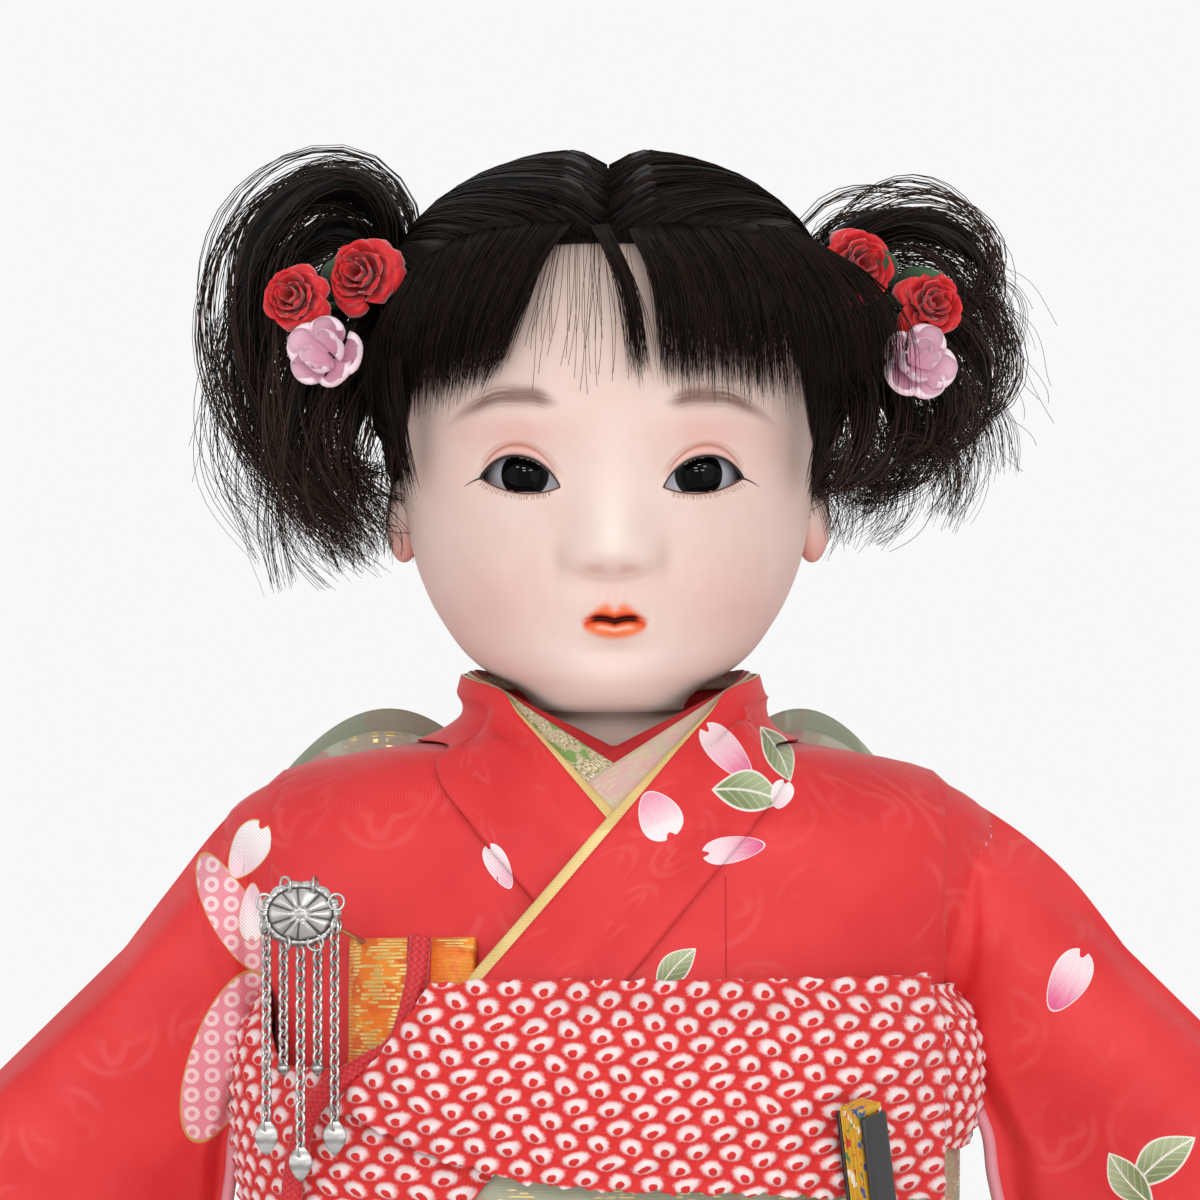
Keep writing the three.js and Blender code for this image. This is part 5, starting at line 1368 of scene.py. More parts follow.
@dataclass
class Collars:
    """Four bands round the neck, each crossed left over right in front."""

    width: float = 19.0
    gold: float = 1.9
    brocade: float = 9.0
    red: float = 12.4
    edge_x: float = 24.0
    seam_x: float = 32.6
    shift: tuple[float, float] = (-1.5, 0.4)
    turn_share: tuple[float, float] = (2.4 / 14, 4.2 / 14)
    layer: float = 0.4
    level: float = 0.45
    side_z: float = 326.0
    end_z: float = 268.0
    lean: tuple[float, float] = (0.748, 0.664)

    def _line(self, z: Array) -> Array:
        """X of the kimono collar's own edge at a height, in front."""
        return self.edge_x - (self.side_z - z) * self.lean[1] / self.lean[0]

    def _curves(self, out: float, shift: float) -> tuple[list, ...]:
        """Edge, outer seam and inner edge as stations of (angle, height) from nape to front end.

        Args:
            out: How far out the layer lies.
            shift: How far aside its front lies.

        Returns:
            Three lists of stations.
        """
        top, neck = self.side_z, FORM.neckline
        z, low = np.linspace(top - 3.2, self.end_z, 12), np.linspace(neck - 0.2, self.end_z, 12)
        wide = self.red * np.clip((top - 2.8 - z) / 23.2, 0.03, 1)
        turned = [[(180, top - 3.7), (135, top - 2.2), (95, top - 1.2)],
                  [(180, neck - 1), (135, neck - 1), (95, neck + 0.1)],
                  [(180, top - 2.8), (135, top - 1.4), (95, top - 0.4)]]
        front = [(self._line(z), z), (np.minimum(self._line(low) + self.width / self.lean[0], self.seam_x),
                                      low),
                 (self._line(z) - self.lean[0] * wide, z + self.lean[1] * wide)]
        return tuple([(math.radians(a), h) for a, h in t] + list(zip(FORM.angle_at(x + shift, h, out), h))
                     for t, (x, h) in zip(turned, front))

    def chart(self, s: Array, across: Array, out: Sequence[float]) -> tuple[Array, Array]:
        """Angle and height at a share s along the band, minus for the right, and a distance across it."""
        w = np.asarray(across)[..., None]
        sides = []
        for far, shift in zip(out, self.shift):
            ways = []
            for straight in (False, True):
                edge, seam, inside = (through([((FORM.girth(h)[0] + far) * math.sin(a) if straight else a, h)
                                               for a, h in c], np.abs(s))
                                      for c in self._curves(far, shift))
                ways.append(np.where(w >= 0, lerp(edge, seam, w / self.width),
                                     lerp(edge, inside, -w / self.red)))
            turned, flat = ways
            flat[..., 0] = FORM.angle_at(flat[..., 0], flat[..., 1], far)
            sides.append(lerp(turned, flat, ease(np.abs(s), *self.turn_share)[..., None]))
        at = np.where(s[..., None] < 0, *sides)
        return np.where(s < 0, -at[..., 0], at[..., 0]), at[..., 1]

    def _band(self, low: float, high: float, levels: tuple[float, float], ends: tuple[float, float],
              rows: int = 14) -> Shape:
        """One band between two distances across, at its own level of the stack on either side."""
        v, u = mesh_grid(rows, 360)
        across = lerp(low, high, v)
        s = lerp(-ends[0] - 0.14 * np.clip(across / self.width, 0, 1), ends[1] + 0 * u, u)
        foot = 1.1
        heights = [foot + self.level * k for k in levels]
        angle, z = self.chart(s, across, heights)
        up = lerp(heights[0], heights[1], ease(s, -0.14, 0.14))
        up = lerp(up, foot - 0.7 * ease(z, 303, 311),
                  np.where(s < 0, ease(across, 4, 13), ease(across, 9, 18)))
        up = up + 0.06 * ripple(s * 14 + across * 0.1, 11)
        soft = 0.3 + 0.7 * (1 - np.abs(2 * v - 1) ** 5)
        rise = ease(across, 3, 12)
        outer, inner = FORM.out(angle, z, up + self.layer * soft, rise), FORM.out(angle, z, up, rise)
        uv = girth_uv(outer)
        uv[..., 1] += across
        front = outer[..., 1] < 6
        return Shape().wall(outer[:, ::-1], inner[:, ::-1], uv=uv[:, ::-1], side=s[:, ::-1],
                            print_x=np.where(front, outer[..., 0], 900.0)[:, ::-1], print_z=outer[:, ::-1, 2])

    def build(self) -> None:
        """Makes the dark red, brocade, gold and kimono bands."""
        dark = PlainSilk("dark red silk", 0.6, sheen=0.1, colour="b50d14", deep="980810").make()
        woven = SidedBrocade("collar brocade", 0.5, bump=0.5, depth=0.15).make()
        gold = PlainSilk("gold piping silk", 0.42, sheen=0.1, metallic=0.15, colour="e6cc8b", deep="c9a65c",
                         pitch=0.7).make()
        silk = bpy.data.materials["bodice silk"]
        bands = (("red_collar", self._band(-self.red, 0.0, (0, 1), (0.58, 0.6)), dark, "dark_red_cloth"),
                 ("brocade_collar", self._band(-self.brocade, 3.0, (2, 3), (0.58, 0.6)), woven, "brocade"),
                 ("gold_collar", self._band(-self.gold, 3.0, (4, 6), (0.6, 1.0)), gold, "gold_piping"),
                 ("kimono_collar", self._band(0.0, self.width, (5, 7), (0.6, 1.0), 26), silk, "red_kimono"))
        for node, shape, material, slot in bands:
            seat_sheet(shape, node + "_band", slot, node, "folded", "bodice_cloth", material)


@dataclass
class Obi:
    """The obi, its tie-dyed scarf with a folded flap, its cord, and the bow at the back."""

    knot_wide: float = 6.1
    knot_tall: float = 3.0
    knot_rise: float = 1.5
    cord_radius: float = 2.4
    cord_z: float = 212.74
    bow_span: float = 70.0
    bow_depth: float = 17.0
    bow_wall: float = 2.0
    bow_rise: float = 59.0
    back_y: float = 48.1
    back_gap: float = 0.6
    knot_half: float = 9.0

    def shibori(self, u: Array, v: Array, seed: int) -> tuple[Array, dict[str, Array]]:
        """Tied knots in staggered rows on a slightly warped lattice.

        Args:
            u: Millimetres along the cloth.
            v: Millimetres up the cloth.
            seed: Sets the small disorder of the rows.

        Returns:
            Height of the knots from 0 to 1, and the lattice's own coordinates as point values.
        """
        x = (u + 0.7 * ripple(v * 0.5 + 0.05 * u, seed)) / self.knot_wide
        y = (v + 0.5 * ripple(u * 0.16, seed + 1)) / self.knot_tall
        height = np.zeros_like(x)
        for step in (-1, 0, 1):
            row = np.floor(y) + step
            p, q = np.mod(x + 0.5 * row, 1.0) - 0.5, y - row - 0.5
            near = [np.clip(1 - np.hypot((p - at[0]) / wide, (q - at[1]) / tall), 0, 1)
                    for at, wide, tall in KNOT_FORMS.values()]
            height = np.maximum(height, 0.75 * near[0] ** 0.7 + 0.25 * near[1])
        return height, {"knot_x": x, "knot_y": y}

    def build(self) -> None:
        """Makes every piece of the obi."""
        brocade = BrocadeCloth("obi brocade", 0.55, bump=0.5, depth=0.15, ground="a9ad94", blotch="b39c86",
                               second="bcb89c", scale=0.06, amount=0.57, pitch=0.55, cover=0.95).make()
        tied = ShiboriSilk("tie-dyed crepe", 0.72, sheen=0.2, bump=0.35, depth=0.12).make()
        gold = BraidedSilk("gold cord", 0.45, sheen=0.2, colour="d9b556", deep="8d6420", bump=0.8, depth=0.4,
                           strands=5, pitch=3.0).make()
        self._band(brocade)
        self._scarf(tied)
        self._flap(tied)
        self._cord(gold)
        bow = BrocadeCloth("bow brocade", 0.6, bump=0.5, depth=0.15, ground="aeaa96", blotch="b58f86",
                           second="b7bda8", scale=0.085, amount=0.54, pitch=0.55, cover=0.98).make()
        lining = BrocadeCloth("bow lining", 0.65, bump=0.4, depth=0.15, ground="9aa08c", blotch="a39884",
                              second="b0b59f", scale=0.07, amount=0.5, pitch=0.6, cover=1.2).make()
        self._bow(bow, lining)

    def _band(self, brocade: Material) -> None:
        """The obi itself, wound once, with a line where its folded edge lies."""
        v, turn = ring_grid(40, 241)
        z = lerp(FORM.waist, FORM.obi_top, v)
        soft = 0.35 * np.abs(2 * v - 1) ** 8
        line = 0.3 * hump(z - 231, 0.5)
        outer, inner = FORM.out(turn, z, FORM.obi_out - soft - line), FORM.out(turn, z, 0 * z + FORM.gap)
        shape = Shape().wall(outer, inner, wrap=True, uv=girth_uv(outer, True))
        seat_sheet(shape, "obi_cloth", "obi_brocade", "obi", "stretched", "torso", brocade)

    def _scarf(self, tied: Material) -> None:
        """The scarf round the obi's top, puffed, dipping under the purse."""
        v, turn = ring_grid(72, 561)
        degrees = signed_degrees(turn)
        dip = window(degrees, -76, -64, -20, -8)
        top = 272 - 13.6 * dip
        low = FORM.obi_top - 32 + 17.5 * (1 - window(degrees, -95, -80, -34, -14))
        z = lerp(low, top, v) + 0.6 * ripple(turn * 9, 3) * (1 - v)
        inner = lerp(FORM.scarf_in, lerp(FORM.scarf_in, FORM.gap + 0.4, (1 - dip) ** 4), ease(v, 0.8, 1.0))
        puff = 4.2 * np.sin(math.pi * np.clip(v, 0.0, 1.0)) ** 0.6
        knot, lattice = self.shibori(turn * 57, z, 4)
        crush = 0.5 * ripple(turn * 6 + z * 0.05, 21)
        edge = window(v, 0.0, 0.06, 0.94, 1.0)
        out = inner + 0.8 + (puff - 1.2 + crush) * edge + self.knot_rise * knot * (0.35 + 0.65 * edge)
        outer, back = FORM.out(turn, z, out), FORM.out(turn, z, inner)
        shape = Shape().wall(outer, back, wrap=True, uv=girth_uv(outer, True), **lattice)
        seat_sheet(shape, "scarf_cloth", "shibori", "obi_scarf", "gathered", "obi_cloth", tied)

    def _flap(self, tied: Material) -> None:
        """The scarf's loose end folded over the front to a point on the right."""
        v, u = mesh_grid(104, 330)
        x = lerp(-46.0, 57.0, u)
        top = np.interp(x, [-46, -39, -30, 60], [253.5, 261.6, 273.6, 273.2]) + 0.8 * ease(x, -30, -20)
        low = np.interp(x, [-46, -39, -30, -15, 0, 25, 60], [252, 249, 244.8, 241, 239.6, 238.8, 236])
        ragged = 0.5 * ripple(x * 0.9, 8)
        z = lerp(low + ragged, top + 0.4 * ripple(x * 0.7, 9), v)
        inner = lerp(FORM.flap_in, lerp(FORM.flap_in, FORM.gap + 4.2, ease(x, -18, -6)), ease(v, 0.75, 1.0))
        knot, lattice = self.shibori(x * 1.05 - 0.35 * z, z + 0.1 * x, 17)
        puff = 3.0 * np.sin(math.pi * v) ** 0.6 * window(u, 0, 0.15, 0.92, 1)
        fold = 0.7 * ripple(z * 0.35 - x * 0.12, 31) * window(v, 0.0, 0.2, 0.8, 1.0)
        edge = window(v, 0.0, 0.05, 0.95, 1.0) * window(u, 0.0, 0.02, 0.98, 1.0)
        out = (inner + 1.0 + np.maximum(puff - 1.0 + fold, 0) * edge
               + self.knot_rise * knot * (0.4 + 0.6 * edge))
        angle = FORM.angle_at(x, np.full_like(x, FORM.obi_top - 5), FORM.flap_in)
        outer, back = FORM.out(angle, z, out, 0.0), FORM.out(angle, z, inner, 0.0)
        shape = Shape().wall(outer, back, uv=girth_uv(outer), **lattice)
        seat_sheet(shape, "scarf_flap_cloth", "shibori", "obi_scarf_flap", "folded", "scarf_cloth", tied)

    def _cord(self, gold: Material) -> None:
        """A braided loop over the fan and the bow's tail, knotted in front."""
        turn = circle(360)
        degrees = signed_degrees(turn)
        z = np.full(360, self.cord_z)
        fan = Fan()
        at = float(np.degrees(FORM.angle_at(fan.x_at(self.cord_z), self.cord_z, FORM.obi_out + fan.half)))
        over = fan.reach(self.cord_z) + 0.3 - FORM.obi_out
        lift = (over * window(degrees, at - 32, at - 9, at + 13, at + 44)
                + 5.2 * ease(np.abs(degrees), 128, 146))
        loop = FORM.out(turn, z, FORM.obi_out + 0.45 + self.cord_radius + lift)
        sides = circle(16)
        twist = 36 * turn[:, None]
        braid = np.abs(np.sin(2.5 * sides + twist)) * np.abs(np.sin(2.5 * sides - twist))
        shape = Shape().tubes(loop[None], (self.cord_radius * (0.9 + 0.16 * braid))[None], 16, closed=True,
                              across=(0, 0, 1))
        ball = np.linspace(0, TAU, 90)
        middle = loop[0] + (0, -1.2, 0)
        wrap = stack(3.6 * np.cos(ball), 1.9 * np.sin(2 * ball) - 0.6, 2.6 * np.sin(ball)) + middle
        turns = stack(1.5 * np.sin(3 * ball), -1.6 - 1.2 * np.cos(ball), 3.4 * np.cos(ball)) + middle
        shape.tubes(np.stack([wrap, turns]), 1.55, 14, across=(0.3, 1, 0.2))
        place(shape.build("obi_cord_braid", gold), Body.DOLL, "gold_cord", "obi_cord")

    def _bow(self, brocade: Material, lining: Material) -> None:
        """Two hollow loops of folded brocade, higher at the back, the knot between them and the tail."""
        back = self.back_y + self.back_gap
        start = self.knot_half + 0.3
        v, turn = ring_grid(60, 121)
        middle = (start + self.bow_span) / 2
        for side in Side:
            def loop(inset: float) -> Array:
                """An oval ring drawn up between two arched edges."""
                x = middle + ((self.bow_span - start) / 2 - inset) * np.cos(turn)
                y = back + self.bow_depth / 2 + (self.bow_depth / 2 - inset) * np.sin(turn)
                arch = np.sin(math.pi * np.clip((x - 10) / 60, 0, 1)) ** 0.8
                high = np.sin(math.pi * np.clip((x - 10) / (60 if side is Side.RIGHT else 50), 0, 1)) ** 0.8
                low, top = (FORM.obi_top - 4 - 16 * arch,
                            FORM.obi_top + 30 + (self.bow_rise - 31 + 1.9 * np.sin(turn)) * high)
                roll = 0.8 * (np.abs(2 * v - 1) ** 8) * (1 if inset == 0 else -1)
                crease = 0.5 * ripple(x * 0.25 + v * 5, 13 + side.value)
                y = y + roll * np.sign(np.sin(turn)) * -0.5 + 0.5 * crease * np.sin(math.pi * v)
                return stack(side.value * x, y, lerp(low, top, v))
            outer, inner = loop(0.0), loop(self.bow_wall)
            if side is Side.RIGHT:
                outer, inner = outer[:, ::-1], inner[:, ::-1]
            shape = Shape().wall(outer, inner, wrap=True, uv=girth_uv(outer, True), back=1)
            seat_sheet(shape, f"bow_{side.word}_cloth", "obi_brocade", f"bow_{side.word}_loop", "folded",
                       "obi_cloth", brocade, lining)
        v, turn = ring_grid(48, 97)
        polar = math.pi * lerp(0.01, 0.99, v)
        pinch = 1 + 0.05 * np.sin(9 * turn + 2 * np.cos(polar)) * np.sin(polar)
        knot = stack(self.knot_half * np.sin(polar) * np.cos(turn) * pinch,
                     back + 9.35 * (1 + np.sin(polar) * np.sin(turn) * pinch),
                     FORM.obi_top + 12 - 19 * np.cos(polar))
        shape = Shape().grid(knot, wrap=True, uv=girth_uv(knot, True))
        piece = shape.build("bow_knot_cloth", brocade)
        place(piece, Body.DOLL, "obi_brocade", "bow_knot")
        v, u = mesh_grid(90, 49)
        z = FORM.obi_top - 4 - 90 * v
        half = lerp(self.knot_half - 0.5, 22.0, ease(FORM.obi_top - 4 - z, 2, 40))
        level = np.maximum(z, FORM.waist)
        angle = math.pi - np.arcsin((2 * u - 1) * half / FORM.girth(level)[0])
        clear = lerp(FORM.obi_out, FORM.scarf_out, ease(z, FORM.obi_top - 34, FORM.obi_top - 23)) + FORM.gap
        wave = 0.4 * np.sin(7 * u + 3 * v) * ease(v, 0.3, 0.9)
        soft = 2.6 * (1 - 0.5 * np.abs(2 * u - 1) ** 8)
        sheet = [FORM.out(angle, level, clear + extra) for extra in (0.5 + soft + wave, 0.5 + wave)]
        for part in sheet:
            part[..., 2] = z
        shape = Shape().wall(sheet[0][::-1, ::-1], sheet[1][::-1, ::-1], uv=girth_uv(sheet[0][::-1, ::-1]))
        seat_sheet(shape, "bow_tail_cloth", "obi_brocade", "bow_tail", "hung", "obi_cloth", brocade)


@dataclass
class Fan:
    """The folded fan tucked in on the left."""

    length: float = 60.6
    width: float = 5.2
    leaf: float = 4.4
    guard: float = 1.1
    top_z: float = 256.6

    @property
    def half(self) -> float:
        """Half the diagonal of the closed fan's section."""
        return math.hypot(self.width, self.leaf + 2 * (self.guard + 0.3)) / 2

    def _ends(self) -> tuple[Array, Array]:
        """The lower and upper end of the fan's middle line."""
        ends = []
        for x, z, out in ((50.0, self.top_z - self.length, FORM.obi_out + 1.2),
                          (43.5, self.top_z, FORM.flap_out + 1.5)):
            out += self.half
            ends.append(FORM.front(x, z, out))
        return ends[0], ends[1]

    def x_at(self, z: float) -> float:
        """X of the middle line at a height."""
        low, high = self._ends()
        return float(lerp(low[0], high[0], (z - self.top_z + self.length) / self.length))

    def reach(self, z: float) -> float:
        """How far out from the kimono the fan's far side is at a height."""
        share = (z - self.top_z + self.length) / self.length
        return lerp(FORM.obi_out + 1.2, FORM.flap_out + 1.5, share) + 2 * self.half

    def build(self) -> None:
        """Makes the pleated leaf and its two lacquered guards in the fan's leaning frame."""
        low, high = self._ends()
        up = unit(high - low)
        face = np.array((0.62, -0.785, 0.0))
        face = unit(face - up * (face @ up))
        edge = np.cross(face, up)
        basis = np.stack([edge, face, up])
        pleat = np.linspace(-self.leaf / 2, self.leaf / 2, 45)
        depth = self.width / 2 - 0.55 * (1 - np.abs(2 * np.mod(pleat / self.leaf * 8, 1.0) - 1))
        outline = np.concatenate([np.stack([depth, pleat], 1), np.stack([-depth, pleat], 1)[::-1]])
        levels = np.array([0.02, 1, 1, 0.02])[:, None]
        heights = np.array([0.0, 0.0, self.length, self.length])[:, None]
        local = stack(outline[:, 0] * levels, outline[:, 1] * levels, heights)
        paper = FanPaper("gilt fan paper", 0.4, metallic=0.2).make()
        black = Lacquer("fan lacquer", 0.18, coat=0.6, bump=0.1, depth=0.2, colour="0a090b",
                        worn="1d1210").make()
        leaf = Shape().grid(local @ basis + low, wrap=True).build("fan_pleats", paper, smooth=False)
        place(leaf, Body.FAN, "fan_paper", "fan_leaf")
        turn = circle(48)
        for name, way in (("front", 1), ("back", -1)):
            x = self.width / 2 * np.sign(np.cos(turn)) * np.abs(np.cos(turn)) ** 0.35
            y = (self.guard / 2 * np.sign(np.sin(turn)) * np.abs(np.sin(turn)) ** 0.35
                 + way * (self.leaf / 2 + 0.3 + self.guard / 2))
            z = np.array([0, 0, 0.3, self.length - 1.5, self.length - 1.2, self.length - 1.2])[:, None]
            s = np.array([0.02, 0.9, 1, 1, 0.9, 0.02])[:, None]
            local = stack(x * s, way * (self.leaf / 2 + 0.3 + self.guard / 2) * (1 - s) + y * s, z)
            stick = Shape().grid(local @ basis + low, wrap=True).build(f"fan_{name}_stick", black)
            place(stick, Body.FAN, "fan_lacquer", f"fan_{name}_guard")


@dataclass
class Purse:
    """The brocade purse with its pressed plate, chains, braided cord and tassel."""

    x: float = -45.6
    low_z: float = 259.0
    width: float = 22.0
    height: float = 21.0
    thickness: float = 4.6
    plate_width: float = 13.6
    plate_height: float = 11.0
    hang_y: float = -44.0
    cord_radius: float = 1.6
    tassel: float = 32.0
    chain: float = 34.0
    short_chain: float = 0.62

    @property
    def plate(self) -> tuple[float, float]:
        """X and Z of the plate's middle."""
        return self.x - 5.9, self.low_z + self.height + 5.2

    def cord_route(self) -> Array:
        """The cord's middle line: over the purse, down beside it and over the scarf."""
        over_scarf, over_purse, over_cord = (FORM.scarf_out + 2.2, FORM.gap + self.thickness + 1.9,
                                             FORM.obi_out + 9.0)
        top, obi = self.low_z + self.height, FORM.obi_top
        route = [(-32.5, top - 0.5, over_purse), (-33.5, top - 9, over_purse), (-36.5, obi + 5, over_purse),
                 (-41.8, obi + 1.6, over_purse + 1.2), (-48, obi - 2.4, over_scarf),
                 (-51.5, obi - 7, over_scarf),
                 (-53.5, obi - 14, over_scarf), (-54.5, obi - 22, over_scarf), (-54.8, obi - 31, over_cord)]
        points = [FORM.front(x, z, out) for x, z, out in route]
        return spaced(points, 150)

    def build_cord(self) -> None:
        route = self.cord_route()
        red = BraidedSilk("red braid", 0.55, sheen=0.3, colour="d4222a", deep="ad151b", bump=0.4, depth=0.15,
                          strands=7, pitch=1.2).make()
        sides = circle(24)
        along = np.linspace(0, 1, 150)[:, None]
        lobes = 0.62 + 0.38 * np.abs(np.cos(sides)) ** 0.7
        weave = 0.07 * np.sin(4 * sides + 120 * along) * np.sin(4 * sides - 120 * along)
        radius = self.cord_radius * 1.12 * (lobes + weave)
        shape = Shape().tubes(route[None], radius[None], 24, across=(0.2, 1.0, 0.15))
        cord = shape.build("purse_cord_braid", red)
        place(cord, Body.DOLL, "red_cord", "purse_cord")
        end = route[-1] - (0, 0, self.cord_radius)
        tassel = self._tassel(end).build("purse_tassel_threads", red)
        place(tassel, Body.DOLL, "red_cord", "purse_tassel")

    def _tassel(self, end: Array) -> Shape:
        """A turned head with a neck binding, over a skirt of hanging threads."""
        shape = Shape().lathe(end, [(0.02, -6.2), (2.2, -6), (2.5, -4.4), (2.1, -3.8), (2.9, -3), (2.6, -1.6),
                                    (1.2, -0.4), (0.02, -0.2)], 36)
        rng = np.random.default_rng(5)
        many = 90
        turn, share = TAU * rng.random(many), np.sqrt(rng.random(many))
        t = np.linspace(0, 1, 12)
        spread = share[:, None] * (2.0 + 2.0 * ease(t, 0.0, 0.6))
        paths = stack(end[0] + spread * np.cos(turn)[:, None], end[1] + spread * np.sin(turn)[:, None],
                      end[2] - 4.6 - (self.tassel - 5.2) * t * (1 - 0.03 * rng.random(many)[:, None]))
        return shape.tubes(paths, 0.42, 6, across=(1, 0.2, 0))

    def build(self) -> None:
        """Makes the purse, its binding, the plate and the five chains."""
        orange = BrocadeCloth("orange brocade", 0.5, bump=0.6, depth=0.18, ground="e5761b", blotch="e98a24",
                              second="dd6412", thread="e8c878", pitch=0.7, cover=0.82, scale=0.14,
                              amount=0.5).make()
        red = BraidedSilk("purse binding", 0.55, sheen=0.3, colour="d0212a", deep="a8141a", pitch=1.3).make()
        v, u = mesh_grid(60, 66)
        z = lerp(self.low_z, self.low_z + self.height, v)
        out = FORM.gap + self.thickness
        angle = FORM.angle_at(self.x + u * self.width, z, out)
        edges = window(u, 0, 0.16, 0.84, 1) * window(v, 0, 0.16, 0.84, 1)
        thick = self.thickness * (0.62 + 0.38 * edges ** 0.6)
        outer, inner = FORM.out(angle, z, FORM.gap + thick), FORM.out(angle, z, 0 * z + FORM.gap)
        shape = Shape().wall(outer, inner, uv=girth_uv(outer),
                             plain=ease(u, 0.6, 0.63) * (1 - ease(v, 0.9, 0.93)))
        t = np.linspace(0.02, 0.99, 40)
        for k in range(4):
            strip = np.full(40, 11.5 + 1.05 * k)
            level = lerp(self.low_z, self.low_z + self.height, t)
            path = FORM.out(FORM.angle_at(self.x + strip, level, out), level, out + 0.1 + 0 * t)
            shape.tubes(path[None], 0.55, 10, slot=1, across=(1, 0, 0.1))
        purse = shape.build("purse_brocade", orange, red)
        place(purse, Body.DOLL, "orange_brocade", "chest_purse")
        silver = OldSilver("old silver", 0.26, metallic=1.0, bump=0.25, depth=0.06).make()
        self._plate(silver)
        self._chains(silver)

    def _plate(self, silver: Material) -> None:
        """An oval disc pressed with a many-petalled flower, a beaded rim and rings for the chains."""
        px, pz = self.plate
        v, turn = ring_grid(44, 161)
        r = lerp(0.01, 1.0, v)
        ribs = np.abs(np.cos(5 * turn + 0.5 * np.sin(3 * turn)))
        relief = 1.5 * (1 - r ** 2) + 0.4 * ribs * window(r, 0.12, 0.3, 0.7, 0.82) + 0.35 * hump(r, 0.12)
        relief += 0.45 * hump(r - 0.9, 0.06) * (0.7 + 0.3 * np.cos(28 * turn))
        hollow = window(r, 0.12, 0.3, 0.7, 0.82) * (1 - ribs) ** 2 + hump(r - 0.8, 0.04)
        edge = 1 + 0.025 * np.cos(14 * turn) * ease(r, 0.8, 1)
        x, z = (px + self.plate_width / 2 * r * edge * np.cos(turn),
                pz + self.plate_height / 2 * r * edge * np.sin(turn))
        face, back = stack(x, self.hang_y - 0.1 - relief, z), stack(x, self.hang_y + 0.6 + 0 * r, z)
        shape = Shape().wall(face, back, wrap=True, hollow=hollow)
        rings = []
        for k in range(8):
            way = TAU * (k + 0.5) / 8
            rings.append(self._ring((px + 6.5 * math.cos(way), self.hang_y - 0.5, pz + 5.2 * math.sin(way)),
                                    1.35, 1.35, 0.3 + k))
        shape.tubes(np.array(rings), 0.27, 8, closed=True, across=(0.37, 0.7, 0.6))
        seat = FORM.out(FORM.angle_at(self.x + 5, 280.0, 2.6), np.array(280.0), np.array(2.9))
        pin = spaced([(px + 3, self.hang_y + 0.3, pz - 1), (px + 6, self.hang_y + 4, pz - 2.5),
                      (seat[0], seat[1], seat[2] - 1.0), (seat[0] + 6, seat[1] - 2.5, seat[2] - 3.0)], 40)
        shape.tubes(pin[None], 0.5, 10, across=(0.1, 0.3, 1))
        place(shape.build("pressed_plate", silver), Body.DOLL, "silver_metal", "ornament_plate")

    def _ring(self, at: Sequence[float], wide: float, tall: float, turn: float) -> Array:
        """A closed oval ring about a vertical line, turned about it."""
        a = circle(14)
        x = wide * np.cos(a)
        return stack(at[0] + x * math.cos(turn), at[1] + x * math.sin(turn), at[2] + tall * np.sin(a))

    def _chains(self, silver: Material) -> None:
        """Curb chains of oval links turned a quarter each, with a leaf pendant or a drop."""
        px, pz = self.plate
        bodies = (Body.OUTER_CHAINS, Body.OUTER_CHAINS, Body.MIDDLE_CHAIN, Body.INNER_CHAINS,
                  Body.INNER_CHAINS)
        for k, body in enumerate(bodies):
            x = px + (k - 2) * self.plate_width * 0.84 / 4
            edge = max(abs(x - 0.95 - px), abs(x + 0.95 - px))
            top = pz - self.plate_height / 2 * math.sqrt(1 - (2 * edge / self.plate_width) ** 2) - 0.3
            long = k % 2 == 0
            length = self.chain if long else self.chain * self.short_chain
            count = int(length / 1.62)
            at = top - 0.9 - np.arange(count) * (length - 1.2) / (count - 1)
            rings = np.array([self._ring((x, self.hang_y, z), 0.82, 1.22, 0.75 if n % 2 else -0.75)
                              for n, z in enumerate(at)])
            shape = Shape().tubes(rings, 0.3, 6, closed=True, across=(0.37, 0.9, 0.2))
            a, turn = ring_grid(26, 33)
            if long:
                wide = 1.95 * np.sin(math.pi * a ** 0.85) ** 0.8 + 0.02
                vein = 0.12 * np.cos(16 * a + 3 * np.abs(np.cos(turn)))
                pendant = stack(x + wide * np.cos(turn),
                                self.hang_y + (0.38 + 0.2 * vein) * np.sin(turn) * np.sin(math.pi * a),
                                top - length - 6 * a + 0.9)
            else:
                wide = 1.15 * np.sin(math.pi * a ** 0.7) + 0.02
                pendant = stack(x + wide * np.cos(turn), self.hang_y + wide * np.sin(turn),
                                top - length + 1.2 - 2.6 * a)
            shape.grid(pendant, wrap=True, flip=True, hollow=0.6 * np.abs(np.sin(8 * a)))
            place(shape.build(f"link_chain_{k + 1}", silver), body, "silver_metal", f"chain_{k + 1}")


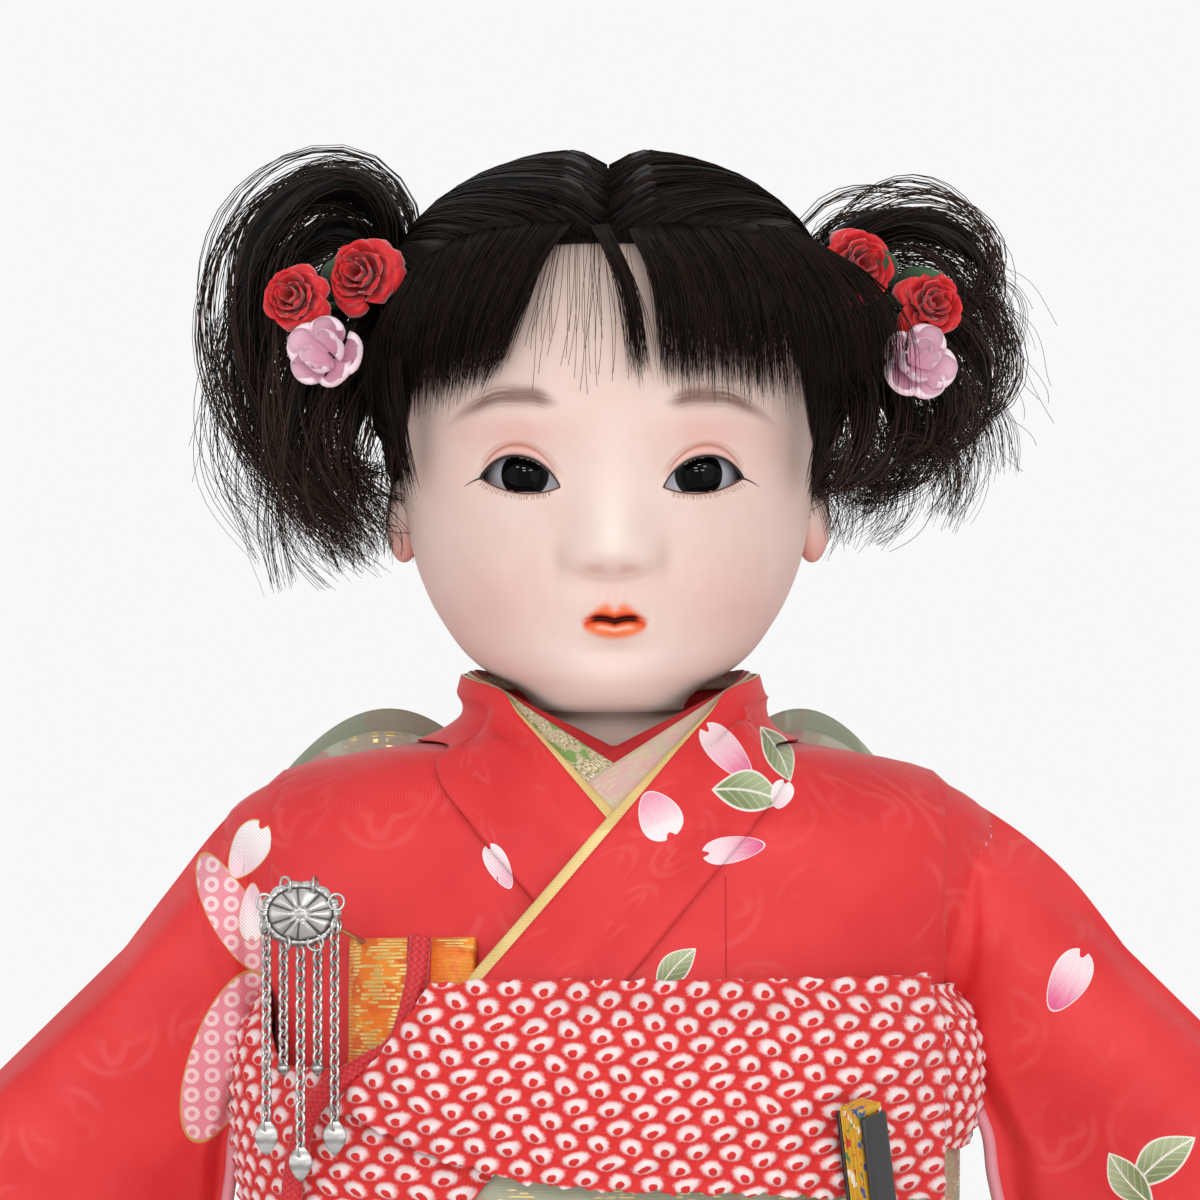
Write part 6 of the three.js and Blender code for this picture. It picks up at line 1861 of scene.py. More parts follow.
@dataclass
class Arms:
    """Forearms with hands, and the long sleeves that hang from them."""

    pivot: tuple[float, float] = (58.0, 284.0)
    drop: float = 42.0
    upper: float = 52.0
    fore: float = 44.0
    sleeve_x: float = 67.7
    cuff: tuple[float, float] = (131.4, 233.8)

    def point(self, side: Side, along: Array, across: Array = 0.0, up: Array = 0.0) -> Array:
        """A point in the arm's own frame: along it, across it in Y and up out of the hand's back."""
        way = math.radians(self.drop)
        cos, sin = math.cos(way), math.sin(way)
        return stack(side.value * (self.pivot[0] + along * cos + up * sin), across,
                     self.pivot[1] - along * sin + up * cos)

    def build(self) -> None:
        """Makes both forearms and both sleeves."""
        skin = PlainSkin("hand finish", 0.5, specular=0.35, bump=0.08).make()
        pink = bpy.data.materials["pink lining"]
        right = (Motif(RINGED, -64.5, 283.5, -60, 24, 8, RING_PINK),
                 Motif(RINGED, -66, 259, 70, 32, 12, RING_PINK),
                 Motif(PETAL, -61.9, 294.6, 60, 11.5, 8, WHITE_GOLD),
                 Motif(PETAL, -61.2, 284.1, 268, 10.7, 5.4, WHITE_GOLD),
                 *spray(-108, 200, 12, 20, GOLD_EDGE), *spray(-104, 142, 12, 80))
        left = (Motif(PETAL, 79, 272, 60, 12, 8), Motif(LEAF, 95.5, 241, 40, 14, 7, LEAF_COLOURS),
                Motif(LEAF, 90, 238, 130, 12, 6, LEAF_COLOURS),
                *spray(112, 205, 12, 50), *spray(104, 146, 12, 10))
        for side, prints in ((Side.RIGHT, right), (Side.LEFT, left)):
            hand = self._hand(side, skin)
            place(hand, f"{side.word}_arm", "skin", f"{side.word}_forearm")
            silk = KimonoSilk(f"{side.word} sleeve silk", sheen=0.1, motifs=prints).make()
            self._sleeve(side, silk, pink)

    def _hand(self, side: Side, skin: Material) -> Piece:
        """Forearm, palm and fingers as round forms, joined by a voxel remesh and smoothed."""
        wrist = self.upper + self.fore
        shape = Shape()
        t = np.linspace(0, 1, 40)
        arm = self.point(side, lerp(self.upper + 0.4, wrist + 5, t))
        shape.tubes(arm[None], lerp(5.6, 4.5, t ** 0.8)[None], 28, across=(0, 1, 0))
        v, turn = ring_grid(28, 33)
        polar = math.pi * lerp(0.02, 0.98, v)
        palm = self.point(side, wrist + 8 - 9 * np.cos(polar), 5.6 * np.sin(polar) * np.cos(turn),
                          3.1 * np.sin(polar) * np.sin(turn))
        shape.grid(palm, wrap=True, flip=side is Side.LEFT)
        paths = [self.point(side, wrist + lerp(10, 24.5 - abs(a), t), a * (1 + 0.1 * t), -1.4 * t ** 2)
                 for a in (-3.9, -1.3, 1.3, 3.9)]
        paths.append(self.point(side, wrist + lerp(3, 14, t), -4 - 4.4 * t ** 0.7, 0 * t - 0.5))
        ends = 1.35 * np.sqrt(np.clip(1 - ((t - 0.5) / 0.5) ** 10, 0.02, 1)) * (1 + 0.06 * np.cos(9 * t))
        shape.tubes(np.array(paths), ends[None], 14, across=(0, 1, 0))
        hand = shape.build(f"{side.word}_hand", skin)
        remesh = hand.modifiers.new("merge", "REMESH")
        remesh.mode, remesh.voxel_size, remesh.use_smooth_shade = "VOXEL", 0.55 * MM, True
        soften = hand.modifiers.new("soften", "SMOOTH")
        soften.iterations, soften.factor = 5, 0.5
        return finish_mesh(hand)

    def _sleeve(self, side: Side, silk: Material, pink: Material) -> None:
        """A long bag hung from its upper fold: two sheets pinched together at fold, hem and outer seam.

        The half thickness is fullest a little below the fold, where the arm lies, and the sheets
        stay apart at the hand opening and along the inner edge below the arm.
        """
        v, u = mesh_grid(122, 92)
        inner = through([(57, 306.6), (57, 284), (57.5, 267), (61, 256), (65, 246), (66, 238), (68, 228),
                         (73, 208), (80, 175), (83.7, 118)], v)
        outer = through([self.cuff, (135.4, 208.8), (137.4, 165.1), (135.4, 108.8)], v)
        at = lerp(inner, outer, u[..., None])
        at[..., 1] += 3.6 * np.sin(math.pi * np.minimum(u / 0.4, 1)) * (1 - ease(v, 0, 0.12))
        at[..., 0] += 3.0 * side.value * ease(at[..., 0], 60, 80)
        x, z = at[..., 0], at[..., 1]
        fold = unit(np.array((self.cuff[0] - self.sleeve_x, self.cuff[1] - FORM.shoulder)))
        below = (x - self.sleeve_x) * fold[1] - (z - FORM.shoulder) * fold[0]
        full = 10 * np.maximum(0, below / 14) * np.exp(1 - below / 14)
        hem, top = 1 - ease(v, 0.955, 1.0), ease(v, 0.0, 0.045) ** 0.5
        cuff = window(v, 0.03, 0.06, 0.2, 0.23)
        seam = np.maximum(1 - ease(u, 0.955, 1.0), 0.55 * cuff)
        head = 12 * np.sqrt(np.maximum(0, 1 - ((z - 284) / 17.5) ** 2)) * (1 - ease(u, 0, 0.45))
        half = np.maximum((2.2 + full) * np.maximum(window(u, -0.02, 0.1, 0.9, 1.02),
                                                    np.where(u < 0.5, 0.6, 0.3)), head)
        girth, front, back = FORM.girth(z)
        wrap = np.sqrt(np.maximum(0, 1 - (x / girth) ** 2)) * ease(z, 258, 264)
        half = 0.06 + half * hem * top * seam
        crease = ripple(u * 9 - v * 2 + 0.4 * side.value, 40 + side.value) * ease(v, 0.1, 0.6)
        sway = 5 * v ** 1.3 * np.sin(TAU * (1.2 * u + 0.1)) + 0.9 * crease * hem
        pucker = 0.6 * ripple((x - z) * 0.16, 50) * window(v, 0.02, 0.1, 0.3, 0.5)
        stitch = 0.5 * hump(x - np.interp(z, [262, 276, 288, 300], [60, 68, 71.5, 68]),
                            0.5) * ease(z, 262, 270)
        shape = Shape()
        uv = np.stack([at[..., 0] * side.value, at[..., 1]], axis=-1)
        for way in (-1, 1):
            for inset, slot in ((0.0, 0), (0.7, 1)):
                depth = (np.maximum(half - inset, 0.02)
                         + (pucker - stitch if way < 0 else 0) * hem * seam * top)
                depth = np.maximum(depth, ((front if way < 0 else back) * wrap + 1.0 - inset) * (wrap > 0))
                sheet = stack(side.value * x, sway + way * depth, z)
                turned = (way < 0) == (side is Side.LEFT)
                shape.grid(sheet, uv=uv, slot=slot, flip=turned == (slot == 0),
                           print_x=side.value * at[..., 0], print_z=at[..., 1])
        roll = stack(side.value * x[:, 0], sway[:, 0] - half[:, 0], z[:, 0])[z[:, 0] < 250]
        shape.tubes(roll[None], 1.1, 8, slot=1, across=(0, 1, 0.1))
        piece = shape.build(f"{side.word}_sleeve_cloth", silk, pink)
        stand_for(piece, "red_kimono", f"{side.word}_sleeve")
        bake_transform(piece, Body.DOLL.value, f"{side.word}_arm", start=(side.value * 0.062, 0, 0.284),
                 end=(side.value * 0.09, 0, 0.284))


HEAD_WIDTH = row_curve([(0, .36), (1.4, .375), (3.7, .44), (7, .595), (10.4, .7), (14.5, .782), (19, .855),
                        (26, .93), (32, .965), (42, .99),
                        (55, 1), (70, .975), (80, .86), (87, .65), (91.5, .34), (93, .06)])
HEAD_FRONT = row_curve([(0, .56), (1.4, .69), (3.7, .78), (7, .845), (10.4, .875), (19, .9), (32, .93),
                        (42, .95), (55, 1), (65, 1), (75, .91), (83, .7), (89, .42), (93, .06)])
HEAD_BACK = row_curve([(0, .3), (10, .44), (18, .65), (26, .81), (36, .93), (48, 1), (60, 1), (72, .91),
                       (82, .7), (89, .4), (93, .06)])
NOSE_RISE = row_curve([(20, 0), (21.6, .5), (23, 1.9), (25, 3.9), (27.5, 5.3), (30, 5.4), (33, 4.3),
                       (37, 2.6), (41, 1.5), (47, .7), (55, 0)])
NOSE_WIDE = row_curve([(20, 7.0), (25, 6.6), (28, 6.2), (33, 5.6), (40, 5.4), (55, 8)])
BROW_LINE = row_curve([(8, 52), (10.4, 52.6), (13.9, 53.5), (18.5, 53.6), (24, 51.5), (26.6, 49.8), (30, 47)])


@dataclass
class Head:
    """The moulded head: painted face, neck, ears and glass eyes."""

    chin: float = 318.6
    width: float = 36.0
    front: float = 39.0
    back: float = 43.0
    face_x: float = 0.6
    eye_x: float = 15.5
    eye_half: float = 6.75
    iris_x: float = 14.7
    iris_h: float = 40.4

    def form(self, angle: Array, h: Array, out: Array = 0.0) -> Array:
        """The plain head at an angle from the front and a height over the chin, grown by out."""
        depth = np.where(np.cos(angle) > 0, self.front * HEAD_FRONT(h), self.back * HEAD_BACK(h)) + out
        return stack((self.width * HEAD_WIDTH(h) + out) * np.sin(angle), -depth * np.cos(angle),
                     self.chin + h)

    def lids(self, xi: Array) -> tuple[Array, Array]:
        """Heights of the upper and lower lid at a share xi from the inner (-1) to the outer corner (1)."""
        base = lerp(38.1, 39.7, (xi + 1) / 2)
        c = np.clip(np.abs(xi), 0, 1)
        return base + 4.5 * (1 - c ** 2.2) ** 0.8, base - 1.75 * (1 - c ** 2)

    def mouth(self, x: Array) -> tuple[Array, Array, Array, Array]:
        """Share along the mouth, and heights of its upper edge, opening and lower edge."""
        s = (x - 0.5) / 5.8
        c = np.clip(np.abs(s), 0, 1)
        upper = 15.3 + 4.0 * (1 - c ** 1.7) - 1.5 * hump(s, 0.17)
        return (s, upper, 15.5 + 0.5 * np.sin(math.pi * np.minimum(c * 1.15, 1)),
                15.3 - 2.6 * (1 - c ** 2) ** 0.6)

    def relief(self, x: Array, h: Array) -> Array:
        """How far the features stand out: a sum of ridges, bumps and grooves."""
        away = np.abs(x)
        s, _, line, _ = self.mouth(x)
        lip = np.clip(1 - s ** 2, 0, 1)
        r = NOSE_RISE(h - 0.04 * away ** 2) * np.exp(-(away / NOSE_WIDE(h)) ** 2.0)
        r += 0.95 * bell(away, h, (6.2, 25.8), 2.6, 2.7) - 0.45 * bell(away, h, (9.4, 25.4), 1.6, 3.4)
        r -= 0.6 * bell(away, h, (2.8, 24.0), 1.4, 0.9)
        r += 0.22 * bell(away, h, (1.5, 19.8), 0.8, 1.8) - 0.25 * bell(away, h, (0, 19.8), 0.8, 1.8)
        r += 1.5 * bell(x, h, (0.5, 15.6), 6.4, 4.6) + lip * (0.8 * hump(h - 17.3, 1.0)
                                                              + 1.0 * hump(h - 13.8, 1.1))
        r -= 1.7 * np.sqrt(lip) * hump(h - line, 0.5) + 0.7 * bell(x, h, (0.5, 10.3), 5, 1.5)
        r += 1.6 * bell(away, h, (0, 5.5), 7, 4) + 1.2 * bell(away, h, (19, 22), 9, 9)
        r -= 2.2 * bell(away, h, (self.eye_x, 40.2), 8.5, 5) - 0.7 * bell(away, h, (17, 50), 10, 3)
        xi = (away - self.eye_x) / self.eye_half
        upper, lower = self.lids(xi)
        near = 1 - ease(np.abs(xi), 0.85, 1.15)
        r += near * (0.75 * hump(h - upper - 0.7, 0.75) - 0.7 * hump(h - upper - 2.0, 0.4))
        return r + near * 0.35 * hump(h - lower + 0.6, 0.7)

    def skin(self, angle: Array, h: Array) -> Array:
        """The head with its features, pushed out along Y in front."""
        at = self.form(angle, h)
        at[..., 1] -= self.relief(at[..., 0] - self.face_x, h) * np.clip(1.6 * np.cos(angle), 0, 1)
        return at

    def skin_at(self, x: Array, h: Array, out: float = 0.0) -> Array:
        """A point of the face by its X and height, a little in front of the skin."""
        x, h = np.broadcast_arrays(np.asarray(x, float), np.asarray(h, float))
        at = self.skin(np.arcsin(np.clip(x / (self.width * HEAD_WIDTH(h)), -0.99, 0.99)), h)
        at[..., 1] -= out
        return at

    def eye_depth(self, away: Array, h: Array) -> Array:
        """Y of the glass: a round front that leans back with the face outside the iris."""
        middle = self.skin_at(np.array(self.eye_x + self.face_x), np.array(40.4))[1] + 1.0
        dx, dh = away - self.iris_x, h - self.iris_h
        far = np.hypot(dx, dh)
        return middle + 0.5 * ease(far, 2, 7) * dx + far ** 2 / 22

    def build(self) -> None:
        """Makes the head with its paint, the eyes, lid lines and lashes."""
        skin = FaceSkin("painted face", 0.58, specular=0.22, bump=0.06).make()
        lash = PlainSilk("lash paint", 0.6, colour="1d0f0c", deep="120907").make()
        rim = PlainSilk("lid paint", 0.6, colour="6f2b24", deep="562019").make()
        pale = PlainSilk("lower lashes", 0.7, colour="a98577", deep="936f62").make()
        shape = self._face()
        shape.lathe((0, 0, self.chin), [(0.02, -29.3), (9, -29.3), (9, -14), (13, -13.3), (12.6, -4),
                                        (12.8, 2), (14, 6), (0.02, 7)], 64)
        v, turn = ring_grid(24, 33)
        polar = math.pi * lerp(0.01, 0.99, v)
        for side in Side:
            dent = 1 - 0.45 * np.exp(-((np.sin(polar) * np.cos(turn) - 0.2) / 0.3) ** 2) * (np.sin(turn) < 0)
            ear = stack(side.value * (35.5 + 3.2 * np.sin(polar) * np.cos(turn) * dent),
                        4 + 4.6 * np.sin(polar) * np.sin(turn), self.chin + 33 - 7.4 * np.cos(polar))
            shape.grid(ear, wrap=True, flip=side is Side.RIGHT, blush=0.8 * ease(np.cos(polar), -0.3, 0.9))
        self._lines(shape)
        place(shape.build("painted_head", skin, lash, rim, pale), Body.HEAD, "skin", "head")
        glass = GlassEye("blown glass", 0.03, specular=0.08).make()
        for side in Side:
            self._eye(side, glass)

    def _face(self) -> Shape:
        """The skin grid, rows drawn to the lid lines and sunk behind the glass between them."""
        angle = np.radians(np.concatenate([np.linspace(-180, -80, 28, False),
                                           np.linspace(-80, 80, 300, False),
                                           np.linspace(80, 180, 28, False)]))
        rows = np.concatenate([np.linspace(0, 8, 18, False), np.linspace(8, 60, 196, False),
                               np.linspace(60, 93, 22)])
        h, a = np.meshgrid(rows, angle, indexing="ij")
        column = np.arange(len(angle))
        for _ in range(2):
            x = self.form(a, h)[..., 0] - self.face_x
            xi = (np.abs(x) - self.eye_x) / self.eye_half
            front = (np.abs(xi) < 1) & (np.cos(a) > 0)
            for lid in self.lids(xi):
                miss = np.where(front, np.abs(h - lid), 99.0)
                row = np.argmin(miss, axis=0)
                h[row, column] = np.where(miss[row, column] < 0.3, lid[row, column], h[row, column])
        at = self.skin(a, h)
        x = at[..., 0] - self.face_x
        away = np.abs(x)
        xi = (away - self.eye_x) / self.eye_half
        upper, lower = self.lids(xi)
        hole = (np.abs(xi) < 1) & (np.cos(a) > 0) & (h < upper - 1e-4) & (h > lower + 1e-4)
        at[..., 1] = np.where(hole, np.maximum(at[..., 1], self.eye_depth(away, h) + 0.9), at[..., 1])
        paint = self._paint(x, h, xi, upper, lower, np.cos(a) > 0.05)
        middle = np.array((0, 0, self.chin))
        under = lerp(at[:1], middle, np.linspace(0.97, 0.06, 5)[:, None, None])
        over = lerp(at[-1:], at[-1].mean(axis=0), np.array([0.97])[:, None, None])
        spread = {k: np.concatenate([np.repeat(p[:1] * 0, 5, axis=0), p, p[-1:] * 0])
                  for k, p in paint.items()}
        return Shape().grid(np.concatenate([under, at, over]), wrap=True, **spread)

    def _paint(self, x: Array, h: Array, xi: Array, upper: Array, lower: Array,
               front: Array) -> dict[str, Array]:
        """Where each colour of the face lies, from 0 to 1, painted highlight and painted shade among them."""
        away = np.abs(x)
        s, lip_top, line, lip_low = self.mouth(x)
        c = np.clip(1 - s ** 2, 0, 1)
        crease = upper + 1.9 * np.clip(1 - xi ** 2, 0, 1) ** 0.4
        near = 1 - ease(np.abs(xi), 0.8, 1.02)
        brow = BROW_LINE(away)
        thick = 1.4 * window(away, 7.0, 13, 19, 32) + 0.3
        values = {
            # pale: a painted highlight on the nose bridge and tip, and painted light over the chin and jaw.
            "pale": 0.75 * bell(away, h, (0, 31), 4.5, 10) + 0.55 * (1 - ease(h, 2, 16)),
            "blush": (0.34 * bell(away, h, (20, 19), 9, 8) + 0.45 * bell(away, h, (17, 47.5), 9, 3.2)
                      + 0.12 * bell(away, h, (0, 5), 8, 4)
                      + 0.45 * near * window(h, upper, upper + 0.3, crease - 0.4, crease + 0.4)
                      + 0.25 * bell(away, h, (0, 21), 5, 3) + 0.18 * bell(away, h, (27, 40), 5, 9)),
            "shade": (0.3 * bell(away, h, (2.9, 23.8), 1.9, 1.1) + 0.26 * bell(away, h, (0, 24.2), 6.5, 2.0)
                      + 0.2 * bell(away, h, (8.8, 26), 1.3, 3.2) + 0.2 * bell(x, h, (0.5, 11.3), 4, 1.2)),
            "brow": np.exp(-np.abs((h - brow) / thick) ** 2.6) * window(away, 8.0, 12.5, 21, 29.5),
            "brow_along": away, "brow_across": h - brow,
            "crease": 0.85 * near * hump(h - crease, 0.27),
            # A painted highlight along the middle of the lower lip.
            "gleam": 0.5 * hump(h - line + 1.5, 0.3) * ease(c, 0.6, 0.85),
            "lips": (ease(h, lip_low - 0.8, lip_low + 0.7) * (1 - ease(h, lip_top - 1.4, lip_top + 0.6))
                     * (1 - ease(np.abs(s), 0.84, 1.06))),
            "lip_deep": hump(h - line, 1.3),
            "mouth": (1 - ease(np.abs(h - line), 0.3, 0.75)) * ease(c, 0.42, 0.7),
            "lid": near * np.maximum(hump(h - upper, 0.3), 0.45 * hump(h - lower, 0.2)),
        }
        return {k: v if k.startswith("brow_") else np.clip(v, 0, 1) * front for k, v in values.items()}

    def _lines(self, shape: Shape) -> None:
        """The dark upper lid, thin red lower lid, outer lash and fine lower lashes."""
        xi = np.linspace(-1.0, 1.0, 60)
        upper, lower = self.lids(xi)
        rng = np.random.default_rng(3)
        for side in Side:
            x = self.face_x + side.value * (self.eye_x + self.eye_half * xi)
            top, low = self.skin_at(x, upper, 0.05), self.skin_at(x, lower, 0.03)
            shape.tubes(top[None], lerp(0.13, 0.27, ease(xi, -1, 0.5))[None], 8, slot=1, across=(0, 1, 0.1))
            shape.tubes(low[None], 0.13, 8, slot=2, across=(0, 1, 0.1))
            t = np.linspace(0, 1, 12)
            flick = self.skin_at(self.face_x + side.value * (self.eye_x + self.eye_half + 2.8 * t),
                                 39.7 - 1.3 * t ** 1.4, 0.06)
            shape.tubes(flick[None], (0.16 * (1 - 0.8 * t))[None], 8, slot=1, across=(0, 1, 0.1))
            start = np.linspace(-0.75, 0.92, 30)[:, None]
            lean = 0.55 * start + 0.25 + 0.1 * rng.standard_normal((30, 1))
            _, edge = self.lids(start)
            grow = t[None, :7] / t[6] * (0.8 + 0.35 * rng.random((30, 1)))
            hairs = self.skin_at(self.face_x + side.value * (self.eye_x + self.eye_half * start
                                                             + lean * grow), edge - grow, 0.05)
            shape.tubes(hairs, 0.045, 4, slot=3, across=(0, 1, 0.1))

    def _eye(self, side: Side, glass: Material) -> None:
        """A glass shell behind the lids, with its iris where the eye looks ahead."""
        v, u = mesh_grid(60, 80)
        xi = lerp(-1.12, 1.12, u)
        upper, lower = self.lids(np.clip(xi, -1, 1))
        h = lerp(lower - 1.2, upper + 1.0, v)
        away = self.eye_x + self.eye_half * xi
        y = self.eye_depth(away, h)
        x = self.face_x + side.value * away
        face, back = stack(x, y, self.chin + h), stack(x, y + 1.6, self.chin + h)
        if side is Side.RIGHT:
            face, back, away, h, xi = (p[:, ::-1] for p in (face, back, away, h, xi))
        iris = np.hypot(away - self.iris_x, h - self.iris_h)
        # Painted shade in the corners of the eye, strongest at the outer corner; the shader reads it as
        # corner.
        dark = ease(xi, 0.45, 1.0) + 0.5 * ease(xi, -0.75, -1.05)
        shape = Shape().wall(face, back, iris=iris, corner=np.clip(dark, 0, 1))
        place(shape.build(f"{side.word}_glass_eye", glass), Body.HEAD, "glass_eye", f"{side.word}_eye")


# Guides of the fringe from the parting outwards: (x, height over the chin) from root to tip.
RIGHT_FRINGE = [
    [(-5.6, 83.3), (-10.7, 76.5), (-15.8, 65), (-19.7, 55.6)],
    [(-11.6, 84.5), (-17.5, 75.2), (-21.8, 64.1), (-23.8, 53.9)],
    [(-18.4, 83.3), (-24.3, 72.6), (-27.7, 62.4), (-28.6, 52.2)],
    [(-25.2, 81.1), (-30.6, 70.1), (-32.8, 60.7), (-33.3, 51.4)],
    [(-31.1, 77.7), (-36.2, 67.5), (-37.9, 59), (-37.4, 51)],
    [(-34.5, 74.8), (-40.1, 65), (-41.8, 57.3), (-41.1, 52.2)]]
PARTING_LOCK = [[(-3.1, 82.3), (.7, 75.2), (3.4, 66.7), (4.9, 54.8)],
                [(0, 82.6), (3.4, 74.3), (5.8, 66.7), (7.1, 56.5)]]
LEFT_FRINGE = [
    [(3.4, 81.6), (6.8, 74.3), (8.8, 65), (9.5, 55.1)],
    [(8.8, 82.8), (13.9, 73.5), (16.2, 64.1), (16.7, 53.9)],
    [(15.6, 83.3), (21.6, 74.3), (24.5, 64.1), (25.5, 53.1)],
    [(22.4, 83.3), (29.2, 74.3), (32.6, 64.1), (33.7, 52.2)],
    [(28.4, 82.8), (36, 73.5), (40.3, 64.1), (41.1, 53.9)], [(32.6, 81.6), (45.5, 73), (50.5, 65), (51, 54)]]
SIDEBURNS = [[[(-39, 64), (-38, 53), (-35.6, 43.7), (-33.6, 36.4)],
              [(-35.5, 64), (-35, 53), (-34.4, 43.7), (-33.2, 36)]],
             [[(38.5, 57), (37.4, 46.5), (35.8, 40.3), (34.9, 36.4)],
              [(35.8, 57), (35.4, 46.5), (34.8, 40.3), (34.4, 36)]]]
LOCKS = {
    Side.RIGHT: [
        [[2, -3, 11], [7, -7, 19], [15, -11, 19], [23, -13, 12], [27, -15, 0], [28, -15, -15], [26, -14, -28],
         [20, -12, -38]],
        [[4, 1, 8], [12, 1, 12], [20, 1, 6], [25, 1, -6], [25, 0, -22], [21, -2, -35], [16, -5, -45]],
        [[4, -7, 2], [10, -13, 0], [16, -19, -10], [19, -21, -24], [18, -19, -37], [14, -16, -46]],
        [[4, 5, -3], [11, 9, -11], [17, 9, -25], [15, 7, -38]],
        [[3, -5, -5], [7, -11, -15], [9, -14, -28], [8, -11, -40]]],
    Side.LEFT: [
        [[4, -3, 8], [11, -7, 12], [20, -11, 12], [28, -13, 7], [33, -15, -2], [33, -15, -12]],
        [[9, 1, 2], [20, 1, 0], [28, -1, -8], [31, -5, -19], [30, -9, -30]],
        [[7, -7, -3], [16, -13, -9], [23, -17, -18], [25, -17, -28], [22, -15, -38]],
        [[7, 5, -5], [14, 7, -15], [17, 7, -25], [15, 5, -34], [10, 1, -41]],
        [[4, -5, -7], [8, -11, -17], [8, -13, -28], [5, -11, -37], [3, -9, -44]]]}


@dataclass
class Wig:
    """Black hair: a combed cap with a parting, a fringe, and two loose wavy bunches in ties."""

    head: Head = field(default_factory=Head)
    tie_turn: float = 110.0
    tie_h: float = 72.0
    cap_out: float = 4.4
    strand: float = 0.12
    tie_out: float = 3.5
    root_out: float = 6.9

    @property
    def centre(self) -> Array:
        """The point inside the head that the hair is laid out from."""
        return np.array((0.0, 2.0, self.head.chin + 50))

    def outward(self, side: Side) -> Array:
        """The direction out of the head at a tie."""
        return unit(self.base(side, 4.0) - self.base(side, 0.0))

    def project(self, way: Array, out: Array) -> Array:
        """Points out from the plain head along directions from its middle, found by halving steps."""
        low, high = np.full(way.shape[:-1], 5.0), np.full(way.shape[:-1], 80.0)
        for _ in range(34):
            r = (low + high) / 2
            at = self.centre + way * r[..., None]
            h = at[..., 2] - self.head.chin
            depth = np.where(at[..., 1] < 0, self.head.front * HEAD_FRONT(h), self.head.back * HEAD_BACK(h))
            inside = ((at[..., 0] / (self.head.width * HEAD_WIDTH(h))) ** 2
                      + (at[..., 1] / depth) ** 2 < 1) & (h < 93)
            low, high = np.where(inside, r, low), np.where(inside, high, r)
        return self.centre + way * (low + out)[..., None]

    def base(self, side: Side, out: float) -> Array:
        """The middle of a tie, a distance out from the head."""
        return self.head.form(np.radians(side.value * self.tie_turn), np.array(self.tie_h), out)

    def combed(self, side: Side, p: Array, v: Array, out: Array) -> Array:
        """A point of the combed hair: a share v of the way from the rim (at share p round it) to the tie.

        The rim runs back along the parting from the forehead to the nape, then forward along the hairline.
        """
        rim = [(0, 79), (0, 88), (0, 92.6), (180, 90), (180, 72), (180, 45), (180, 19), (135, 22), (114, 30),
               (100, 44), (88, 45), (75, 48), (62, 62), (40, 76), (12, 79), (0, 79)]
        turn, h = np.array(rim, float).T
        turn = np.radians(side.value * turn)
        start = unit(through(unit(self.head.form(turn, h) - self.centre), p))
        end = unit(self.base(side, 0.0) - self.centre)
        wide = np.arccos(np.clip(start @ end, -1, 1))[..., None]
        way = (np.sin((1 - v[..., None]) * wide) * start + np.sin(v[..., None] * wide) * end) / np.sin(wide)
        return self.project(unit(way), out)

    def build(self) -> None:
        """Makes the cap, fringe, ties and bunches."""
        loose = HairFinish("loose hair", 0.42, specular=0.12, bump=0.5, depth=0.15, warm="43322a").make()
        hair = HairFinish("black hair", 0.42, specular=0.07, bump=0.5, depth=0.15).make()
        cap = Shape()
        rng = np.random.default_rng(17)
        for side in Side:
            v, u = mesh_grid(22, 360)
            lump = 0.45 * ripple(u * 90, 5 + side.value) + 0.2 * ripple(u * 400, 9)
            rise = (lerp(0.9, self.cap_out, ease(v, 0.0, 0.14)) + lump * window(v, 0, 0.1, 0.9, 1.0)
                    + 2.0 * ease(v, 0.8, 1.0))
            outer = self.combed(side, u, v * 0.95, rise)
            inner = self.combed(side, u, v * 0.95, 0.5 + 0 * v)
            uv = np.stack([u * 230, v * 70], axis=-1)
            tone = 0.25 + 0.2 * ripple(u * 300, 31)
            if side is Side.LEFT:
                outer, inner, uv, tone = outer[:, ::-1], inner[:, ::-1], uv[:, ::-1], tone[:, ::-1]
            cap.wall(outer, inner, uv=uv, tone=tone)
            many = 560
            p, t = rng.random((many, 1)), np.linspace(0.004, 0.95, 13)[None]
            drift = p + 0.006 * np.sin(5 * t + TAU * rng.random((many, 1)))
            lift = (lerp(1.0, self.cap_out, ease(t, 0, 0.14)) + 0.5 * rng.random((many, 1))
                    + 2.0 * ease(t, 0.8, 1.0))
            paths = self.combed(side, np.clip(drift, 0, 1), np.broadcast_to(t, drift.shape),
                                np.broadcast_to(lift, drift.shape))
            cap.tubes(paths, self.strand, 3, tone=rng.random((many, 1)))
        place(cap.build("combed_cap", hair), Body.HEAD, "hair", "wig_cap")
        place(self._fringe(rng).build("fringe_strands", hair), Body.HEAD, "hair", "fringe")
        silk = BraidedSilk("tie silk", 0.55, sheen=0.2, colour="a0151c", deep="5d070c", bump=0.6,
                           depth=0.3).make()
        for side in Side:
            out = self.outward(side)
            up = unit(np.cross(out, (0, 1, 0.01)))
            a = circle(48)
            middle = self.base(side, self.tie_out) + out * 1.7
            ring = middle + 3.8 * (np.cos(a)[:, None] * up + np.sin(a)[:, None] * np.cross(out, up))
            wrap = 1.7 + 0.12 * np.sin(14 * a)
            tie = Shape().tubes(ring[None], wrap[None], 16, closed=True, across=tuple(out))
            place(tie.build(f"{side.word}_tie_silk", silk), Body.HEAD, "red_cord", f"{side.word}_hair_tie")
            bunch = self._bunch(side, rng).build(f"{side.word}_bunch", loose)
            place(bunch, Body.HEAD, "hair", f"{side.word}_pigtail")

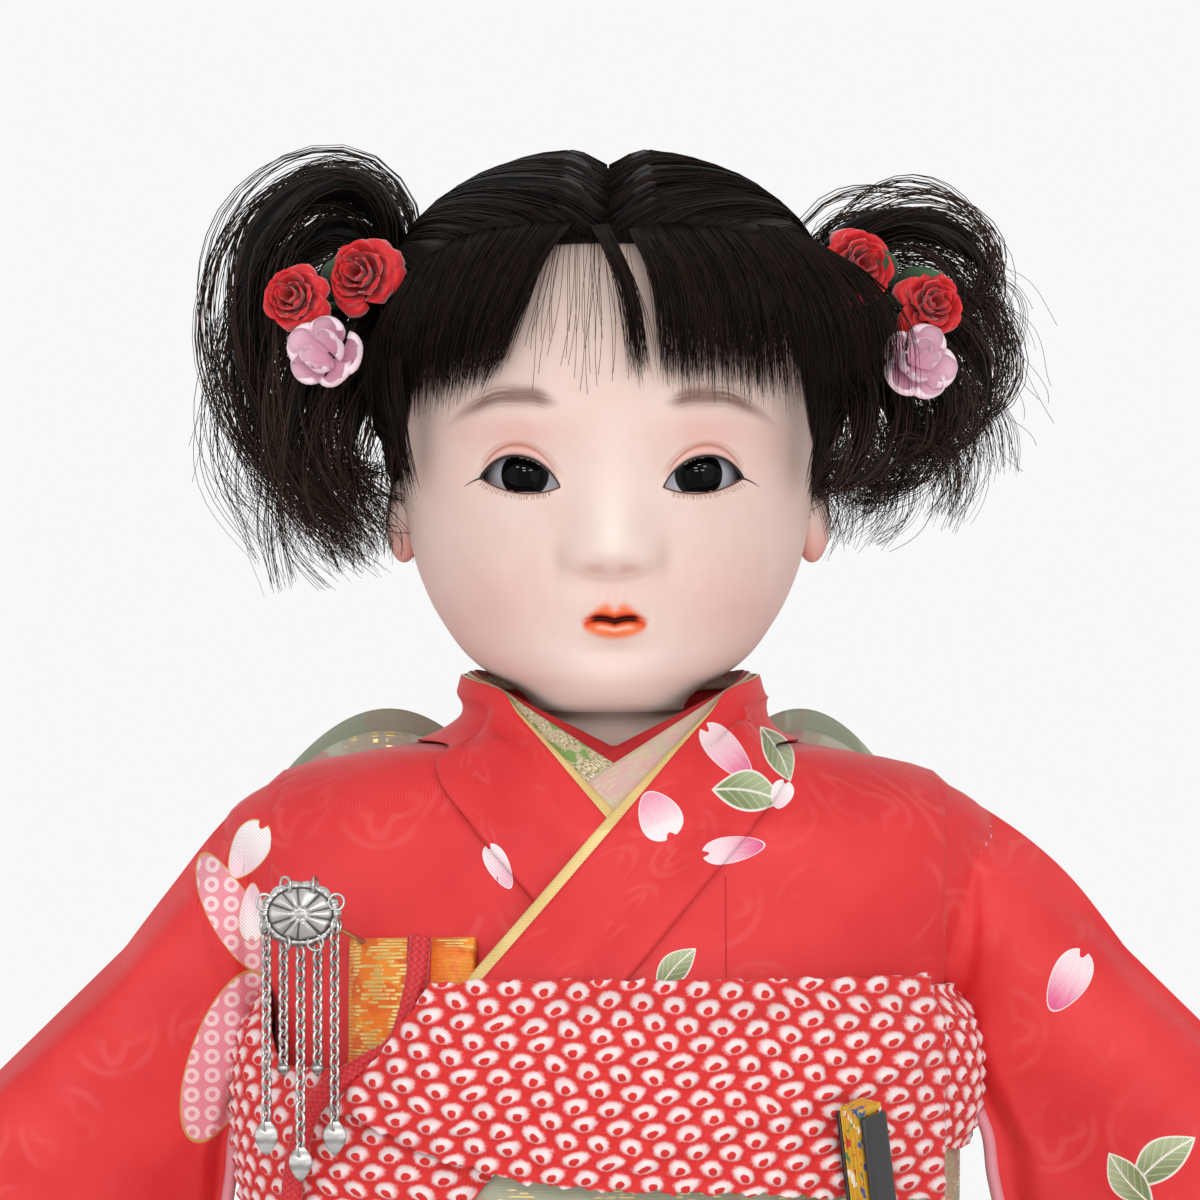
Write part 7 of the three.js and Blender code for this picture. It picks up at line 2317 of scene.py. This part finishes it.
    def over_face(self, x: Array, h: Array, out: Array, near: float = 0.02) -> Array:
        """A point in front of the head at X and a height, never behind the root of near of its depth."""
        share = np.clip(x / (self.head.width * HEAD_WIDTH(h) + out), -1, 1)
        depth = (self.head.front * HEAD_FRONT(h) + out) * np.sqrt(np.maximum(1 - share ** 2, near))
        return stack(x, -depth, self.head.chin + h)

    def _fringe(self, rng: np.random.Generator) -> Shape:
        """Fine strands between neighbouring guides, combed down and out, ragged at the tips."""
        shape = Shape()
        t = np.linspace(0, 1, 9)
        groups = ((RIGHT_FRINGE, 1450, 0.15), (PARTING_LOCK, 130, 0.0), (LEFT_FRINGE, 1500, 0.5),
                  (SIDEBURNS[0], 80, 0.02), (SIDEBURNS[1], 80, 0.02))
        for guides, many, near in groups:
            curves = np.array([through(g, t) for g in guides])
            at = np.sort(rng.random(many)) * (len(guides) - 1)
            k = np.minimum(at.astype(int), len(guides) - 2)
            # Tips gather into narrow locks.
            gather = np.clip(np.round(at * 3.4 + 0.3 * rng.standard_normal(many)) / 3.4, 0, len(guides) - 1)
            g = np.minimum(gather.astype(int), len(guides) - 2)
            free = lerp(curves[k], curves[k + 1], (at - k)[:, None, None])
            locked = lerp(curves[g], curves[g + 1], (gather - g)[:, None, None])
            flat = lerp(free, locked, (0.62 * t ** 1.5)[None, :, None])
            short = 0.74 + 0.2 * rng.random((many, 1)) + 0.16 * rng.random((many, 1)) ** 2.5
            x, h = lerp(flat[:, :1, 0], flat[..., 0], short), lerp(flat[:, :1, 1], flat[..., 1], short)
            x = (x + 0.6 * t * rng.standard_normal((many, 1))
                 + 0.35 * np.sin(4 * t + TAU * rng.random((many, 1))) * t)
            out = lerp(4.4, 5.8, ease(t, 0, 0.25)) - 3.4 * ease(t, 0.5, 1) + 1.2 * rng.random((many, 1))
            shape.tubes(self.over_face(x, h, out, near), (0.1 * (1 - 0.8 * t ** 2))[None], 3,
                        tone=rng.random((many, 1)))
        many = 34
        x0, drop = rng.uniform(-11, 3, (many, 1)), rng.uniform(16, 29, (many, 1))
        x = x0 + (x0 + 2) * 0.5 * t + 1.2 * np.sin(3 * t + TAU * rng.random((many, 1))) * t
        return shape.tubes(self.over_face(x, 82.5 - drop * t, lerp(4.2, 1.0, t) + 0 * x), 0.05, 3,
                           tone=rng.random((many, 1)))

    def _bunch(self, side: Side, rng: np.random.Generator) -> Shape:
        """Wavy locks of strands about a core each, curled at their ends, with stray hairs; the core is the
        lock's inner hair, kept at the darkest tone as painted shade.
        """
        out = self.outward(side)
        start = self.base(side, self.tie_out)
        mirror = np.array((side.value, 1.0, 1.0))
        loose, turns, fold = (1.15, (0.2, 0.6), 0.85) if side is Side.RIGHT else (1.2, (0.5, 1.1), 1.0)
        shape = Shape()
        count = 33
        even = np.linspace(0, 1, count)
        t = 1 - (1 - even) ** 1.2
        clumps, each = 17, 10
        one_each = (clumps, 1, 1)
        for lock in LOCKS[side]:
            along = spaced(np.vstack([start + 1.5 * out, start + self.root_out * out,
                                      start + mirror * np.array(lock, float)]), count)
            guide = np.stack([np.interp(t, even, along[:, k]) for k in range(3)], axis=-1)
            tangent = unit(np.gradient(guide, axis=0))
            one = unit(np.cross(tangent, (0.2, 1.0, 0.1)))
            two = np.cross(tangent, one)
            radius = 2.2 + 6.4 * np.sin(math.pi * np.clip(t * 0.93 + 0.02, 0, 1) ** 0.8) ** 0.8
            # The core stands for the inner hair and takes the darkest tone, painted shade inside the lock.
            shape.tubes(guide[None], (0.05 + 0.36 * radius * (1 - ease(t, 0.5, 0.85)))[None], 12, tone=0.05)
            turn, far = (TAU * rng.random(one_each),
                         np.sqrt(rng.random(one_each)) * rng.uniform(0.8, 1.2, one_each))
            phase = TAU * (rng.uniform(1.0, 2.2, one_each) * t + rng.random(one_each))
            swing = loose * rng.uniform(0.8, 2.6, one_each) * ease(t, 0.08, 0.45)
            part = (0.4 + 1.1 * t) * rng.standard_normal((2, clumps, each, 1))
            crimp = 0.45 * np.sin(TAU * (rng.uniform(1.8, 3.2, (clumps, each, 1)) * t
                                         + rng.random((clumps, each, 1)))) * ease(t, 0.1, 0.4)
            a = radius * far * np.cos(turn) + swing * np.sin(phase) + part[0] + crimp
            b = radius * far * np.sin(turn) + 0.8 * swing * np.cos(phase) + part[1]
            curl = TAU * rng.uniform(*turns, one_each) * ease(t, 0.5, 1.0)
            size = loose * rng.uniform(2.4, 4.6, one_each)
            size = size * (1 + 0.15 * rng.standard_normal((clumps, each, 1)))
            inward = -side.value * np.where(rng.random(one_each) < fold, 1.0, -1.0)
            paths = guide + (a + inward * size * (1 - np.cos(curl)))[..., None] * one + b[..., None] * two
            paths = paths + (size * np.sin(curl))[..., None] * tangent
            thin = self.strand * rng.uniform(0.6, 1.0, (clumps * each, 1)) * (1 - 0.6 * t ** 4)
            shape.tubes(paths.reshape(-1, count, 3), thin, 3, tone=rng.random((clumps * each, 1)))
        many = 50
        pick = rng.integers(0, len(LOCKS[side]), many)
        ends = np.array([LOCKS[side][k][-2] for k in pick], float) * mirror
        tops = np.array([LOCKS[side][k][1] for k in pick], float) * mirror
        stray = rng.standard_normal((many, 1, 3)) * np.array((4.2, 4, 4.2))
        s = t[None, :, None]
        paths = (start + 4 * out + 2 * s * (1 - s) * (tops[:, None] * 1.3 + stray)
                 + s ** 2 * (ends[:, None] + stray))
        paths = paths + 1.6 * np.sin(TAU * (1.5 * s + rng.random((many, 1, 3)))) * s
        return shape.tubes(paths, 0.05, 3, tone=rng.random((many, 1)))


@dataclass
class HairFlowers:
    """Silk roses, pale cupped blossoms and leaves on wire stems at both ties."""

    wig: Wig = field(default_factory=Wig)
    petal: float = 0.14

    def build(self) -> None:
        """Makes four flower pieces a side."""
        red = PetalSilk("rose silk", 0.6, sheen=0.4).make()
        pink = PetalSilk("blossom silk", 0.65, sheen=0.4, heart="e3a9bf", edge="f3d9e2").make()
        green = PetalSilk("leaf silk", 0.6, sheen=0.3, heart="14301a", edge="2a5430").make()
        stem = PetalSilk("wrapped wire", 0.7, heart="20351c", edge="33502b").make()
        chin = self.wig.head.chin
        spots = {Side.RIGHT: ((-42, -19, 74.5), (-53.4, -20, 70.6), (-47.6, -24, 60.8), (-48.5, -17, 69.5)),
                 Side.LEFT: ((42.6, -19, 76), (55, -20, 69.5), (52, -24, 59.5), (49, -17, 71))}
        roots = ((1, 0, 2.5), (5, -1, 0), (2.5, -1, -3.5), (5, 1, 4))
        for side in Side:
            out = self.wig.outward(side)
            start = self.wig.base(side, self.wig.tie_out) + self.wig.root_out * out
            facing = unit(np.array((0.35 * side.value, -1.0, 0.15)))
            for k, ((x, y, h), root) in enumerate(zip(spots[side], roots)):
                at = np.array((x, y, chin + h), float)
                shape = Shape()
                wire = spaced([start + np.array(root) * (side.value, 1, 1),
                               lerp(start, at, 0.5) + (0, 1.5, 0), at + (0, 2.5, 0)], 14)
                shape.tubes(wire[None], 0.6, 8, slot=1, across=(0.1, 0.2, 1))
                if k < 2:
                    word = ("upper", "lower")[k]
                    self._rose(shape, at, facing, (6.2, 5.4)[k], 21 + k + side.value)
                    name, cloth, slot, node = word + "_rose_petals", red, "rose_silk", word + "_rose"
                elif k == 2:
                    self._blossom(shape, at, facing, 6.3, 41 + side.value)
                    name, cloth, slot, node = "blossom_petals", pink, "blossom_silk", "blossom"
                else:
                    self._leaves(shape, at, facing, side)
                    name, cloth, slot, node = "leaf_sprig", green, "leaf_silk", "leaves"
                place(shape.build(f"{side.word}_{name}", cloth, stem), Body.HEAD, slot, f"{side.word}_{node}")

    def _patch(self, shape: Shape, at: Array, facing: Array, turn: float, rows: tuple[Array, Array],
               span: float, ruffle: float) -> None:
        """One petal: a strip of a cup, as wide as span and rounded at its tip.

        Args:
            shape: Takes the petal.
            at: The flower's middle.
            facing: Its axis.
            turn: The petal's place round the axis.
            rows: Radii, and heights along the axis, from base to tip.
            span: Its width as an angle.
            ruffle: Height of the waves at its tip.
        """
        v, u = mesh_grid(10, 11)
        side = unit(np.cross(facing, (0.03, 0.2, 1.0)))
        up = np.cross(side, facing)
        radius = np.interp(v, np.linspace(0, 1, len(rows[0])), rows[0])
        height = np.interp(v, np.linspace(0, 1, len(rows[1])), rows[1])
        edge = np.abs(2 * u - 1) ** 2.4
        a = turn + span * (u - 0.5) * (0.45 + 0.55 * np.sin(math.pi * np.clip(0.1 + 0.75 * v, 0, 1)))
        drop = 1 - 0.28 * edge * v
        wave = ruffle * (np.sin(9 * u + turn) + 0.7 * np.sin(15 * u - 7 * v + 3 * turn)) * v ** 1.5
        layers = []
        for thick in (0.0, self.petal):
            r, z = radius * drop + 0.4 * thick, height * drop + wave - thick
            layers.append(at + (r * np.cos(a))[..., None] * side + (r * np.sin(a))[..., None] * up
                          + z[..., None] * facing)
        shape.wall(layers[0], layers[1], uv=np.stack([u, v], axis=-1))

    def _rose(self, shape: Shape, at: Array, facing: Array, size: float, seed: int) -> None:
        """Rings of petals that open from a tight heart to a flat outer ring."""
        rng = np.random.default_rng(seed)
        rings = ((3, 0.28, 0.85, 2.6), (4, 0.48, 0.8, 2.0), (5, 0.75, 0.62, 1.7), (6, 1.0, 0.34, 1.45),
                 (6, 1.15, 0.02, 1.4))
        for k, (many, reach, high, span) in enumerate(rings):
            for n in range(many):
                r = size * reach * rng.uniform(0.92, 1.06)
                rows = (np.array([0.05, 0.7, 0.92, 1.0]) * r,
                        size * np.array([-0.35, 0.1, high * 0.9, high - 0.12 * k]))
                self._patch(shape, at, facing, TAU * n / many + 0.7 * k + 0.25 * rng.standard_normal(), rows,
                            span, 0.75)

    def _blossom(self, shape: Shape, at: Array, facing: Array, size: float, seed: int) -> None:
        """Two rings of cupped petals that stand well open."""
        rng = np.random.default_rng(seed)
        for k, (many, reach, high) in enumerate(((4, 0.6, 0.75), (5, 1.15, 0.55))):
            for n in range(many):
                r = size * reach * rng.uniform(0.9, 1.1)
                rows = (np.array([0.05, 0.6, 0.95, 0.9]) * r, size * np.array([-0.4, -0.1, 0.35, high]))
                self._patch(shape, at, facing, TAU * n / many + 0.6 * k + 0.2 * rng.standard_normal(), rows,
                            1.5, 0.2)

    def _leaves(self, shape: Shape, at: Array, facing: Array, side: Side) -> None:
        """Pointed leaves that lie behind the flowers, bent along a midrib."""
        v, u = mesh_grid(14, 9)
        for way, lift, long in ((0.35, 1.0, 8.0), (2.2, 2.0, 8.0), (-1.0, -3.0, 8.5)):
            along = np.array((side.value * math.cos(way), -0.25, math.sin(way)))
            across = unit(np.cross(along, facing))
            wide = 2.9 * np.sin(math.pi * np.clip(v * 0.97 + 0.015, 0, 1) ** 0.8)
            fold = 0.5 * np.abs(2 * u - 1) * wide / 2.9 - 1.2 * np.sin(math.pi * v * 0.8)
            middle = at + (0, 0, lift)
            leaf = (middle + (long * v)[..., None] * along + (wide * (2 * u - 1))[..., None] * across
                    - fold[..., None] * facing)
            shape.wall(leaf, leaf - 0.2 * facing, uv=np.stack([u, v], axis=-1))


@dataclass
class Studio:
    """A white studio with soft light, and the camera in front at face height."""

    distance: float = 1.2
    target: tuple[float, float, float] = (-0.0014, -0.025, 0.3377)
    frame: float = 0.204
    sensor: float = 36.0
    world_light: float = 0.7

    def build(self) -> None:
        """Makes the camera, the floor, the world and the lamps."""
        scene = bpy.context.scene
        scene.view_settings.view_transform = "Standard"
        data = bpy.data.cameras.new("camera")
        data.sensor_width, data.sensor_height, data.sensor_fit = self.sensor, self.sensor, "HORIZONTAL"
        data.lens = self.sensor * self.distance / self.frame
        camera = bpy.data.objects.new("camera", data)
        camera.location = (self.target[0], self.target[1] - self.distance, self.target[2])
        camera.rotation_euler = (math.pi / 2, 0.0, 0.0)
        scene.collection.objects.link(camera)
        scene.camera = camera
        self._floor()
        self._world(scene)
        self._lamp("key", (0.7, -1.3, 0.6), 1.1, 4.0)
        self._lamp("fill", (-0.9, -1.2, 0.25), 1.2, 2.8)
        self._lamp("top", (0.0, 0.1, 1.35), 1.0, 0.9)
        for k, (x, z) in enumerate(((-0.3, 0.64), (-0.07, 0.6), (0.05, 0.72), (0.26, 0.66), (-0.05, 0.5),
                                    (0.17, 0.52))):
            self._lamp(f"sparkle {k + 1}", (x, -1.15, z), 0.11, 0.6, 0.022)

    def _floor(self) -> None:
        """A pale disc under the stand."""
        turn = circle(96)
        ring = np.array([0.02, 250.0, 500.0, 750.0])[::-1, None]
        shape = Shape().grid(stack(ring * np.cos(turn), ring * np.sin(turn), -0.2 + 0 * ring), wrap=True)
        pale = Plaster("pale floor", 0.8, specular=0.2, bump=0.02, colour="f2f2f2", deep="eeeeee").make()
        shape.build("floor", pale)

    def _world(self, scene: bpy.types.Scene) -> None:
        """White for the camera, glossy and transmitted rays, and a plain level of light for the rest."""
        world = bpy.data.worlds.new("studio")
        scene.world = world
        world.use_nodes = True
        world.node_tree.nodes.clear()
        b = Bench(world.node_tree)
        rays = b.node("LightPath").outputs
        seen = b.math("MAXIMUM", b.math("MAXIMUM", rays["Is Camera Ray"], rays["Is Glossy Ray"]),
                      rays["Is Transmission Ray"])
        plain = b.get("Background", {"Color": (1, 1, 1, 1), "Strength": self.world_light})
        white = b.get("Background", {"Color": "f8f8f8", "Strength": 1.0})
        b.feed(b.node("OutputWorld").inputs[0], b.get("MixShader", {0: seen, 1: plain, 2: white}))

    def _lamp(self, name: str, at: tuple[float, float, float], size: float, power: float,
              tall: float = 0.0) -> None:
        """A soft lamp turned to the doll's chest, square or a strip."""
        data = bpy.data.lights.new(name, "AREA")
        data.shape, data.size, data.size_y, data.energy = "RECTANGLE", size, tall or size, power
        lamp = bpy.data.objects.new(name, data)
        lamp.location = at
        way = np.array(at) - np.array((0, 0, 0.32))
        lamp.rotation_euler = (math.acos(way[2] / np.linalg.norm(way)), 0.0,
                               math.atan2(way[1], way[0]) + math.pi / 2)
        bpy.context.scene.collection.objects.link(lamp)


def dress_solids() -> None:
    """Gives the carried-over CAD nodes their finishes."""
    wood = TurnedWood("post wood", 0.5, depth=0.2).make()
    body = Plaster("composition", 0.75, bump=0.2, depth=0.3).make()
    wrap = Plaster("wrapped paper", 0.85, bump=0.4, depth=0.3, colour="ded2c0", deep="bfae95").make()
    for node, material in (("support_post", wood), ("torso", body), ("right_thigh", body),
                           ("left_thigh", body), ("right_upper_arm", wrap), ("left_upper_arm", wrap)):
        solid = bpy.data.objects[node]
        solid.data.materials.clear()
        solid.data.materials.append(material)
        LOG.info("%s: finished as %s", node, material.name)


def main() -> None:
    """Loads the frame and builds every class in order."""
    logging.basicConfig(level=logging.INFO, format="%(message)s")
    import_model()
    Studio().build()
    purse = Purse()
    purse.build_cord()
    dress_solids()
    for part in (Stand(), Legs(), Kimono(), Collars(), Obi(), Fan(), purse, Arms(), Head(), Wig(),
                 HairFlowers()):
        part.build()
        LOG.info("built %s", type(part).__name__)


if __name__ == "__main__":
    main()
